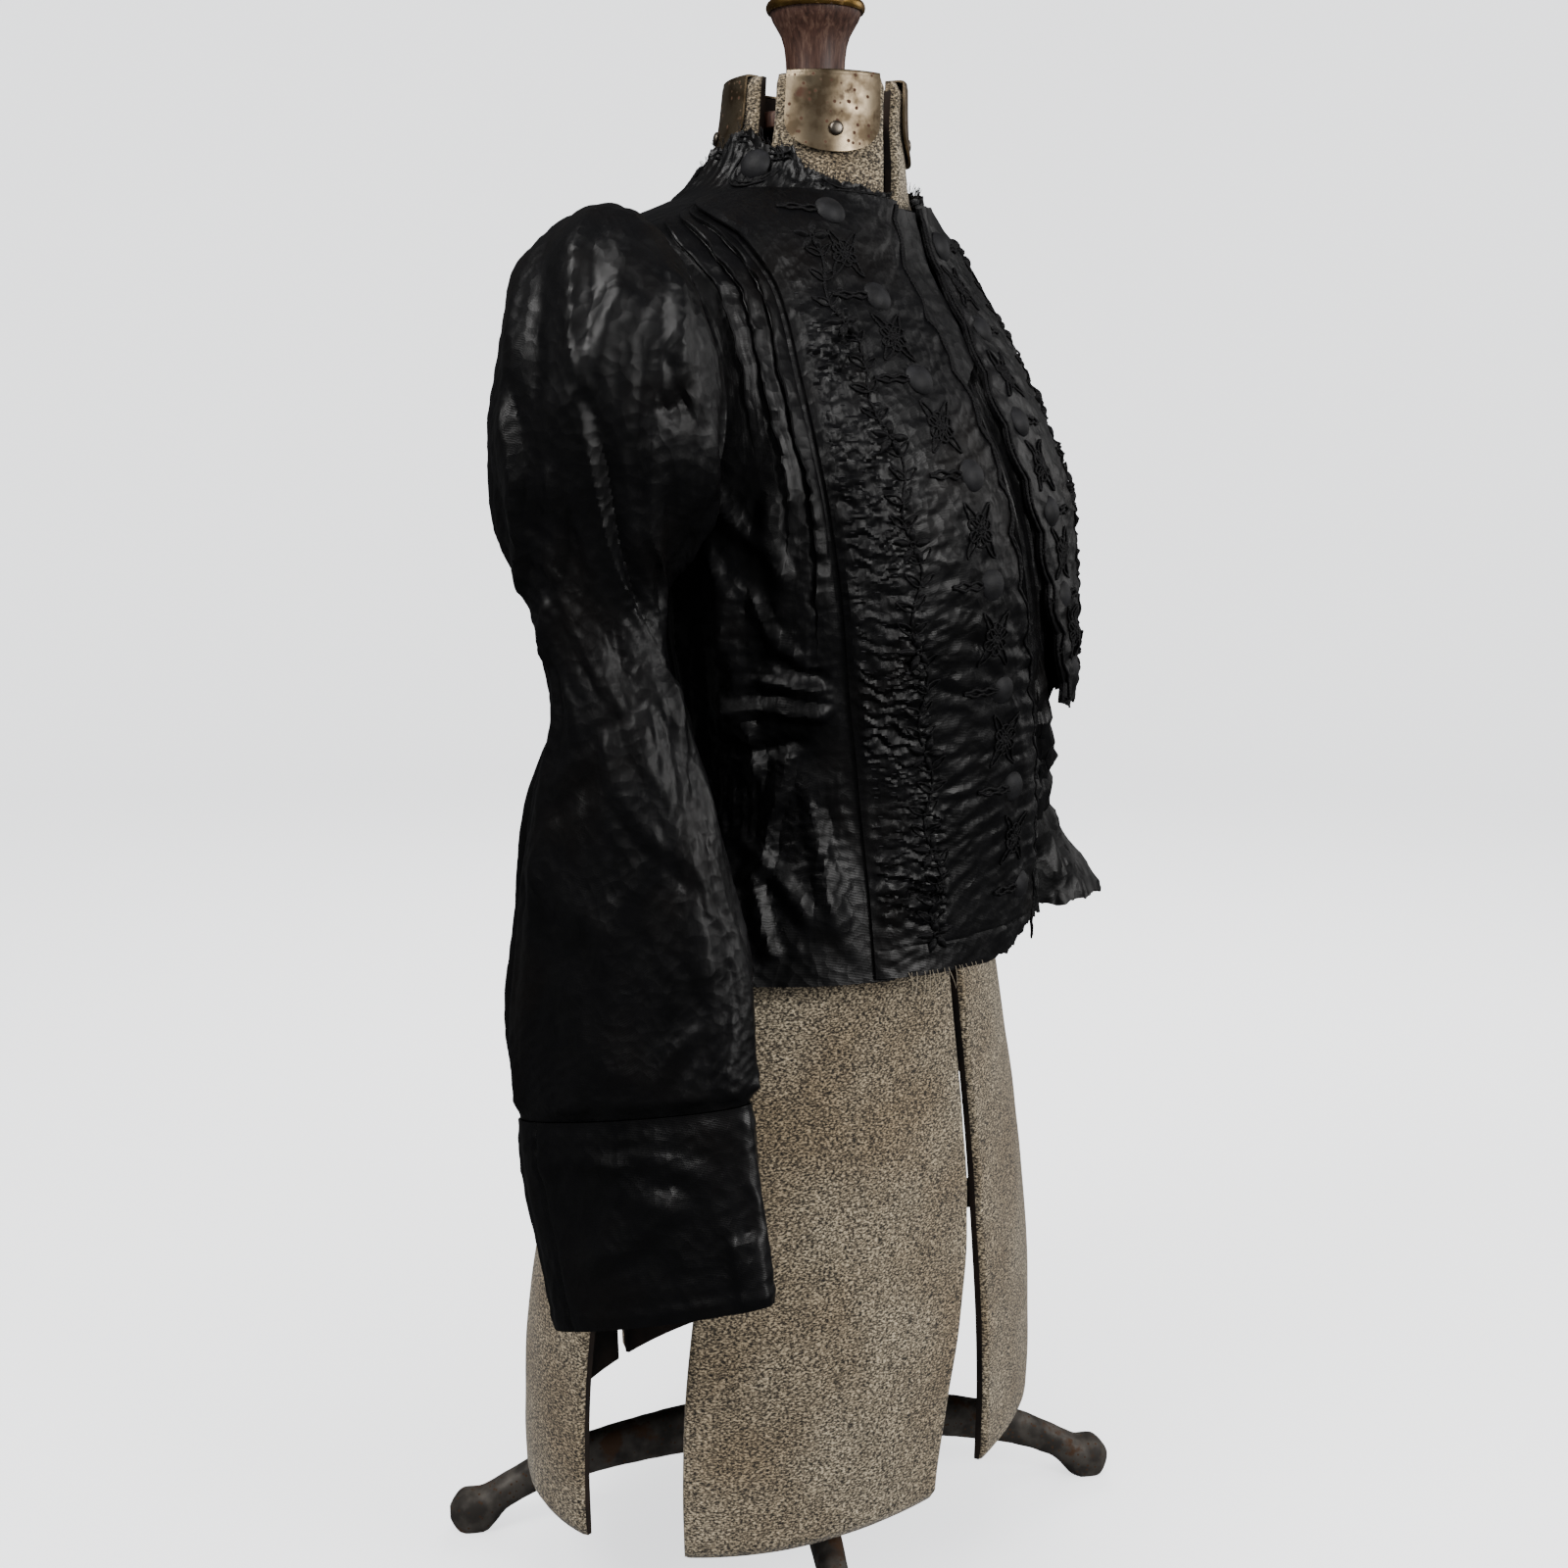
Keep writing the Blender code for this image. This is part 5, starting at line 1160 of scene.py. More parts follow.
@dataclass(frozen=True)
class SpottedMetal:
    """Metal whose plate or oxide is broken by rust: brushed, with darker clouds and rusted spots."""

    name: str
    bright: str
    dull: str
    rust: str = "#4f3322"
    roughness: tuple[float, float] = (0.30, 0.55)
    metallic: float = 1.0
    cloud_mm: float = 14.0
    spot_mm: float = 4.0
    spot_reach: float = 0.16
    patch_from: float = 0.62
    grain_depth: float = 0.0002

    def material(self) -> bpy.types.Material:
        """Return the material."""
        material, tree, shader = blank_material(self.name)
        place = add_node(tree, "ShaderNodeTexCoord").outputs["Object"]
        cloud = add_node(
            tree, "ShaderNodeTexNoise", {"Scale": per_mm(self.cloud_mm), "Detail": 6.0}, {"Vector": place}
        )
        tone = set_stops(
            add_node(tree, "ShaderNodeValToRGB", links={"Fac": cloud.outputs["Fac"]}),
            [(0.38, self.bright), (0.60, self.dull)],
        )
        spots = add_node(tree, "ShaderNodeTexVoronoi", {"Scale": per_mm(self.spot_mm)}, {"Vector": place})
        spotted = add_node(
            tree,
            "ShaderNodeMapRange",
            {"From Min": self.spot_reach, "From Max": self.spot_reach + 0.08, "To Min": 1.0, "To Max": 0.0},
            {"Value": spots.outputs["Distance"]},
        )
        patch = add_node(
            tree, "ShaderNodeTexNoise", {"Scale": per_mm(self.cloud_mm * 1.7), "Detail": 8.0}, {"Vector": place}
        )
        patched = add_node(
            tree,
            "ShaderNodeMapRange",
            {"From Min": self.patch_from, "From Max": self.patch_from + 0.06},
            {"Value": patch.outputs["Fac"]},
        )
        worn = add_node(
            tree,
            "ShaderNodeMath",
            links={0: spotted.outputs["Result"], 1: patched.outputs["Result"]},
            operation="MAXIMUM",
        )
        colour = add_node(
            tree,
            "ShaderNodeMix",
            {"B": linear(self.rust)},
            {"Factor": worn.outputs["Value"], "A": tone},
            data_type="RGBA",
        )
        metal = add_node(
            tree,
            "ShaderNodeMapRange",
            {"To Min": self.metallic, "To Max": 0.1},
            {"Value": worn.outputs["Value"]},
        )
        rough = add_node(
            tree,
            "ShaderNodeMapRange",
            {"From Min": 0.3, "From Max": 0.7, "To Min": self.roughness[0], "To Max": self.roughness[1]},
            {"Value": cloud.outputs["Fac"]},
        )
        dull = add_node(
            tree,
            "ShaderNodeMix",
            {"B": 0.85},
            {"Factor": worn.outputs["Value"], "A": rough.outputs["Result"]},
            data_type="FLOAT",
        )
        bump = add_node(
            tree,
            "ShaderNodeBump",
            {"Strength": 0.5, "Distance": self.grain_depth},
            {"Height": patch.outputs["Fac"]},
        )
        tree.links.new(colour.outputs["Result"], shader.inputs["Base Color"])
        tree.links.new(metal.outputs["Result"], shader.inputs["Metallic"])
        tree.links.new(dull.outputs["Result"], shader.inputs["Roughness"])
        tree.links.new(bump.outputs["Normal"], shader.inputs["Normal"])
        return material


@dataclass(frozen=True)
class TurnedWood:
    """Turned hardwood whose red stain has worn pale in streaks along the grain."""

    name: str = "weathered_red_wood"
    stops: tuple[tuple[float, str], ...] = ((0.30, "#2c1913"), (0.50, "#4c3127"), (0.68, "#6d5345"))
    grain_mm: float = 3.0

    def material(self) -> bpy.types.Material:
        """Return the material."""
        material, tree, shader = blank_material(self.name)
        place = add_node(tree, "ShaderNodeTexCoord").outputs["Object"]
        long = add_node(tree, "ShaderNodeMapping", {"Scale": (1.0, 1.0, 0.12)}, {"Vector": place})
        grain = add_node(
            tree,
            "ShaderNodeTexNoise",
            {"Scale": per_mm(self.grain_mm), "Detail": 6.0, "Roughness": 0.65, "Distortion": 0.4},
            {"Vector": long.outputs["Vector"]},
        )
        tone = set_stops(add_node(tree, "ShaderNodeValToRGB", links={"Fac": grain.outputs["Fac"]}), self.stops)
        bump = add_node(
            tree, "ShaderNodeBump", {"Strength": 0.4, "Distance": 0.0003}, {"Height": grain.outputs["Fac"]}
        )
        tree.links.new(tone, shader.inputs["Base Color"])
        tree.links.new(bump.outputs["Normal"], shader.inputs["Normal"])
        shader.inputs["Roughness"].default_value = 0.52
        return material


@dataclass(frozen=True)
class PlainMatt:
    """A plain matt surface with a faint cloud in its tone, such as paper or thread."""

    name: str
    colour: str
    other: str
    roughness: float = 0.9
    cloud_mm: float = 300.0

    def material(self) -> bpy.types.Material:
        """Return the material."""
        material, tree, shader = blank_material(self.name)
        place = add_node(tree, "ShaderNodeTexCoord").outputs["Object"]
        cloud = add_node(tree, "ShaderNodeTexNoise", {"Scale": per_mm(self.cloud_mm)}, {"Vector": place})
        tone = set_stops(
            add_node(tree, "ShaderNodeValToRGB", links={"Fac": cloud.outputs["Fac"]}),
            [(0.3, self.colour), (0.7, self.other)],
        )
        tree.links.new(tone, shader.inputs["Base Color"])
        shader.inputs["Roughness"].default_value = self.roughness
        return material


@dataclass
class Finishes:
    """Every material of the object, made once."""

    taffeta: bpy.types.Material
    band: bpy.types.Material
    silk_cord: bpy.types.Material
    button: bpy.types.Material
    jersey: bpy.types.Material
    nickel: bpy.types.Material
    iron: bpy.types.Material
    steel: bpy.types.Material
    wood: bpy.types.Material
    brass: bpy.types.Material
    thread: bpy.types.Material
    pale_thread: bpy.types.Material
    board: bpy.types.Material

    @classmethod
    def make(cls) -> "Finishes":
        """Return the finishes of this object."""
        return cls(
            taffeta=Taffeta().material(),
            band=Taffeta(name="embroidered_black_taffeta", crinkle_mm=6.0, crinkle_strength=0.35).material(),
            silk_cord=SilkCord().material(),
            button=ButtonCloth().material(),
            jersey=Jersey().material(),
            nickel=SpottedMetal("tarnished_nickel_plate", "#a3937a", "#5e5140", spot_mm=5.0).material(),
            iron=SpottedMetal(
                "rusted_cast_iron",
                "#57524c",
                "#383430",
                rust="#47311f",
                roughness=(0.50, 0.75),
                metallic=0.35,
                patch_from=0.58,
                grain_depth=0.0008,
            ).material(),
            steel=SpottedMetal(
                "drawn_steel", "#8d857a", "#5f574e", roughness=(0.35, 0.50), spot_reach=0.10
            ).material(),
            wood=TurnedWood().material(),
            brass=SpottedMetal("dull_brass", "#b08d4f", "#6f5530", rust="#3d2b1a", roughness=(0.30, 0.50)).material(),
            thread=PlainMatt("black_sewing_thread", "#121214", "#1d1c20", 0.7, 4.0).material(),
            pale_thread=PlainMatt("undyed_cotton_thread", "#b9ad98", "#8d826f", 0.9, 6.0).material(),
            board=PlainMatt("moulded_brown_pasteboard", "#2a1d14", "#120d0a", 0.85, 22.0).material(),
        )


def place_piece(piece: bpy.types.Object, body: Body, slot: str, *nodes: str) -> bpy.types.Object:
    """Let a piece ride on a body and stand for CAD nodes.

    Args:
        piece: the piece.
        body: what it moves with.
        slot: the material slot of the record; not used.
        nodes: the CAD nodes that it stands for.

    Returns:
        The piece.
    """
    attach(piece, body.value)
    if nodes:
        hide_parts(*nodes)
    LOG.info("%s: %d faces on %s", piece.name, len(piece.data.polygons), body.value)
    return piece


def wall_piece(
    name: str,
    law: SurfaceLaw,
    u: Array,
    v: Array,
    core: Array,
    lift: Array | float,
    thickness: Array | float,
    material: bpy.types.Material,
    relief: Array | float = 0.0,
    ring: bool = False,
    sharp_degrees: float = 26.0,
) -> bpy.types.Object:
    """Make a thin cloth wall over a surface.

    Args:
        name: of the piece.
        law: the surface, from u and v.
        u: rows x columns, the surface's first number.
        v: the same for its second.
        core: places that lie on the inner side of the surface.
        lift: how far the inner face stands off the surface.
        thickness: of the cloth.
        material: its finish.
        relief: how far both faces are raised further, as by creases.
        ring: whether the columns close on themselves.
        sharp_degrees: creases sharper than this are shaded sharp.

    Returns:
        The object.
    """
    points = law(u, v)
    normals = normals_of(law, u, v, core)
    raised = np.broadcast_to(np.asarray(lift + relief, float), u.shape)[..., None]
    inner = points + normals * raised
    outer = inner + normals * np.broadcast_to(np.asarray(thickness, float), u.shape)[..., None]
    return shell_piece(name, outer, inner, flat_places(outer, ring), material, ring, sharp_degrees)


def grid_of(shares_across: Array, shares_along: Array) -> tuple[Array, Array]:
    """Return rows x columns arrays of the two shares."""
    return np.meshgrid(np.asarray(shares_across, float), np.asarray(shares_along, float))


def eased(count: int, tight: float = 0.75) -> Array:
    """Return shares from 0 to 1 that lie closer together at both ends."""
    even = np.linspace(0.0, 1.0, count)
    return even * (1.0 - tight) + (0.5 - 0.5 * np.cos(math.pi * even)) * tight


@dataclass
class Stand:
    """Cast-iron foot with four arched legs, its pole and the collar that the form rests on."""

    leg_degrees: tuple[float, ...] = (43.0, 133.0, 223.0, 313.0)
    leg_sides: int = 40
    leg_rows: int = 90
    pole_radius: float = 0.0110
    pole_top_z: float = 0.862
    collar_radius: float = 0.019
    collar_height: float = 0.018
    collar_top_z: float = 0.2067
    clear: float = 0.0003
    # Distance from the pole, height, half width and half height of a leg's casting
    leg_stations: tuple[tuple[float, float, float, float], ...] = (
        (0.0283, 0.0570, 0.0105, 0.0165),
        (0.0700, 0.0560, 0.0100, 0.0160),
        (0.1100, 0.0500, 0.0100, 0.0145),
        (0.1400, 0.0435, 0.0095, 0.0135),
        (0.1680, 0.0345, 0.0090, 0.0120),
        (0.1900, 0.0235, 0.0100, 0.0115),
        (0.2060, 0.0110, 0.0135, 0.0150),
        (0.2190, 0.0105, 0.0135, 0.0145),
        (0.2290, 0.0105, 0.0090, 0.0095),
    )
    hub_profile: tuple[Profile, ...] = (
        Profile(0.0240, 0.0380),
        Profile(0.0268, 0.0390),
        Profile(0.0280, 0.0415),
        Profile(0.0280, 0.0560),
        Profile(0.0270, 0.0575),
        Profile(0.0270, 0.0600),
        Profile(0.0280, 0.0615),
        Profile(0.0280, 0.0735),
        Profile(0.0268, 0.0770),
        Profile(0.0222, 0.0820),
        Profile(0.0196, 0.0870),
        Profile(0.0170, 0.0940),
        Profile(0.0158, 0.0980),
    )

    def build(self, finishes: Finishes) -> None:
        """Build and place every piece of the stand.

        Args:
            finishes: every material of the object.
        """
        hub = turned_piece("hub_casting", self.hub_profile, finishes.iron, POLE, (0, 0, 1), 56)
        place_piece(hub, Body.STAND, "cast_iron", "hub")
        for number, degrees in enumerate(self.leg_degrees, start=1):
            leg = self.leg(f"leg_casting_{number}", degrees, finishes.iron)
            place_piece(leg, Body.STAND, "cast_iron", f"leg_{number}")
        pole = turned_piece(
            "pole_rod",
            [
                Profile(self.pole_radius - 0.0008, 0.0983),
                Profile(self.pole_radius, 0.0990),
                Profile(self.pole_radius, self.pole_top_z - 0.0012),
                Profile(self.pole_radius - 0.0012, self.pole_top_z),
            ],
            finishes.steel,
            POLE,
            (0, 0, 1),
            32,
        )
        place_piece(pole, Body.STAND, "steel", "pole")
        self.collar(finishes)

    def leg(self, name: str, degrees: float, material: bpy.types.Material) -> bpy.types.Object:
        """Return one arched leg that ends in a bulb foot.

        Args:
            name: of the piece.
            degrees: its way out from the pole, from +X.
            material: its finish.

        Returns:
            The leg.
        """
        angle = math.radians(degrees)
        heading = np.array([math.cos(angle), math.sin(angle), 0.0])
        across = np.array([-heading[1], heading[0], 0.0])
        rows = [LegStation(*row) for row in self.leg_stations]
        reach = np.concatenate([np.linspace(0.0283, 0.200, self.leg_rows - 30), np.linspace(0.2012, 0.2283, 30)])
        level, half_width, half_height = columns_at(rows, reach)
        # The toe closes as a rounded end
        toe = np.sqrt(np.clip(1.0 - np.clip((reach - 0.2190) / 0.0100, 0.0, 1.0) ** 2, 0.02, 1.0))
        turns = 2.0 * math.pi * (np.arange(self.leg_sides) + 0.5) / self.leg_sides
        # A flattened rib section: the flanks are fuller than an ellipse
        wide = np.sign(np.cos(turns)) * np.abs(np.cos(turns)) ** 0.8
        high = np.sign(np.sin(turns)) * np.abs(np.sin(turns)) ** 0.8
        x = (half_width * toe)[:, None] * wide
        z = level[:, None] + (half_height * toe)[:, None] * high
        points = heading * reach[:, None, None] + across * x[..., None]
        points[..., 2] = z
        points += POLE
        lumps = swell(points, 9.0, 3.0 + degrees) * 0.0005
        points[..., 0] += lumps * heading[0]
        points[..., 2] = np.maximum(points[..., 2] + lumps, 0.0)
        index = np.arange(points.shape[0] * points.shape[1]).reshape(points.shape[:2])
        after = np.roll(index, -1, axis=1)
        quads = np.stack([index[:-1], after[:-1], after[1:], index[1:]], axis=-1).reshape(-1, 4)
        faces = quads.tolist() + [index[0, ::-1].tolist(), index[-1].tolist()]
        return new_piece(name, points.reshape(-1, 3), faces, material, sharp_degrees=50.0)

    def collar(self, finishes: Finishes) -> None:
        """Build the set collar that the form rests on, and its thumbscrew.

        Args:
            finishes: every material of the object.
        """
        top = self.collar_top_z
        low = top - self.collar_height
        bore = self.pole_radius + self.clear
        outline = [
            Profile(bore, low),
            Profile(self.collar_radius - 0.0012, low),
            Profile(self.collar_radius, low + 0.0012),
            Profile(self.collar_radius, top - 0.0012),
            Profile(self.collar_radius - 0.0012, top),
            Profile(bore, top),
        ]
        ring = turned_piece("set_collar_ring", outline, finishes.iron, POLE, (0, 0, 1), 48, closed=True)
        place_piece(ring, Body.STAND, "cast_iron", "set_collar")
        seat = POLE + np.array([0.0, -self.collar_radius, top - self.collar_height / 2])
        steps = [(0.0030, 0.0003), (0.0030, 0.0120), (0.0078, 0.0124)]
        steps += [(0.0085, 0.0130), (0.0085, 0.0155), (0.0078, 0.0160)]
        screw = turned_piece(
            "collar_thumbscrew", [Profile(*step) for step in steps], finishes.steel, seat, (0, -1, 0), 28
        )
        place_piece(screw, Body.STAND, "steel", "thumbscrew")


@dataclass(frozen=True)
class LegStation:
    """A section of a leg of the stand."""

    reach: float
    z: float
    half_width: float
    half_height: float


@dataclass
class DressForm:
    """Four jersey-covered shells with neck plates, carried by sliding hubs on the pole."""

    front_gap: float = 0.012
    back_gap: float = 0.012
    base_z: float = 0.066
    closed_side_gap: float = 0.006
    front_side_opening: float = 0.049
    back_side_opening: float = 0.006
    side_opening_top_z: float = 0.62
    side_opening_length: float = 0.40
    corner_cut: float = 17.0
    corner_top_z: float = 0.300
    edge_round: float = 0.0036
    plate_gauge: float = 0.0014
    plate_half_width: float = 0.0285
    plate_bottom_z: float = 0.8795
    plate_spring: float = 0.0018
    rivet_z: float = 0.8925
    clear: float = 0.0003
    post_profile: tuple[Profile, ...] = (
        Profile(0.0425, 0.8960),
        Profile(0.0442, 0.8968),
        Profile(0.0445, 0.8985),
        Profile(0.0445, 0.9035),
        Profile(0.0436, 0.9055),
        Profile(0.0400, 0.9064),
        Profile(0.0290, 0.9076),
        Profile(0.0225, 0.9110),
        Profile(0.0196, 0.9160),
        Profile(0.0180, 0.9230),
        Profile(0.0177, 0.9330),
        Profile(0.0180, 0.9400),
        Profile(0.0190, 0.9480),
        Profile(0.0208, 0.9540),
        Profile(0.0236, 0.9590),
        Profile(0.0260, 0.9630),
        Profile(0.0272, 0.9660),
        Profile(0.0275, 0.9680),
        Profile(0.0275, 0.9740),
        Profile(0.0268, 0.9775),
        Profile(0.0240, 0.9830),
        Profile(0.0180, 0.9868),
        Profile(0.0100, 0.9886),
        Profile(0.0030, 0.9890),
    )

    def edges(self, z: Array, quarter: Quarter, side: Side, notched: bool = True) -> tuple[Array, Array]:
        """Return the two edge angles of a shell at each level, in degrees.

        Args:
            z: the levels.
            quarter: front or back.
            side: right or left.
            notched: whether the worn lower corner of the right front counts.

        Returns:
            The nearer and the farther angle from the front or side.
        """
        half_width, front, back, _centre, _power = columns_at(FORM_SECTIONS, z)
        opening = ramp(self.side_opening_top_z - z, 0.0, self.side_opening_length)
        if quarter is Quarter.FRONT:
            gap = self.closed_side_gap + self.front_side_opening * opening
            start = np.degrees(np.arcsin(0.5 * self.front_gap / front))
            if side is Side.RIGHT and notched:
                start = start + self.corner_cut * (1.0 - ramp(z, self.base_z, self.corner_top_z)) ** 1.5
            return start, 90.0 - np.degrees(np.arcsin(gap / half_width))
        gap = self.closed_side_gap + self.back_side_opening * opening
        start = 90.0 + np.degrees(np.arcsin(gap / half_width))
        return start, 180.0 - np.degrees(np.arcsin(0.5 * self.back_gap / back))

    def line_with_board(self, shell: bpy.types.Object, board: bpy.types.Material) -> None:
        """Give the faces of a shell that look inwards their bare board.

        Args:
            shell: the piece.
            board: the material of its inside.
        """
        mesh = shell.data
        mesh.materials.append(board)
        for face in mesh.polygons:
            out = Vector((face.center.x, face.center.y - float(NECK[1]), 0.0))
            if face.normal.dot(out) < 0.0:
                face.material_index = 1

    def build(self, finishes: Finishes) -> None:
        """Build and place every piece of the form.

        Args:
            finishes: every material of the object.
        """
        for quarter in Quarter:
            for side in Side:
                word = side.name.lower()
                shell = self.shell(quarter, side, finishes.jersey)
                self.line_with_board(shell, finishes.board)
                place_piece(shell, Body.FORM, "jersey", f"form_{quarter.value}_{word}")
                plate, middle = self.neck_plate(quarter, side, finishes.nickel)
                place_piece(plate, Body.FORM, "nickel_plate", f"neck_plate_{quarter.value}_{word}")
                rivet = self.rivet(f"plate_rivet_{quarter.value}_{word}", middle, finishes.steel)
                place_piece(rivet, Body.FORM, "steel", f"rivet_{quarter.value}_{word}")
        post = turned_piece("neck_post_turning", self.post_profile, finishes.wood, NECK, (0, 0, 1), 72)
        place_piece(post, Body.FORM, "wood", "neck_post")
        outline = [(0.0279, 0.9675), (0.0290, 0.9675), (0.0297, 0.9688), (0.0300, 0.9702), (0.0297, 0.9717)]
        outline += [(0.0290, 0.9730), (0.0279, 0.9730)]
        ring = turned_piece(
            "post_band", [Profile(*row) for row in outline], finishes.brass, NECK, (0, 0, 1), 72, closed=True
        )
        place_piece(ring, Body.FORM, "brass", "post_ring")
        for name in ("spider_lower", "spider_upper"):
            self.finish_node(name, finishes.iron)

    def finish_node(self, name: str, material: bpy.types.Material) -> None:
        """Give a CAD node that keeps its shape its finish.

        Args:
            name: of the node.
            material: its finish.
        """
        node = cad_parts[name]
        node.data.materials.clear()
        node.data.materials.append(material)
        LOG.info("%s keeps its solid, in %s", name, material.name)

    def shell(self, quarter: Quarter, side: Side, material: bpy.types.Material) -> bpy.types.Object:
        """Return one padded shell with its jersey drawn smoothly over rounded edges.

        Args:
            quarter: front or back.
            side: right or left.
            material: its finish.

        Returns:
            The shell.
        """
        levels = eased(96, 0.35) * (FORM_TOP_Z - self.base_z) + self.base_z
        rim = np.array([0.0, 0.012, 0.03, 0.055]) / 3.0
        shares = np.concatenate([rim, np.linspace(0.03, 0.97, 36), 1.0 - rim[::-1]])
        u, z = grid_of(shares, levels)
        start, end = self.edges(z, quarter, side)
        degrees = side.value * (start + (end - start) * u)
        points = form_law(degrees, z)
        normals = normals_of(form_law, degrees, z, core_of(z))
        radius, _centre = form_radius(degrees, z)
        from_edge = np.minimum(u, 1.0 - u) * np.radians(end - start) * radius
        from_end = np.minimum(z - self.base_z, FORM_TOP_Z - z)
        drop = np.zeros_like(u)
        for distance in (from_edge, from_end):
            near = np.clip(1.0 - distance / self.edge_round, 0.0, 1.0)
            drop += self.edge_round * (1.0 - np.sqrt(1.0 - near**2))
        drop = np.minimum(drop, 1.3 * self.edge_round)
        padding = swell(points, 34.0, 5.0 + side.value + (quarter is Quarter.BACK)) * 0.0006
        outer = points + normals * (padding - drop - 0.0002)[..., None]
        inner = points - normals * SHELL_THICKNESS
        name = f"jersey_shell_{quarter.value}_{side.name.lower()}"
        uv = np.stack([np.radians(degrees) * radius, z], axis=-1)
        return shell_piece(name, outer, inner, uv, material, sharp_degrees=70.0)

    def neck_plate(
        self, quarter: Quarter, side: Side, material: bpy.types.Material
    ) -> tuple[bpy.types.Object, float]:
        """Return a sprung plate hooked over the neck of one shell, and its middle's angle.

        Args:
            quarter: front or back.
            side: right or left.
            material: its finish.

        Returns:
            The plate, and the angle of its middle.
        """
        start, end = self.edges(np.array(FORM_TOP_Z), quarter, side, notched=False)
        middle = float(side.value * 0.5 * (start + end))
        rim_radius = FORM_SECTIONS[-1].half_width
        half = math.degrees(self.plate_half_width / rim_radius)
        top = FORM_TOP_Z + self.clear
        across = np.linspace(-1.0, 1.0, 33)
        down = np.concatenate([1.0 - np.cos(np.linspace(0.0, 0.5 * math.pi, 22)), np.linspace(1.03, 2.0, 20)]) / 2.0
        rows = []
        for share in down:
            z = self.plate_bottom_z + (FORM_TOP_Z - 0.0012 - self.plate_bottom_z) * share
            round_share = 1.0 - min(share / 0.5, 1.0)
            width = math.sqrt(max(1.0 - round_share**2.4, 0.004))
            rows.append((z, width, self.plate_spring * (1.0 - share) + self.clear * 2.0, None))
        # The hook: a quarter bend over the rim, then level inwards
        for turn in np.linspace(0.0, 0.5 * math.pi, 7)[1:]:
            rise = 0.0012 * math.sin(turn)
            back = 0.0012 * (1.0 - math.cos(turn))
            rows.append((FORM_TOP_Z - 0.0012 + rise, 1.0, self.clear * 2.0 - back, None))
        for reach in np.linspace(rim_radius - 0.0015, rim_radius - SHELL_THICKNESS, 6):
            rows.append((top, 1.0, 0.0, reach))
        inner = []
        outer = []
        for z, width, spring, reach in rows:
            angle = middle + half * width * across
            level = np.full(across.shape, z)
            base, centre_y = form_radius(angle, np.minimum(level, FORM_TOP_Z))
            length = base + spring if reach is None else np.full(across.shape, reach)
            inner.append(around(length, angle, centre_y, level))
            gauge = self.plate_gauge if reach is None and z < FORM_TOP_Z - 0.0012 else self.plate_gauge * 0.8
            out = around(length + (gauge if reach is None else 0.0), angle, centre_y, level)
            lift = 0.0 if z < FORM_TOP_Z - 0.0006 else gauge
            outer.append(out + np.array([0.0, 0.0, lift]))
        outer_grid = np.array(outer)
        inner_grid = np.array(inner)
        name = f"plated_neck_spring_{quarter.value}_{side.name.lower()}"
        piece = shell_piece(name, outer_grid, inner_grid, flat_places(outer_grid), material, sharp_degrees=40.0)
        return piece, middle

    def rivet(self, name: str, middle: float, material: bpy.types.Material) -> bpy.types.Object:
        """Return the domed rivet of a neck plate.

        Args:
            name: of the piece.
            middle: the middle angle of its plate.
            material: its finish.

        Returns:
            The rivet.
        """
        degrees = np.array(middle)
        z = np.array(self.rivet_z)
        normal = normals_of(form_law, degrees, z, core_of(z))
        seat = form_law(degrees, z) + normal * (self.plate_gauge + self.plate_spring + self.clear * 2.4)
        steps = [(0.0042, 0.0), (0.0041, 0.0006), (0.0036, 0.0012), (0.0026, 0.0016), (0.0012, 0.0018)]
        return turned_piece(name, [Profile(*step) for step in steps], material, seat, normal, 32)


def half_seam(z: Array) -> Array:
    """Return half the gap of the side and shoulder seams at each level, in degrees."""
    radius, _centre = form_radius(np.full(np.shape(z), SIDE_ANGLE), z)
    return np.degrees(HALF_SEAM / radius)


def armhole_half(z: Array) -> Array:
    """Return half the width of the armhole at each level, in degrees."""
    share = np.clip((np.asarray(z) - ARMHOLE_Z) / ARMHOLE_HALF_HEIGHT, -1.0, 1.0)
    return ARMHOLE_HALF_ANGLE * np.sqrt(1.0 - share * share)


def panel_rows(lowest: float, highest: float, below: int, round_armhole: int, above: int) -> Array:
    """Return the levels of a body panel's rows, closer together at the armhole's ends.

    Args:
        lowest: the lowest level.
        highest: the highest.
        below: rows below the armhole.
        round_armhole: rows beside it.
        above: rows above it.

    Returns:
        The levels from low to high.
    """
    low_end = ARMHOLE_Z - ARMHOLE_HALF_HEIGHT
    high_end = ARMHOLE_Z + ARMHOLE_HALF_HEIGHT
    turns = math.pi * np.arange(1, round_armhole) / round_armhole
    middle = ARMHOLE_Z - ARMHOLE_HALF_HEIGHT * np.cos(turns)
    return np.concatenate([np.linspace(lowest, low_end, below), middle, np.linspace(high_end, highest, above)])


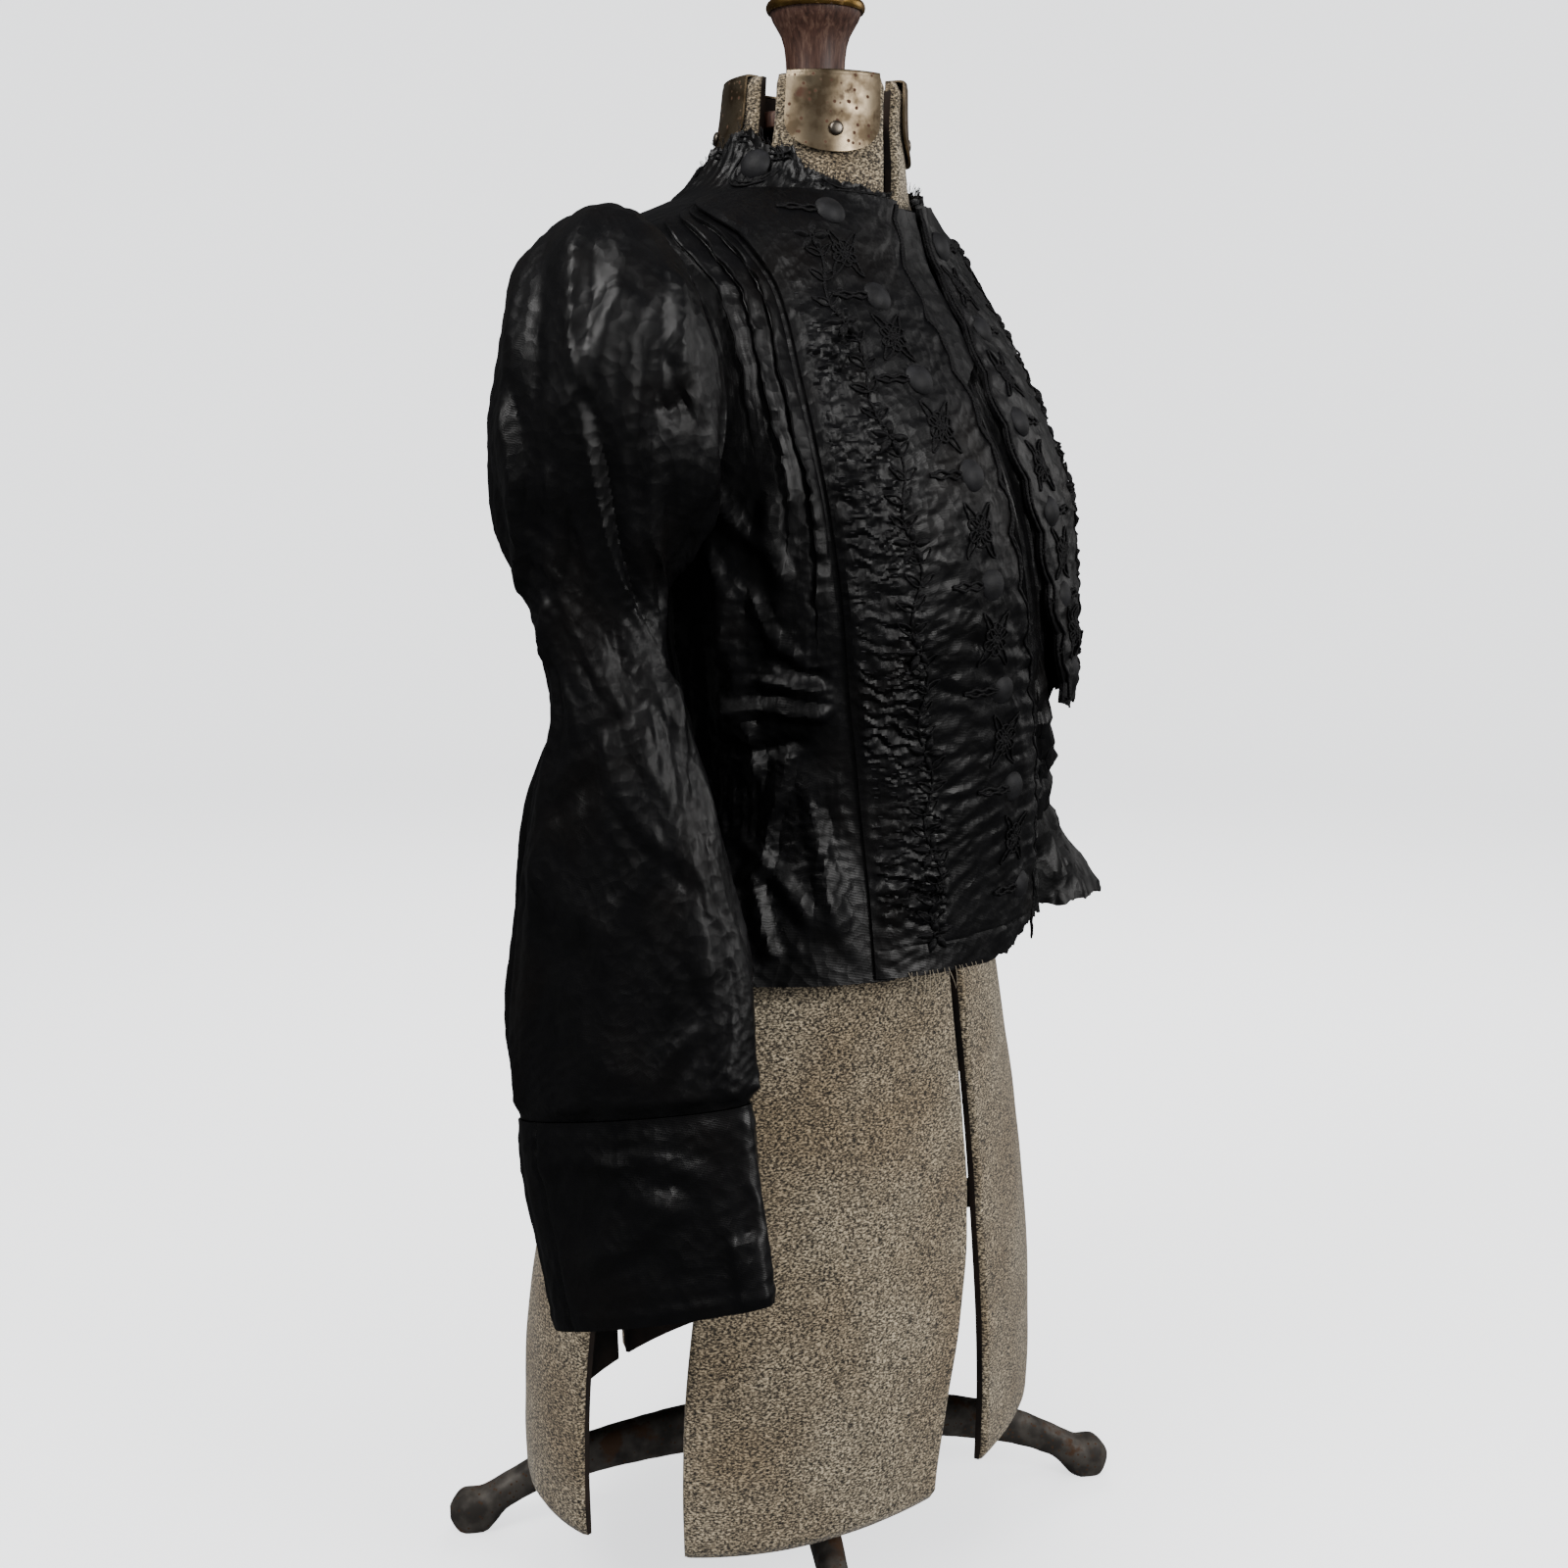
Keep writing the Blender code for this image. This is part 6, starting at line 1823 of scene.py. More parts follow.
@dataclass
class SideFronts:
    """The two side fronts, each with three tucks that open from the shoulder to the bust."""

    finish: bpy.types.Material
    top_z: float = 0.8460
    underlap: float = 4.6
    least_underlap: float = 0.4
    band_clear: float = 1.2
    tuck_height: float = 0.0036
    tuck_step: float = 0.5
    tuck_end_z: tuple[float, float, float] = (0.700, 0.640, 0.590)
    tuck_fade: float = 0.060
    soft_share: float = 0.30
    crisp_share: float = 1.0
    flat_size: tuple[float, float] = (0.20, 0.46)
    flat_area: float = 0.053

    def build(self) -> None:
        """Build and place both side fronts."""
        for side in Side:
            word = side.name.lower()
            panel = self.panel(f"tucked_side_front_{word}", side)
            place_piece(panel, Body.FORM, "taffeta", f"side_front_{word}")

    def panel(self, name: str, side: Side) -> bpy.types.Object:
        """Return one side front.

        Args:
            name: of the piece.
            side: right or left.

        Returns:
            The panel.
        """
        levels = panel_rows(HEM_Z, self.top_z, 190 if side is Side.RIGHT else 90, 50, 18)
        angles, height = self.columns(levels, side)
        z = np.broadcast_to(levels[:, None], angles.shape)

        def surface(degrees: Array, level: Array) -> Array:
            """Return points of the panel's line.

            Args:
                degrees: angle from the front, in degrees.
                level: the levels.

            Returns:
                The points.
            """
            band_edge = columns_at(TUCK_LINES, level)[3]
            window = ramp(degrees, band_edge, band_edge + 5.0) * ramp(SIDE_ANGLE - degrees, 0.0, 3.0)
            fold = self.soft_share * fold_height(SIDE_FRONT_FOLDS, degrees, level) * window
            return cloth_law(side.value * degrees, level, fold)

        band_edge = columns_at(TUCK_LINES, z)[3]
        free = ramp(angles, band_edge + 1.0, band_edge + 6.0) * ramp(SIDE_ANGLE - angles, 0.0, 4.0)
        waist = np.exp(-(((z - 0.535) / 0.075) ** 2))
        creases = crinkles(angles, z, 1.5, 11 + side.value, 18.0) * (0.5 + 0.9 * waist)
        sharp = self.crisp_share * crease_height(BODY_CREASES, angles, z, (math.radians(CHART_RADIUS), 1.0))
        drag = sharp + self.shirring(angles, z)
        relief = (creases + drag) * free + height
        return wall_piece(name, surface, angles, z, core_of(z), 0.0, TAFFETA, self.finish, relief)

    def columns(self, levels: Array, side: Side) -> tuple[Array, Array]:
        """Return the angle of every column at every level, and the height of its tuck.

        Args:
            levels: of the rows.
            side: right or left, which differ in how their tucks wander.

        Returns:
            Rows x columns of angles in degrees, and of heights in metres.
        """
        tuck_1, tuck_2, tuck_3, band_edge = columns_at(TUCK_LINES, levels)
        seed = 40.0 + 13.0 * side.value
        room = ramp(0.835 - levels, 0.0, 0.03)
        lines = []
        for number, line in enumerate((tuck_1, tuck_2, tuck_3)):
            wander = [noise.noise(Vector((z * 70.0, number * 9.1, seed))) for z in levels]
            nick = [noise.noise(Vector((z * 230.0, number * 4.3, seed + 7.0))) for z in levels]
            lines.append(line + (0.50 * np.array(wander) + 0.45 * np.array(nick)) * room)
        start = SIDE_ANGLE - half_seam(levels) - armhole_half(levels)
        step = np.minimum(self.tuck_step, 0.25 * np.abs(tuck_2 - tuck_3))
        clear = np.minimum(self.band_clear, 0.3 * (tuck_3 - band_edge))
        angles = [start + (lines[0] - start) * share for share in np.linspace(0.0, 0.97, 30)]
        height = [np.zeros_like(levels)] * 30
        # The fold's section: angle in steps from its line, and share of its height
        section = ((0.0, 0.0), (-0.45, 0.10), (-0.20, 0.45), (0.30, 0.80), (0.15, 1.0), (-0.60, 1.06))
        for number, line in enumerate(lines):
            end_z = self.tuck_end_z[number]
            fade = ramp(levels, end_z, end_z + self.tuck_fade) * (1.0 - 0.85 * ramp(levels, 0.822, 0.842))
            crimp = np.array([noise.noise(Vector((z * 160.0, number * 5.7, seed + 3.0))) for z in levels])
            crest = self.tuck_height * fade * (1.0 + 0.75 * crimp * room)
            following = lines[number + 1] if number < 2 else band_edge + clear
            for across, up in section:
                angles.append(line + step * across * (0.4 + 0.6 * fade))
                height.append(crest * up)
            begin = line - step * 0.8
            for share in np.linspace(0.12, 0.94, 12):
                angles.append(begin + (following - begin) * share)
                height.append(crest * (1.0 - share) ** 0.8)
        under = self.underlap * ramp(0.856 - levels, 0.0, 0.040) + self.least_underlap
        for share in (0.0, 0.2, 0.5, 1.0):
            angles.append(band_edge + clear - (clear + under) * share)
            height.append(np.zeros_like(levels))
        return np.stack(angles, axis=1), np.stack(height, axis=1)

    def shirring(self, degrees: Array, z: Array) -> Array:
        """Return the short upright gathers of the patch at the side of the waist.

        Args:
            degrees: angle from the front, in degrees.
            z: the levels.

        Returns:
            The height at each place.
        """
        patch = ramp(degrees, 67.0, 69.5) * ramp(82.5 - degrees, 0.0, 2.0)
        patch = patch * ramp(z, 0.484, 0.492) * ramp(0.534 - z, 0.0, 0.010)
        rows = 0.5 + 0.5 * np.cos(np.radians(degrees * 150.0))
        return 0.0009 * patch * rows


@dataclass
class Back:
    """The fitted back, cut in one from side seam to side seam."""

    finish: bpy.types.Material
    columns: int = 90
    flat_size: tuple[float, float] = (0.46, 0.50)
    flat_area: float = 0.195

    def build(self) -> None:
        """Build and place the back."""
        levels = panel_rows(HEM_Z, NECK_SEAM_Z, 76, 50, 20)
        start = SIDE_ANGLE + half_seam(levels) + armhole_half(levels)
        even = np.linspace(0.0, 1.0, self.columns)
        crowded = 0.5 - 0.5 * np.cos(math.pi * even)
        share = even + (crowded - even) * ramp(levels, 0.70, 0.83)[:, None]
        degrees = start[:, None] + (360.0 - 2.0 * start)[:, None] * share
        z = np.broadcast_to(levels[:, None], degrees.shape)

        def surface(angle: Array, level: Array) -> Array:
            """Return points of the panel's line."""
            window = ramp(angle, 92.0, 100.0) * ramp(268.0 - angle, 0.0, 8.0)
            return cloth_law(angle, level, fold_height(BACK_FOLDS, angle, level) * window)

        free = ramp(degrees, 91.0, 97.0) * ramp(269.0 - degrees, 0.0, 6.0)
        relief = crinkles(degrees, z, 1.0, 21, 34.0) * free * (0.5 + 0.7 * ramp(0.62 - z, 0.0, 0.1))
        seams = self.seams(degrees, z)
        piece = wall_piece(
            "fitted_back", surface, degrees, z, core_of(z), 0.0, TAFFETA, self.finish, relief + seams * free
        )
        place_piece(piece, Body.FORM, "taffeta", "back")

    def seams(self, degrees: Array, z: Array) -> Array:
        """Return the shallow valleys of the curved back seams and the middle seam.

        Args:
            degrees: angle from the front, in degrees.
            z: the levels.

        Returns:
            The height at each place.
        """
        valley = np.zeros_like(z)
        spread = 13.0 + 40.0 * ramp(z, 0.50, 0.76)
        for line in (180.0 - spread, np.full_like(z, 180.0), 180.0 + spread):
            valley -= 0.0009 * np.exp(-(((degrees - line) / 0.55) ** 2))
        return valley


@dataclass
class SleevePair:
    """Two full-headed sleeves with their deep turned-back cuffs."""

    sleeve_finish: bpy.types.Material
    chart_start: float = 70.0
    chart_radius: float = 0.052
    chart_length: float = 0.50
    large_crinkle: float = 0.036
    small_crinkle: float = 0.011
    rows: dict[Side, int] = field(default_factory=lambda: {Side.RIGHT: 230, Side.LEFT: 104})
    sides: dict[Side, int] = field(default_factory=lambda: {Side.RIGHT: 196, Side.LEFT: 94})
    armhole_blend: float = 0.055
    soft_share: float = 0.25
    crisp_share: float = 1.0
    seam_gap: float = 0.0009
    left_head_back: float = 0.030
    left_end_back: float = 0.092
    left_head_drop: float = 0.026
    sleeve_size: tuple[float, float] = (0.44, 0.52)
    sleeve_area: float = 0.146
    tab_rise: float = 0.0022
    cuff_size: tuple[float, float] = (0.37, 0.125)
    cuff_area: float = 0.0400

    def build(self) -> None:
        """Build and place sleeves and cuffs."""
        for side in Side:
            word = side.name.lower()
            sleeve = self.sleeve(f"gathered_sleeve_{word}", side)
            place_piece(sleeve, Body.FORM, "taffeta", f"sleeve_{word}")
            cuff = self.cuff(f"deep_cuff_{word}", side)
            place_piece(cuff, Body.FORM, "taffeta", f"cuff_{word}")

    def ring(self, rings: Sequence[SleeveRing], along: Array) -> list[Array]:
        """Return the ring's fields at each share of the length."""
        keyed = [KeyedRing(k / (len(rings) - 1), *astuple(ring)) for k, ring in enumerate(rings)]
        return columns_at(keyed, along)

    def centre(self, rings: Sequence[SleeveRing], along: Array, side: Side) -> Array:
        """Return the middle of the sleeve's ring at each share of its length.

        Args:
            rings: the rings from top to end.
            along: share of the length at each place.
            side: right or left.

        Returns:
            The middle at each place.
        """
        x_in, z_in, x_out, z_out, y, _fore, _rise = self.ring(rings, along)
        back = np.zeros_like(x_in)
        drop = np.zeros_like(x_in)
        if side is Side.LEFT:
            share = np.asarray(along) if rings is SLEEVE_RINGS else np.ones_like(x_in)
            back = self.left_head_back * ramp(share, 0.02, 0.15)
            back = back + (self.left_end_back - self.left_head_back) * ramp(0.66 - z_in, 0.0, 0.35)
            drop = self.left_head_drop * ramp(share, 0.0, 0.08) * ramp(0.50 - share, 0.0, 0.25)
        x = 0.5 * (x_in + x_out)
        return np.stack([side.value * x, y + back, 0.5 * (z_in + z_out - drop)], axis=-1) + NECK

    def point(
        self, rings: Sequence[SleeveRing], folds: Sequence[SleeveFold], degrees: Array, along: Array, side: Side
    ) -> Array:
        """Return points of a sleeve or cuff.

        Args:
            rings: its rings from top to end.
            folds: its folds.
            degrees: angle round the ring, from the outer side over the front to the body side.
            along: share of its length.
            side: right or left.

        Returns:
            The points.
        """
        x_in, z_in, x_out, _z_out, _y, half_fore, rise = self.ring(rings, along)
        centre = self.centre(rings, along, side)
        top = 2.0 * centre[..., 2] - z_in
        angle = np.radians(degrees)
        out = side.value * 0.5 * (x_out - x_in) * np.cos(angle)
        fore = -half_fore * np.sin(angle)
        up = 0.5 * (top - z_in) * np.cos(angle) + rise * half_fore * np.sin(angle)
        edge = np.stack([out, fore, up], axis=-1)
        length = np.maximum(np.linalg.norm(edge, axis=-1, keepdims=True), 1e-9)
        total = np.zeros(np.shape(out))
        for fold in folds:
            share = (along - fold.along_top) / (fold.along_end - fold.along_top)
            middle = fold.angle_top + (fold.angle_end - fold.angle_top) * np.clip(share, 0.0, 1.0)
            turn = (degrees - middle + 180.0) % 360.0 - 180.0
            fade = ramp(share, -0.35, 0.15) * ramp(1.35 - share, 0.0, 0.5)
            total += self.soft_share * fold.height * fade * np.exp(-((turn / fold.half_angle) ** 2))
        return centre + edge * (1.0 + total[..., None] / length)

    def armhole_seat(self, degrees: Array, side: Side) -> Array:
        """Return the points over the armhole's edge where the sleeve is set in.

        Args:
            degrees: angle round the armhole.
            side: right or left.

        Returns:
            The points.
        """
        angle = np.radians(degrees)
        z = ARMHOLE_Z + ARMHOLE_HALF_HEIGHT * np.cos(angle)
        place = side.value * (SIDE_ANGLE - ARMHOLE_HALF_ANGLE * np.sin(angle))
        normal = normals_of(cloth_law, place, z, core_of(z))
        return cloth_law(place, z) + normal * (TAFFETA + self.seam_gap)

    def sleeve(self, name: str, side: Side) -> bpy.types.Object:
        """Return one sleeve from its armhole to the cuff seam.

        Args:
            name: of the piece.
            side: right or left.

        Returns:
            The sleeve.
        """
        early = np.linspace(0.0, 0.12, 34)
        along = np.concatenate([early, np.linspace(0.12, 1.0, self.rows[side] - 33)[1:]])
        degrees = 360.0 * np.arange(self.sides[side]) / self.sides[side]
        u, v = grid_of(degrees, along)

        def surface(angle: Array, share: Array) -> Array:
            """Return points of the tube's line.

            Args:
                angle: angle round the tube, in degrees.
                share: share of the length or width.

            Returns:
                The points.
            """
            point = self.point(SLEEVE_RINGS, SLEEVE_FOLDS, angle, share, side)
            blend = ramp(share, 0.0, self.armhole_blend)[..., None]
            return self.armhole_seat(angle, side) * (1.0 - blend) + point * blend

        lift = -TAFFETA * ramp(v, 0.0, 2.0 * self.armhole_blend)
        gathers = self.gathers(u, v)
        free = ramp(v, 0.05, 0.16) * ramp(1.0 - v, 0.0, 0.03)
        creases = self.crinkles(u, v, 0.0022, 31 + side.value) * free
        sharp = self.crisp_share * self.wrapped(SLEEVE_CREASES, u, v, 0.50) * free
        core = self.centre(SLEEVE_RINGS, v, side)
        relief = gathers + creases + sharp - 0.0018 * ramp(v, 0.05, 0.16)
        return wall_piece(name, surface, u, v, core, lift, TAFFETA, self.sleeve_finish, relief, ring=True)

    def gathers(self, degrees: Array, along: Array) -> Array:
        """Return the small pleats where the head is gathered into the armhole.

        Args:
            degrees: angle round the sleeve.
            along: share of the length.

        Returns:
            The height at each place.
        """
        top = np.exp(-((((degrees + 180.0) % 360.0 - 180.0) / 75.0) ** 2))
        pleat = np.abs(np.sin(np.radians(degrees * 13.0) + 0.6 * np.sin(np.radians(degrees * 3.0))))
        fade = ramp(along, 0.004, 0.02) * ramp(0.17 - along, 0.0, 0.13)
        return 0.0022 * top * (pleat - 0.3) * fade

    def wrapped(self, creases: Sequence[Crease], degrees: Array, along: Array, length: float) -> Array:
        """Return the height of creases on a tube, whose chart starts at its hidden side."""
        around = (degrees + self.chart_start) % 360.0 - self.chart_start
        return crease_height(creases, around, along, (math.radians(self.chart_radius), length))

    def crinkles(self, degrees: Array, along: Array, depth: float, seed: int) -> Array:
        """Return the crisp crinkles of a tube, which fade out along its hidden side.

        Args:
            degrees: angle round the tube.
            along: share of the length.
            depth: height of the largest.
            seed: of the noise.

        Returns:
            The height at each place.
        """
        around = (degrees + self.chart_start) % 360.0 - self.chart_start
        seam = ramp(around, -self.chart_start, 12.0 - self.chart_start)
        seam = seam * ramp(360.0 - self.chart_start - around, 0.0, 12.0)
        across = np.radians(around) * self.chart_radius
        down = along * self.chart_length
        large = facets(across, down, self.large_crinkle, depth, seed, 0.7)
        small = facets(across, down, self.small_crinkle, depth * 0.24, seed + 50, SMALL_LEAN)
        return (large + small + facets(across, down, FINE_CRINKLE, depth * 0.09, seed + 70, SMALL_LEAN)) * seam

    def cuff(self, name: str, side: Side) -> bpy.types.Object:
        """Return one deep cuff whose hem slants up to the front.

        Args:
            name: of the piece.
            side: right or left.

        Returns:
            The cuff.
        """
        degrees = 360.0 * np.arange(self.sides[side]) / self.sides[side]
        u, v = grid_of(degrees, np.linspace(0.0, 1.0, 48))

        def surface(angle: Array, share: Array) -> Array:
            """Return points of the tube's line."""
            return self.point(CUFF_RINGS, CUFF_FOLDS, angle, share, side)

        free = ramp(v, 0.02, 0.12) * ramp(1.0 - v, 0.0, 0.06)
        creases = self.crinkles(u, v * 0.22, 0.0012, 51 + side.value) * free
        creases = creases + self.wrapped(CUFF_CREASES, u, v, 0.115) * free
        seam = -0.0010 * np.exp(-(((u - 316.0) / 1.3) ** 2))
        seam = seam + self.tab_rise * ramp(v, 0.64, 0.68) * ramp(u, 50.0, 58.0) * ramp(90.0 - u, 0.0, 14.0)
        hem = -0.0006 * np.exp(-(((v - 0.90) / 0.02) ** 2))
        core = self.centre(CUFF_RINGS, v, side)
        relief = creases + seam + hem - 0.0006
        return wall_piece(name, surface, u, v, core, -TAFFETA, BAND_CLOTH, self.sleeve_finish, relief, ring=True)


@dataclass(frozen=True)
class KeyedRing:
    """A sleeve ring with its share of the sleeve's length."""

    along: float
    x_in: float
    z_in: float
    x_out: float
    z_out: float
    y: float
    half_fore: float
    fore_rise: float


@dataclass
class Band:
    """One embroidered front band: its cloth, its corded edge, its vine and its rosettes."""

    side: Side
    cloth: bpy.types.Material
    silk_cord: bpy.types.Material
    thread: bpy.types.Material
    pale_thread: bpy.types.Material
    buttons: tuple[tuple[float, float], ...]
    flat_size: tuple[float, float]
    flat_area: float
    end_z: float = 0.552
    flare: float = 0.011
    flare_length: float = 0.09
    rag_depth: float = 0.006
    corner_rise: float = 0.014
    lift_outer: float = 0.0019
    lift_inner: float = 0.0034
    scallop_depth: float = 2.0
    scallop_pitch: float = 0.030
    smocked_share: float = 0.36
    hem_stitch_z: float = 0.4235
    # Width and height of the gathers between the stitches, and of the puckers elsewhere
    smocking: tuple[float, float] = (0.0062, 0.0017)
    puckers: tuple[float, float] = (0.021, 0.0014)
    small_puckers: tuple[float, float] = (0.009, 0.0004)

    def scallop(self, z: Array) -> Array:
        """Return how far the scalloped edge reaches at each level, in degrees."""
        return self.scallop_depth * np.abs(np.sin(math.pi * np.asarray(z) / self.scallop_pitch))

    def edges(self, z: Array) -> tuple[Array, Array]:
        """Return the angles of the band's outer and inner edge at each level.

        Args:
            z: the levels.

        Returns:
            The angle of the outer edge, and of the inner.
        """
        outer = columns_at(TUCK_LINES, z)[3]
        right, left = columns_at(BAND_EDGES, z)
        if self.side is Side.RIGHT:
            return -outer, right + self.scallop(z)
        return outer, left - self.scallop(z)

    def stand_off(self, z: Array) -> Array | float:
        """Return how far the torn end of the left band stands away at each level.

        Args:
            z: the levels.

        Returns:
            The distance at each level.
        """
        if self.side is Side.RIGHT:
            return 0.0
        return self.flare * ramp(self.end_z + self.flare_length - z, 0.0, self.flare_length)

    def surface(self, share: Array, z: Array) -> Array:
        """Return points of the band's line at a share of its width from the outer edge."""
        outer, inner = self.edges(z)
        return cloth_law(outer + (inner - outer) * share, z, self.stand_off(z))

    def lift(self, share: Array, z: Array) -> Array:
        """Return how far the band lies over its line."""
        outer = self.lift_outer + 0.0009 * ramp(z, 0.79, 0.82)
        return outer + (self.lift_inner - outer) * ramp(share, 0.0, 0.35)

    def relief(self, share: Array, z: Array) -> Array:
        """Return the height of smocking, puckers and hem line on the band.

        Args:
            share: share of the width from the outer edge.
            z: the levels.

        Returns:
            The height at each place.
        """
        outer, inner = self.edges(z)
        degrees = outer + (inner - outer) * share
        smocked = ramp(self.smocked_share - share, 0.0, 0.05) * ramp(share, 0.02, 0.06)
        smocked = smocked * ramp(z, 0.425, 0.45) * ramp(0.80 - z, 0.0, 0.05)
        across = np.radians(degrees) * CHART_RADIUS
        bent = z + 0.0016 * np.sin(share * 31.0 + 9.0 * np.sin(z * 41.0)) + 0.0011 * np.sin(share * 67.0 + z * 260.0)
        gather = facets(bent, across, *self.smocking, 67 + self.side.value, 0.25)
        puckers = facets(z, across, *self.puckers, 61 + self.side.value, 1.0)
        puckers = puckers + facets(z, across, *self.small_puckers, 64 + self.side.value, 1.2)
        flat = 1.0 - 0.6 * ramp(z, 0.77, 0.82)
        edge = ramp(share, 0.0, 0.03) * ramp(1.0 - share, 0.0, 0.05)
        hem = -0.0009 * np.exp(-(((z - self.hem_stitch_z - 0.004 * share) / 0.0008) ** 2))
        rows = smocked * (gather - 0.0006)
        return rows + (puckers * flat * (1.0 - 0.35 * smocked) + (hem if self.side is Side.RIGHT else 0.0)) * edge

    def build(self) -> None:
        """Build and place the band and everything sewn on it."""
        word = self.side.name.lower()
        shares = np.linspace(0.0, 1.0, 81)
        if self.side is Side.RIGHT:
            levels = np.concatenate([np.linspace(HEM_Z + 0.002, 0.800, 290), np.linspace(0.800, NECK_SEAM_Z, 40)[1:]])
            u, z = grid_of(shares, levels)
            nick = np.abs(np.sin(u * 37.0)) * 0.6 + np.abs(np.sin(u * 90.0 + 1.0)) * 0.4
            torn = self.corner_rise * ramp(u, 0.66, 1.0) + 0.004 * nick * ramp(u, 0.55, 0.70)
            z = z + torn * ramp(0.47 - z, 0.0, 0.06)
        else:
            u, v = grid_of(shares[::2], np.linspace(0.0, 1.0, 225))
            saw = np.abs(np.sin(u * 11.4)) * 0.6 + np.abs(np.sin(u * 25.8 + 1.0)) * 0.4
            fray = 0.12 * np.abs(np.sin(u * 160.0 + 9.0 * np.sin(u * 31.0)))
            end = self.end_z + self.rag_depth * (saw + fray) * ramp(1.0 - v, 0.5, 1.0)
            z = end + (NECK_SEAM_Z - end) * v
        core = core_of(np.full(u.shape, 0.70 if self.side is Side.RIGHT else 0.55))
        strip = wall_piece(
            f"embroidered_band_{word}",
            self.surface,
            u,
            z,
            core,
            self.lift(u, z),
            BAND_CLOTH,
            self.cloth,
            self.relief(u, z),
        )
        place_piece(strip, Body.FORM, "embroidered_taffeta", f"band_{word}")
        trims = [self.vine(word), self.edge_cord(word), self.rosettes(word), self.smocking_stitches(word)]
        if self.side is Side.RIGHT:
            trims.append(self.frayed_threads(word))
        for trim in trims:
            place_piece(trim, Body.FORM, "embroidered_taffeta")

    def seat(self, degrees: float, z: float) -> "Seat":
        """Return a place on the band's face with its own directions."""
        return Seat.on(self, degrees, z)

    def vine_line(self) -> list[tuple[float, float]]:
        """Return the places of the vine's flowers as angle and level."""
        if self.side is Side.RIGHT:
            return [
                (-50.5, 0.824),
                (-45.9, 0.775),
                (-40.6, 0.713),
                (-38.6, 0.657),
                (-37.2, 0.600),
                (-32.1, 0.539),
                (-28.6, 0.480),
                (-27.0, 0.430),
            ]
        return [(47.0, 0.828), (42.5, 0.782), (38.0, 0.735), (35.6, 0.684), (34.0, 0.632), (32.0, 0.583)]

    def vine(self, word: str) -> bpy.types.Object:
        """Return the vine of leaf sprays with small leaf pairs between them.

        Args:
            word: the side's name.

        Returns:
            The vine.
        """
        parts = MeshParts()
        flowers = self.vine_line()
        for number, (degrees, z) in enumerate(flowers):
            seat = self.seat(degrees, z)
            tilt = 12.0 * math.sin(number * 2.1)
            for turn, length in ((90, 0.0100), (10, 0.0118), (-60, 0.0108), (240, 0.0108), (170, 0.0118)):
                seat.leaf(parts, 0.0010, math.radians(turn + tilt), length, 0.0052, 0.0030)
            seat.ring(parts, (0.0, 0.0), 0.0014, 0.0016)
        for (start_degrees, start_z), (end_degrees, end_z) in zip(flowers[:-1], flowers[1:]):
            steps = max(2, int(round((start_z - end_z) / 0.0140)))
            for step in range(1, steps + 1):
                share = (step - 0.25) / (steps + 0.5)
                sway = 1.4 * math.sin(math.pi * 2.0 * share)
                place = self.seat(
                    start_degrees + (end_degrees - start_degrees) * share + sway, start_z + (end_z - start_z) * share
                )
                for turn in (35.0, 145.0):
                    place.loop(parts, math.radians(turn + 12.0 * (step % 2)), 0.0105, 0.0048, 0.0013)
            shares = np.linspace(0.10, 0.92, 26)
            sway = 1.4 * np.sin(math.pi * 2.0 * shares)
            line = np.stack(
                [
                    start_degrees + (end_degrees - start_degrees) * shares + sway,
                    start_z + (end_z - start_z) * shares,
                ],
                axis=-1,
            )
            self.cord_along(parts, line, 0.0016, 0.0015)
        return parts.make(f"vine_embroidery_{word}", self.silk_cord)

    def face(self, degrees: Array, z: Array) -> tuple[Array, Array]:
        """Return points and normals of the band's outer face at angles and levels.

        Args:
            degrees: angle from the front, in degrees.
            z: the levels.

        Returns:
            The points, and the unit normals there.
        """
        outer, inner = self.edges(z)
        share = np.clip((degrees - outer) / (inner - outer), 0.0, 1.0)

        def line(angle: Array, level: Array) -> Array:
            """Return points of the band's line."""
            return cloth_law(angle, level, self.stand_off(level))

        core = core_of(np.full(np.shape(z), 0.60))
        normal = normals_of(line, degrees, z, core)
        height = self.lift(share, z) + BAND_CLOTH + self.relief(share, z)
        return line(degrees, z) + normal * height[..., None], normal

    def cord_along(self, parts: MeshParts, line: Array, width: float, height: float) -> None:
        """Add a cord that lies on the band along angle and level pairs."""
        points, normals = self.face(line[:, 0], line[:, 1])
        parts.cord(points + normals * (0.35 * height), normals, width, height)

    def edge_cord(self, word: str) -> bpy.types.Object:
        """Return the doubled cord that binds the scalloped edge.

        Args:
            word: the side's name.

        Returns:
            The cord.
        """
        parts = MeshParts()
        low = HEM_Z + 0.005 if self.side is Side.RIGHT else self.end_z + 0.008
        z = np.arange(low, NECK_SEAM_Z - 0.002, 0.0011)
        _outer, inner = self.edges(z)
        for inset, width in ((0.35, 0.0022), (1.55, 0.0017)):
            self.cord_along(parts, np.stack([inner + self.side.value * inset, z], axis=-1), width, 0.0018)
        knots = z[:: int(self.scallop_pitch / 0.0011)]
        for level in knots:
            edge = float(self.edges(np.array(level))[1])
            self.seat(edge + self.side.value * 0.8, float(level)).ring(parts, (0.0, 0.0), 0.0016, 0.0013)
        return parts.make(f"scalloped_edge_cord_{word}", self.silk_cord)

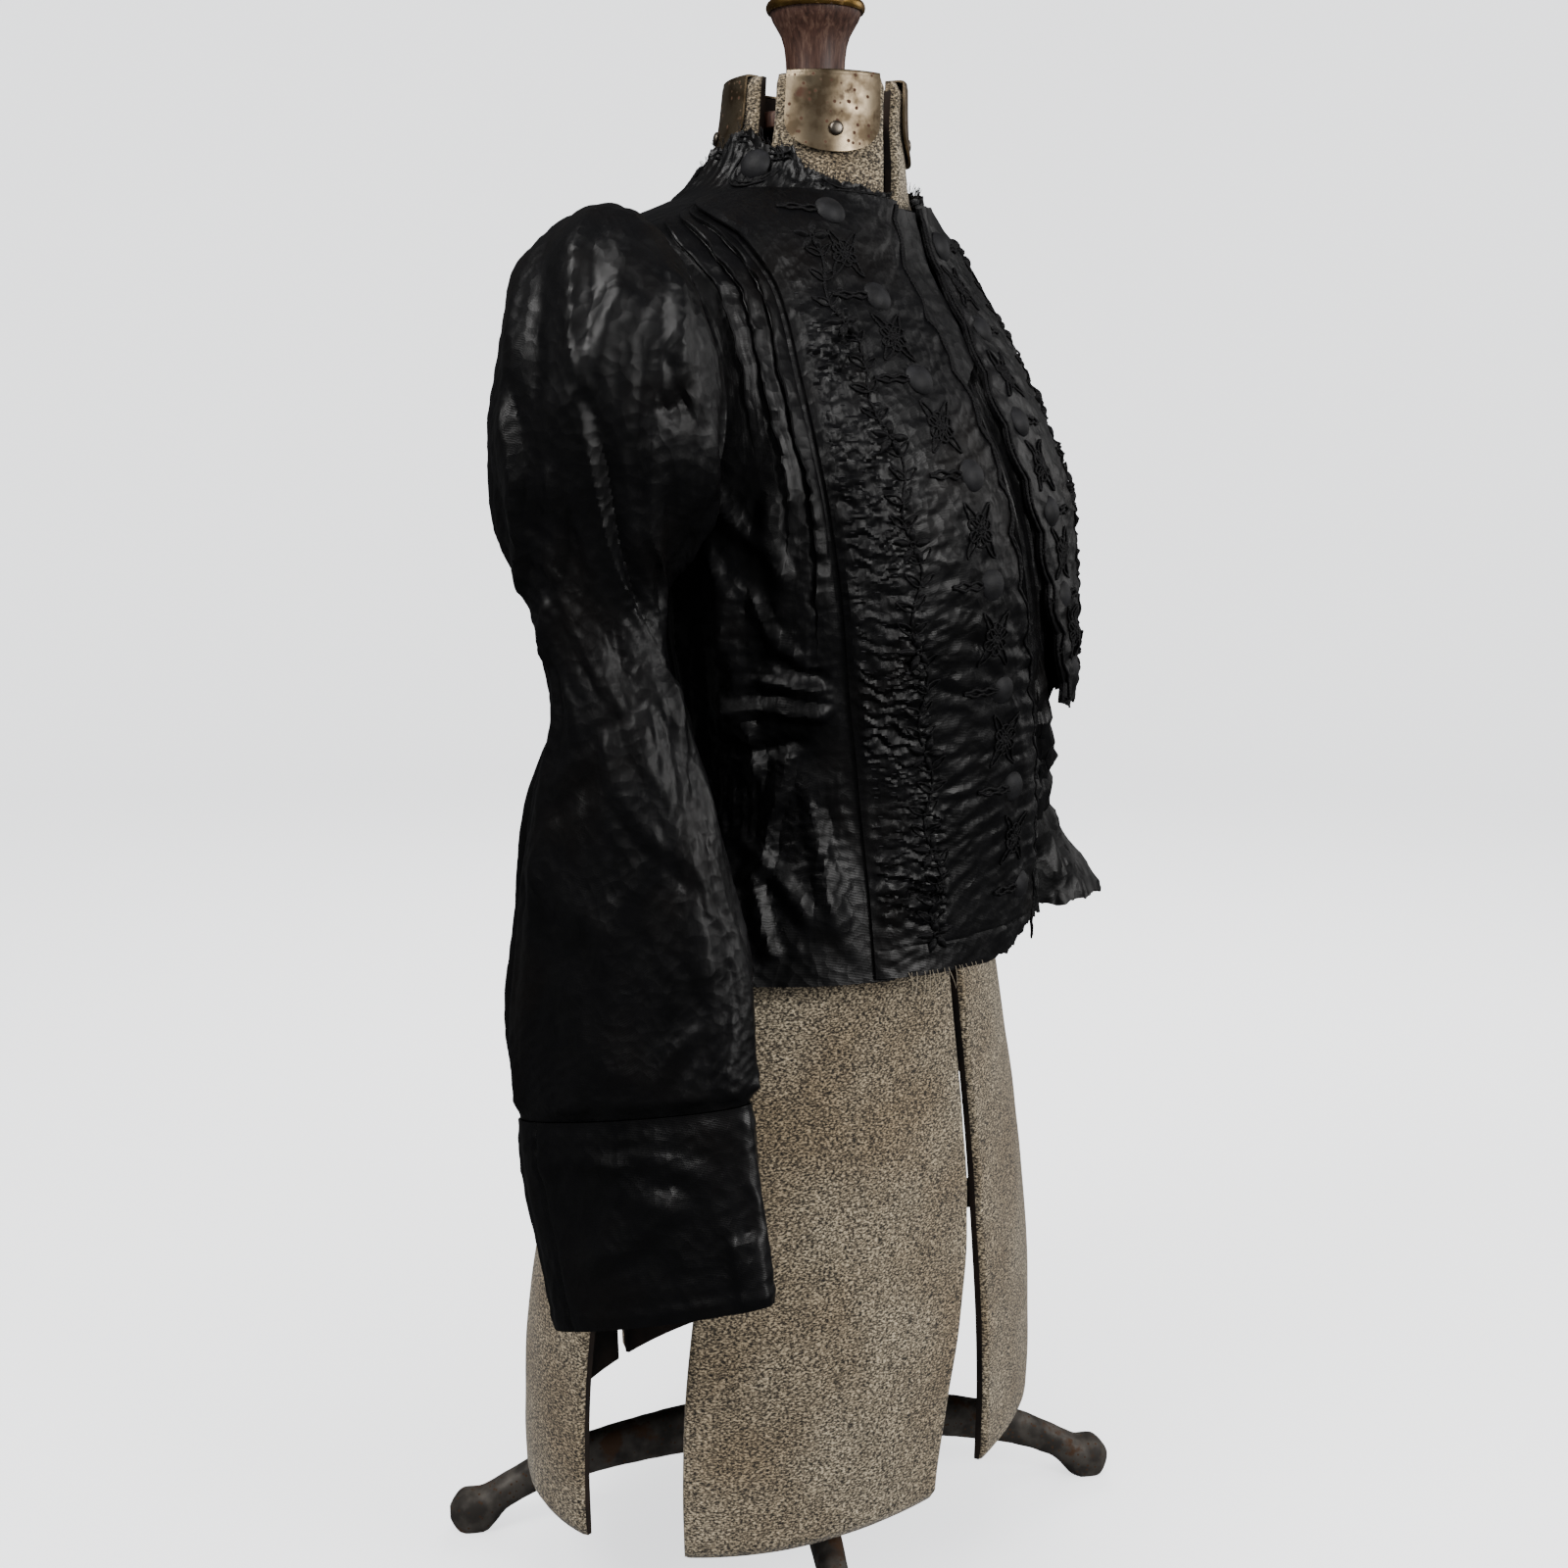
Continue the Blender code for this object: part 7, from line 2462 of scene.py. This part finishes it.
    def rosettes(self, word: str) -> bpy.types.Object:
        """Return the looped cord rosettes between the buttons, and the loops that hold these.

        Args:
            word: the side's name.

        Returns:
            The rosettes and loops.
        """
        parts = MeshParts()
        places = list(self.buttons)
        for (upper_degrees, upper_z), (lower_degrees, lower_z) in zip(places[:-1], places[1:]):
            middle = 0.5 * (upper_degrees + lower_degrees) + self.side.value * 1.6
            seat = self.seat(middle, 0.5 * (upper_z + lower_z))
            for petal in range(6):
                turn = math.radians(90.0 + 60.0 * petal)
                seat.ring(parts, (0.0060 * math.cos(turn), 0.0060 * math.sin(turn)), 0.0030, 0.0016)
            seat.ring(parts, (0.0, 0.0), 0.0018, 0.0017)
            for turn in (55.0, 125.0, 235.0, 305.0):
                seat.loop(parts, math.radians(turn), 0.0185, 0.0060, 0.0014)
        for degrees, z in places:
            seat = self.seat(degrees, z)
            for rise in (0.0015, -0.0015):
                seat.tongue(parts, self.side.value, rise)
        return parts.make(f"rosette_and_loop_cord_{word}", self.silk_cord)

    def smocking_stitches(self, word: str) -> bpy.types.Object:
        """Return the rows of short stitches along the smocked strip.

        Args:
            word: the side's name.

        Returns:
            The stitches.
        """
        parts = MeshParts()
        low = 0.432 if self.side is Side.RIGHT else self.end_z + 0.012
        for column, start in enumerate(np.linspace(0.07, self.smocked_share - 0.05, 4)):
            for level in np.arange(low + 0.0029 * (column % 2), 0.800, 0.0058):
                wander = noise.noise(Vector((level * 190.0, column * 7.3, 1.0)))
                share = start + 0.022 * wander
                outer, inner = self.edges(np.array(level))
                seat = self.seat(float(outer + (inner - outer) * share), float(level))
                seat.leaf(parts, -0.0017, 0.0, 0.0034, 0.0010, 0.0008)
        return parts.make(f"smocking_stitches_{word}", self.thread)

    def frayed_threads(self, word: str) -> bpy.types.Object:
        """Return the pale and dark threads that hang at the hem's torn corner.

        Args:
            word: the side's name.

        Returns:
            The threads.
        """
        parts = MeshParts()
        for number in range(16):
            degrees = -34.0 + 22.0 * ((number * 0.618) % 1.0)
            start, normal = self.face(np.array(degrees), np.array(0.4095))
            t = np.linspace(0.0, 1.0, 14)[:, None]
            reach = 0.008 + 0.010 * ((number * 0.37) % 1.0)
            bend = noise.noise(Vector((number * 3.3, 0.7, 2.0)))
            side_way = np.cross(normal, [0.0, 0.0, 1.0])
            line = start + normal * 0.0006 + normal * (0.0035 * np.sin(2.2 * t) * (0.4 + abs(bend)))
            line = line + side_way * (bend * 0.010 * t**1.5) - np.array([0.0, 0.0, 1.0]) * (reach * t)
            parts.cord(line, np.repeat(normal[None], len(t), axis=0), 0.0003, 0.0003, 4)
        return parts.make(f"frayed_hem_threads_{word}", self.pale_thread)


@dataclass
class Seat:
    """A place on a band's face, with metres per degree and per level round it."""

    band: Band
    degrees: float
    z: float
    per_degree: float
    per_level: float

    @classmethod
    def on(cls, band: Band, degrees: float, z: float) -> "Seat":
        """Return the seat at an angle and level of a band.

        Args:
            band: the band that carries it.
            degrees: its angle from the front.
            z: its level.

        Returns:
            The seat.
        """
        step = cloth_law(np.array([degrees - 0.5, degrees + 0.5]), np.array([z, z]))
        rise = cloth_law(np.array([degrees, degrees]), np.array([z - 0.001, z + 0.001]))
        return cls(
            band,
            degrees,
            z,
            float(np.linalg.norm(step[1] - step[0])),
            float(np.linalg.norm(rise[1] - rise[0])) / 0.002,
        )

    def line(self, across: Array, up: Array) -> Array:
        """Return angle and level pairs for places in metres across and up from the seat."""
        return np.stack([self.degrees + across / self.per_degree, self.z + up / self.per_level], axis=-1)

    def leaf(self, parts: MeshParts, start: float, turn: float, length: float, width: float, height: float) -> None:
        """Add a satin-stitch leaf that points away from the seat.

        Args:
            parts: where it goes.
            start: its root's distance from the seat.
            turn: its direction, in radians from across.
            length: of the leaf.
            width: of the leaf.
            height: of its ridge.
        """
        ends = np.array([start, start + length])
        line = self.line(ends * math.cos(turn), ends * math.sin(turn))
        points, normals = self.band.face(line[:, 0], line[:, 1])
        along = points[1] - points[0]
        size = float(np.linalg.norm(along))
        parts.leaf(points[0] - normals[0] * 0.0002, along / size, normals[0], size, width, height + 0.0002)

    def loop(self, parts: MeshParts, turn: float, length: float, width: float, cord: float) -> None:
        """Add a leaf drawn in outline by a cord that leaves the seat and comes back to it.

        Args:
            parts: what the shape is added to.
            turn: the way it points, in radians.
            length: from end to end.
            width: across it.
            cord: thickness of its cord.
        """
        turns = np.linspace(0.0, 2.0 * math.pi, 17)
        along = 0.5 * length * (1.0 - np.cos(turns))
        side = 0.5 * width * np.sin(turns) * (0.75 + 0.25 * np.cos(turns))
        across = along * math.cos(turn) - side * math.sin(turn)
        up = along * math.sin(turn) + side * math.cos(turn)
        self.band.cord_along(parts, self.line(across, up), cord, cord)

    def ring(self, parts: MeshParts, centre: tuple[float, float], radius: float, width: float) -> None:
        """Add a ring of cord about a place near the seat.

        Args:
            parts: what the shape is added to.
            centre: of the ring.
            radius: of its middle line.
            width: thickness of its cord.
        """
        turns = np.linspace(0.0, 2.0 * math.pi, 15)
        line = self.line(centre[0] + radius * np.cos(turns), centre[1] + radius * np.sin(turns))
        self.band.cord_along(parts, line, width, width * 0.9)

    def tongue(self, parts: MeshParts, way: int, rise: float) -> None:
        """Add one half of a long loop of cord that runs from the seat across the band.

        Args:
            parts: what the shape is added to.
            way: 1 or -1, the side to which it points.
            rise: its height on the cloth.
        """
        reach = np.linspace(0.004, 0.030, 24)
        wave = rise * (1.0 + 0.45 * np.sin(reach * 620.0))
        line = self.line(way * reach, wave * np.sqrt(np.clip((0.0305 - reach) / 0.006, 0.0, 1.0)))
        self.band.cord_along(parts, line, 0.0021, 0.0019)


@dataclass
class Vest:
    """The pin-tucked vest between the bands, and the plain flap that hangs over its top."""

    finish: bpy.types.Material
    top_z: float = 0.8500
    hem_z: float = 0.424
    lift: float = -0.0005
    flare: float = 0.040
    wave: float = 0.006
    underlap: float = 8.0
    free_underlap: float = 6.4
    torn_z: float = 0.552
    pin_tucks: int = 20
    flap_lift: float = 0.0017
    flap_top_z: float = 0.8480
    flap_end_z: float = 0.7370
    flap_point: float = 0.018
    flap_point_share: float = 0.30
    flap_width: float = 18.0

    def build(self) -> None:
        """Build and place vest and flap."""
        vest = self.vest()
        place_piece(vest, Body.FORM, "taffeta", "vest")
        flap = self.flap()
        place_piece(flap, Body.FORM, "taffeta", "vest_flap")

    def edges(self, z: Array) -> tuple[Array, Array]:
        """Return the angles of the vest's two edges at each level.

        Args:
            z: the levels.

        Returns:
            The angle of the right edge, and of the left.
        """
        right, left = columns_at(BAND_EDGES, z)
        spread = ramp(self.torn_z - z, 0.0, 0.05)
        high = left + self.underlap
        front_edge = columns_at(TUCK_LINES, z)[3] - self.free_underlap
        return right - self.underlap, high + (front_edge - high) * spread

    def hem(self, share: Array) -> Array:
        """Return the level of the ragged lower edge.

        Args:
            share: share of the width from the outer edge.

        Returns:
            The level at each place.
        """
        saw = np.abs(np.sin(share * 13.3)) * 0.6 + np.abs(np.sin(share * 30.1 + 1.0)) * 0.4
        fray = np.abs(np.sin(share * 140.0 + 5.0 * np.sin(share * 23.0)))
        return self.hem_z - 0.010 * (1.0 - share) + 0.004 * saw + 0.0012 * fray

    def vest(self) -> bpy.types.Object:
        """Return the vest, which hangs free in a flared corner below the left band."""
        u, v = grid_of(np.linspace(0.0, 1.0, 126), np.linspace(0.0, 1.0, 80))
        hem = self.hem(u)
        z = hem + (self.top_z - hem) * v

        def surface(share: Array, level: Array) -> Array:
            """Return points of the panel's line at a share of its width.

            Args:
                share: share of the length or width.
                level: the levels.

            Returns:
                The points.
            """
            low, high = self.edges(level)
            flare = self.flare * ramp(share, 0.45, 1.0) * ramp(0.505 - level, 0.0, 0.09)
            loose = ramp(0.60 - level, 0.0, 0.08) * ramp(share, 0.25, 0.6)
            wave = self.wave * loose * np.sin(share * 13.0 + level * 22.0)
            return cloth_law(low + (high - low) * share, level, flare + wave)

        tucked = ramp(z, 0.560, 0.640) * ramp(0.790 - z, 0.0, 0.02)
        wander = swell(surface(u, z), 26.0, 77.0) * 0.10
        saw = (u * self.pin_tucks + wander) % 1.0
        ridge = np.where(saw < 0.16, saw / 0.16, (1.0 - saw) / 0.84) ** 1.4
        low, high = self.edges(z)
        creases = crinkles(low + (high - low) * u, z, 2.6, 71, 16.0) * ramp(0.62 - z, 0.0, 0.08)
        relief = 0.0015 * ridge * tucked + creases
        core = core_of(np.full(u.shape, 0.55))
        return wall_piece("pin_tucked_vest", surface, u, z, core, self.lift, TAFFETA, self.finish, relief)

    def flap(self) -> bpy.types.Object:
        """Return the plain flap that ends in a point."""
        u, v = grid_of(np.linspace(0.0, 1.0, 46), np.linspace(0.0, 1.0, 70))
        fray = 0.0012 * np.abs(np.sin(u * 47.0 + 3.0 * np.sin(u * 19.0))) * ramp(1.0 - v, 0.8, 1.0)
        edge_z = self.flap_end_z + self.flap_point * np.abs(u - self.flap_point_share) / (1.0 - self.flap_point_share)
        edge_z = edge_z + fray
        z = edge_z + (self.flap_top_z - edge_z) * v

        def surface(share: Array, level: Array) -> Array:
            """Return points of the panel's line at a share of its width.

            Args:
                share: share of the length or width.
                level: the levels.

            Returns:
                The points.
            """
            right, left = columns_at(BAND_EDGES, level)
            low = right - 4.0
            high = np.minimum(left - 2.5, right + self.flap_width - 7.0 * ramp(0.78 - level, 0.0, 0.04))
            return cloth_law(low + (high - low) * share, level)

        creases = crinkles(u * 18.0, z, 0.6, 81, 26.0)
        core = core_of(np.full(u.shape, 0.55))
        return wall_piece("pointed_flap", surface, u, z, core, self.flap_lift, TAFFETA, self.finish, creases)


@dataclass
class Collar:
    """The standing collar, torn along its top, with its frill, cords and loose threads."""

    finish: bpy.types.Material
    silk_cord: bpy.types.Material
    thread: bpy.types.Material
    stand: float = 0.0052
    start: float = -12.0
    span: float = 336.0
    rag: float = 0.0022
    frill_height: float = 0.0016
    tops: tuple[tuple[float, float], ...] = (
        (-152.0, 0.8700),
        (-140.0, 0.8760),
        (-130.0, 0.8790),
        (-122.0, 0.8860),
        (-108.0, 0.8865),
        (-103.0, 0.8930),
        (-92.0, 0.8950),
        (-80.0, 0.8830),
        (-68.0, 0.8840),
        (-60.0, 0.8710),
        (-48.0, 0.8660),
        (-36.0, 0.8630),
        (-24.0, 0.8600),
        (-12.0, 0.8590),
    )

    def top(self, degrees: Array) -> Array:
        """Return the height of the torn edge, the same on both sides of the neck."""
        turn = np.where(degrees > -180.0, degrees, -360.0 - degrees)
        return np.interp(turn, [row[0] for row in self.tops], [row[1] for row in self.tops])

    def surface(self, degrees: Array, z: Array) -> Array:
        """Return points of the collar's inner line."""
        radius, centre_y = form_radius(degrees, z)
        return around(radius + self.stand, degrees, centre_y, z)

    def build(self) -> None:
        """Build and place the collar and what is sewn on it."""
        u, v = grid_of(np.linspace(0.0, 1.0, 380), np.linspace(0.0, 1.0, 24))
        degrees = self.start - self.span * u
        base = NECK_SEAM_Z + SEAM_GAP * 1.6
        saw = np.abs(np.sin(u * 171.0)) * 0.6 + np.abs(np.sin(u * 387.0 + 1.0)) * 0.4
        fray = 0.0010 * np.abs(np.sin(u * 1210.0 + 7.0 * np.sin(u * 97.0)))
        crest = self.top(degrees) - self.rag * saw - fray
        z = base + (crest - base) * v
        beat = np.radians(degrees * 17.0) + 2.0 * np.sin(np.radians(degrees * 3.0))
        frill = self.frill_height * np.sin(beat) * ramp(v, 0.3, 1.0)
        relief = frill + crinkles(degrees, z, 0.9, 91, 12.0) * ramp(v, 0.0, 0.3)
        core = core_of(np.full(u.shape, NECK_SEAM_Z))
        piece = wall_piece("torn_collar", self.surface, degrees, z, core, 0.0, TAFFETA, self.finish, relief)
        place_piece(piece, Body.FORM, "taffeta", "collar")
        trims = [self.cords(), self.loose_threads()]
        for trim in trims:
            place_piece(trim, Body.FORM, "taffeta")

    def on_face(self, degrees: Array, z: Array, out: float) -> tuple[Array, Array]:
        """Return points that lie out from the collar's face, and the face's normals.

        Args:
            degrees: angle from the front, in degrees.
            z: the levels.
            out: how far out they lie.

        Returns:
            The points, and the unit normals there.
        """
        core = core_of(np.full(np.shape(z), NECK_SEAM_Z))
        normals = normals_of(self.surface, degrees, z, core)
        return self.surface(degrees, z) + normals * out, normals

    def cords(self) -> bpy.types.Object:
        """Return the corded scallops under the torn edge and the loops about the top button."""
        parts = MeshParts()
        degrees = np.arange(-14.0, -346.0, -0.55)
        wave = np.abs(np.sin(np.radians(degrees * 11.0)))
        for drop, size in ((0.0045, 0.0016), (0.0078, 0.0013)):
            z = np.maximum(self.top(degrees) - drop - 0.0022 * wave, NECK_SEAM_Z + 0.003)
            points, normals = self.on_face(degrees, z, TAFFETA + 0.0014)
            parts.cord(points, normals, size, size)
        turns = np.linspace(0.2, 2.0 * math.pi - 0.2, 40)
        for radius in (0.0125, 0.0150):
            loop_degrees = -83.0 + np.degrees(radius * np.cos(turns) / 0.07)
            z = 0.8705 + radius * 0.9 * np.sin(turns)
            keep = (z < self.top(loop_degrees) - 0.001) & (z > NECK_SEAM_Z + 0.002)
            runs = np.split(np.arange(len(z)), np.where(np.diff(keep.astype(int)))[0] + 1)
            for run in runs:
                if keep[run[0]] and len(run) > 3:
                    points, normals = self.on_face(loop_degrees[run], z[run], TAFFETA + 0.0015)
                    parts.cord(points, normals, 0.0017, 0.0016)
        return parts.make("collar_cording", self.silk_cord)

    def loose_threads(self) -> bpy.types.Object:
        """Return the short threads that stand out of the torn edge."""
        parts = MeshParts()
        for number in range(230):
            degrees = -16.0 - 328.0 * ((number * 0.61803) % 1.0)
            level = float(self.top(np.array(degrees))) - self.rag * 0.6
            start, normal = self.on_face(np.array(degrees), np.array(level), TAFFETA * 0.5)
            lean = np.array([noise.noise(Vector((number * 1.7, k * 5.1, 4.0))) for k in range(3)])
            way = np.array([0.0, 0.0, 1.0]) + normal * 0.35 + lean * 1.4
            t = np.linspace(0.0, 1.0, 6)[:, None]
            length = 0.0028 + 0.0040 * ((number * 0.37) % 1.0)
            curl = np.cross(way, normal) * (0.35 * lean[0])
            line = start + (way * t + curl * t**2) * (length / max(float(np.linalg.norm(way)), 0.5))
            line[:, 2] = np.minimum(line[:, 2], 0.8985)
            parts.cord(line, np.repeat(normal[None], 6, axis=0), 0.00035, 0.00035, 4)
        return parts.make("collar_fray", self.thread)


@dataclass
class ButtonRows:
    """Domed covered buttons down both bands and one on the collar."""

    finish: bpy.types.Material
    bands: dict[Side, Band]
    collar: Collar
    radius: float = 0.0095
    height: float = 0.0060

    def build(self) -> None:
        """Build and place every button over its CAD node's seat."""
        for side, band in self.bands.items():
            word = side.name.lower()
            offset = 1
            if side is Side.RIGHT:
                offset = 2
                degrees, z = np.array(-84.0), np.array(0.8710)
                _seat, normal = self.collar.on_face(degrees, z, 0.0)
                self.button("covered_button_right_1", "button_right_1", normal)
            for number, (degrees, z) in enumerate(band.buttons):
                node = f"button_{word}_{number + offset}"
                core = core_of(np.array(z))
                normal = normals_of(cloth_law, np.array(degrees), np.array(z), core)
                self.button(f"covered_{node}", node, normal)

    def button(self, name: str, node: str, normal: Array) -> None:
        """Build one button on the place that its CAD node holds.

        Args:
            name: of the piece.
            node: the CAD node that it stands for.
            normal: the way that it faces.
        """
        verts = np.array([vertex.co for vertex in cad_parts[node].data.vertices])
        depth = verts @ normal
        middle = 0.5 * (verts.max(axis=0) + verts.min(axis=0))
        seat = middle + normal * (depth.min() - float(middle @ normal))
        steps = (
            (0.40, -0.12),
            (0.62, -0.06),
            (0.88, 0.04),
            (0.975, 0.10),
            (1.000, 0.18),
            (0.975, 0.28),
            (0.900, 0.44),
            (0.790, 0.60),
            (0.650, 0.75),
            (0.490, 0.87),
            (0.310, 0.95),
            (0.130, 0.99),
            (0.010, 1.00),
        )
        profile = [Profile(self.radius * row[0], self.height * row[1]) for row in steps]
        piece = turned_piece(name, profile, self.finish, seat, normal, 40)
        place_piece(piece, Body.FORM, "covered_button", node)


@dataclass
class Studio:
    """Pale seamless paper, large soft lights and the camera."""

    paper: str = "#e9eaec"
    paper_glow: float = 1.9
    air_strength: float = 0.62
    mirrored_strength: float = 0.07
    camera_place: tuple[float, float, float] = (-1.0588, -0.6813, 0.707)
    camera_way: tuple[float, float, float] = (0.8272, 0.5371, -0.1650)
    focal_px: float = 2019.0
    image_px: float = 1600.0
    sensor_mm: float = 36.0

    def build(self) -> None:
        """Build the paper, the lights and the camera."""
        self.sweep()
        self.lamp("key_softbox", (-1.55, 0.35, 2.1), (0.0, 0.0, 0.55), 0.9, 34.0)
        self.lamp("front_softbox", (-0.3, -2.3, 1.5), (0.0, 0.0, 0.5), 0.9, 36.0)
        self.lamp("top_softbox", (0.2, -0.2, 2.6), (0.0, 0.0, 0.5), 1.6, 26.0, mirrored=False)
        self.lamp("rim_softbox", (1.7, 1.0, 1.6), (0.0, 0.0, 0.6), 1.0, 20.0, mirrored=False)
        self.lamp("side_softbox", (2.2, -1.3, 1.3), (0.0, 0.0, 0.6), 1.4, 9.0)
        self.air()
        self.camera()

    def air(self) -> None:
        """Light the room: fully for matt surfaces, faintly for what a sheen mirrors."""
        world = bpy.data.worlds.new("studio_air")
        world.use_nodes = True
        tree = world.node_tree
        mirrored = add_node(tree, "ShaderNodeLightPath").outputs["Is Glossy Ray"]
        strength = add_node(
            tree,
            "ShaderNodeMapRange",
            {"To Min": self.air_strength, "To Max": self.mirrored_strength},
            {"Value": mirrored},
        )
        air = tree.nodes["Background"]
        air.inputs["Color"].default_value = linear("#f1f2f4")
        tree.links.new(strength.outputs["Result"], air.inputs["Strength"])
        bpy.context.scene.world = world

    def sweep(self) -> None:
        """Build the floor that curves up into the backdrop."""
        material = PlainMatt("studio_paper", self.paper, "#eeeff1", 0.95, 900.0).material()
        turns = np.linspace(0.0, 2.0 * math.pi, 97)[:-1]
        rows = [(0.001, 0.0), (0.8, 0.0), (2.2, 0.0), (3.2, 0.0)]
        rows += [(3.2 + 1.0 * math.sin(t), 1.0 - 1.0 * math.cos(t)) for t in np.linspace(0.1, 0.5 * math.pi, 14)]
        rows += [(4.2, 2.4), (4.2, 4.0)]
        verts = np.array([[r * math.cos(t), r * math.sin(t), z] for r, z in rows for t in turns])
        index = np.arange(len(rows) * 96).reshape(len(rows), 96)
        after = np.roll(index, -1, axis=1)
        quads = np.stack([index[:-1], after[:-1], after[1:], index[1:]], axis=-1).reshape(-1, 4)
        floor = new_piece("studio_floor", verts - [0.0, 0.0, 0.0002], quads.tolist(), material)
        shader = material.node_tree.nodes["Principled BSDF"]
        shader.inputs["Emission Color"].default_value = linear(self.paper)
        shader.inputs["Emission Strength"].default_value = self.paper_glow
        # The glow is for the eye only, so that the paper lights nothing
        floor.visible_diffuse = False
        floor.visible_glossy = False

    def lamp(
        self,
        name: str,
        place: Sequence[float],
        target: Sequence[float],
        size: float,
        watts: float,
        mirrored: bool = True,
    ) -> None:
        """Add one square soft light that faces a target.

        Args:
            name: of the light.
            place: its middle.
            target: where it faces.
            size: of its side.
            watts: its power.
            mirrored: whether the silk's sheen shows it.
        """
        data = bpy.data.lights.new(name, "AREA")
        data.size = size
        data.energy = watts
        data.color = (1.0, 0.985, 0.97)
        obj = bpy.data.objects.new(name, data)
        obj.location = place
        obj.visible_glossy = mirrored
        way = Vector(target) - Vector(place)
        obj.rotation_euler = way.to_track_quat("-Z", "Y").to_euler()
        bpy.context.scene.collection.objects.link(obj)

    def camera(self) -> None:
        """Add the camera at the place and lens of the view that the object is known from."""
        data = bpy.data.cameras.new("view_camera")
        data.sensor_width = self.sensor_mm
        data.lens = self.focal_px / self.image_px * self.sensor_mm
        obj = bpy.data.objects.new("view_camera", data)
        obj.location = self.camera_place
        obj.rotation_euler = Vector(self.camera_way).to_track_quat("-Z", "Y").to_euler()
        bpy.context.scene.collection.objects.link(obj)
        bpy.context.scene.camera = obj


def main() -> None:
    """Build every sub-assembly in order."""
    logging.basicConfig(level=logging.INFO, format="%(name)s: %(message)s")
    finishes = Finishes.make()
    Stand().build(finishes)
    DressForm().build(finishes)
    SideFronts(finishes.taffeta).build()
    Back(finishes.taffeta).build()
    SleevePair(finishes.taffeta).build()
    Vest(finishes.taffeta).build()
    sewn = (finishes.band, finishes.silk_cord, finishes.thread, finishes.pale_thread)
    right_buttons = (
        (-44.5, 0.8395),
        (-33.5, 0.7910),
        (-29.0, 0.7450),
        (-21.5, 0.6930),
        (-18.5, 0.6330),
        (-12.5, 0.5725),
        (-5.0, 0.5120),
        (2.5, 0.4485),
    )
    left_buttons = ((17.0, 0.8280), (13.0, 0.7770), (5.5, 0.7230), (9.0, 0.6720), (12.5, 0.6220), (18.0, 0.5770))
    bands = {
        Side.RIGHT: Band(Side.RIGHT, *sewn, right_buttons, (0.15, 0.50), 0.064),
        Side.LEFT: Band(Side.LEFT, *sewn, left_buttons, (0.15, 0.36), 0.047),
    }
    for band in bands.values():
        band.build()
    collar = Collar(finishes.taffeta, finishes.silk_cord, finishes.thread)
    collar.build()
    ButtonRows(finishes.button, bands, collar).build()
    Studio().build()


if __name__ == "__main__":
    main()
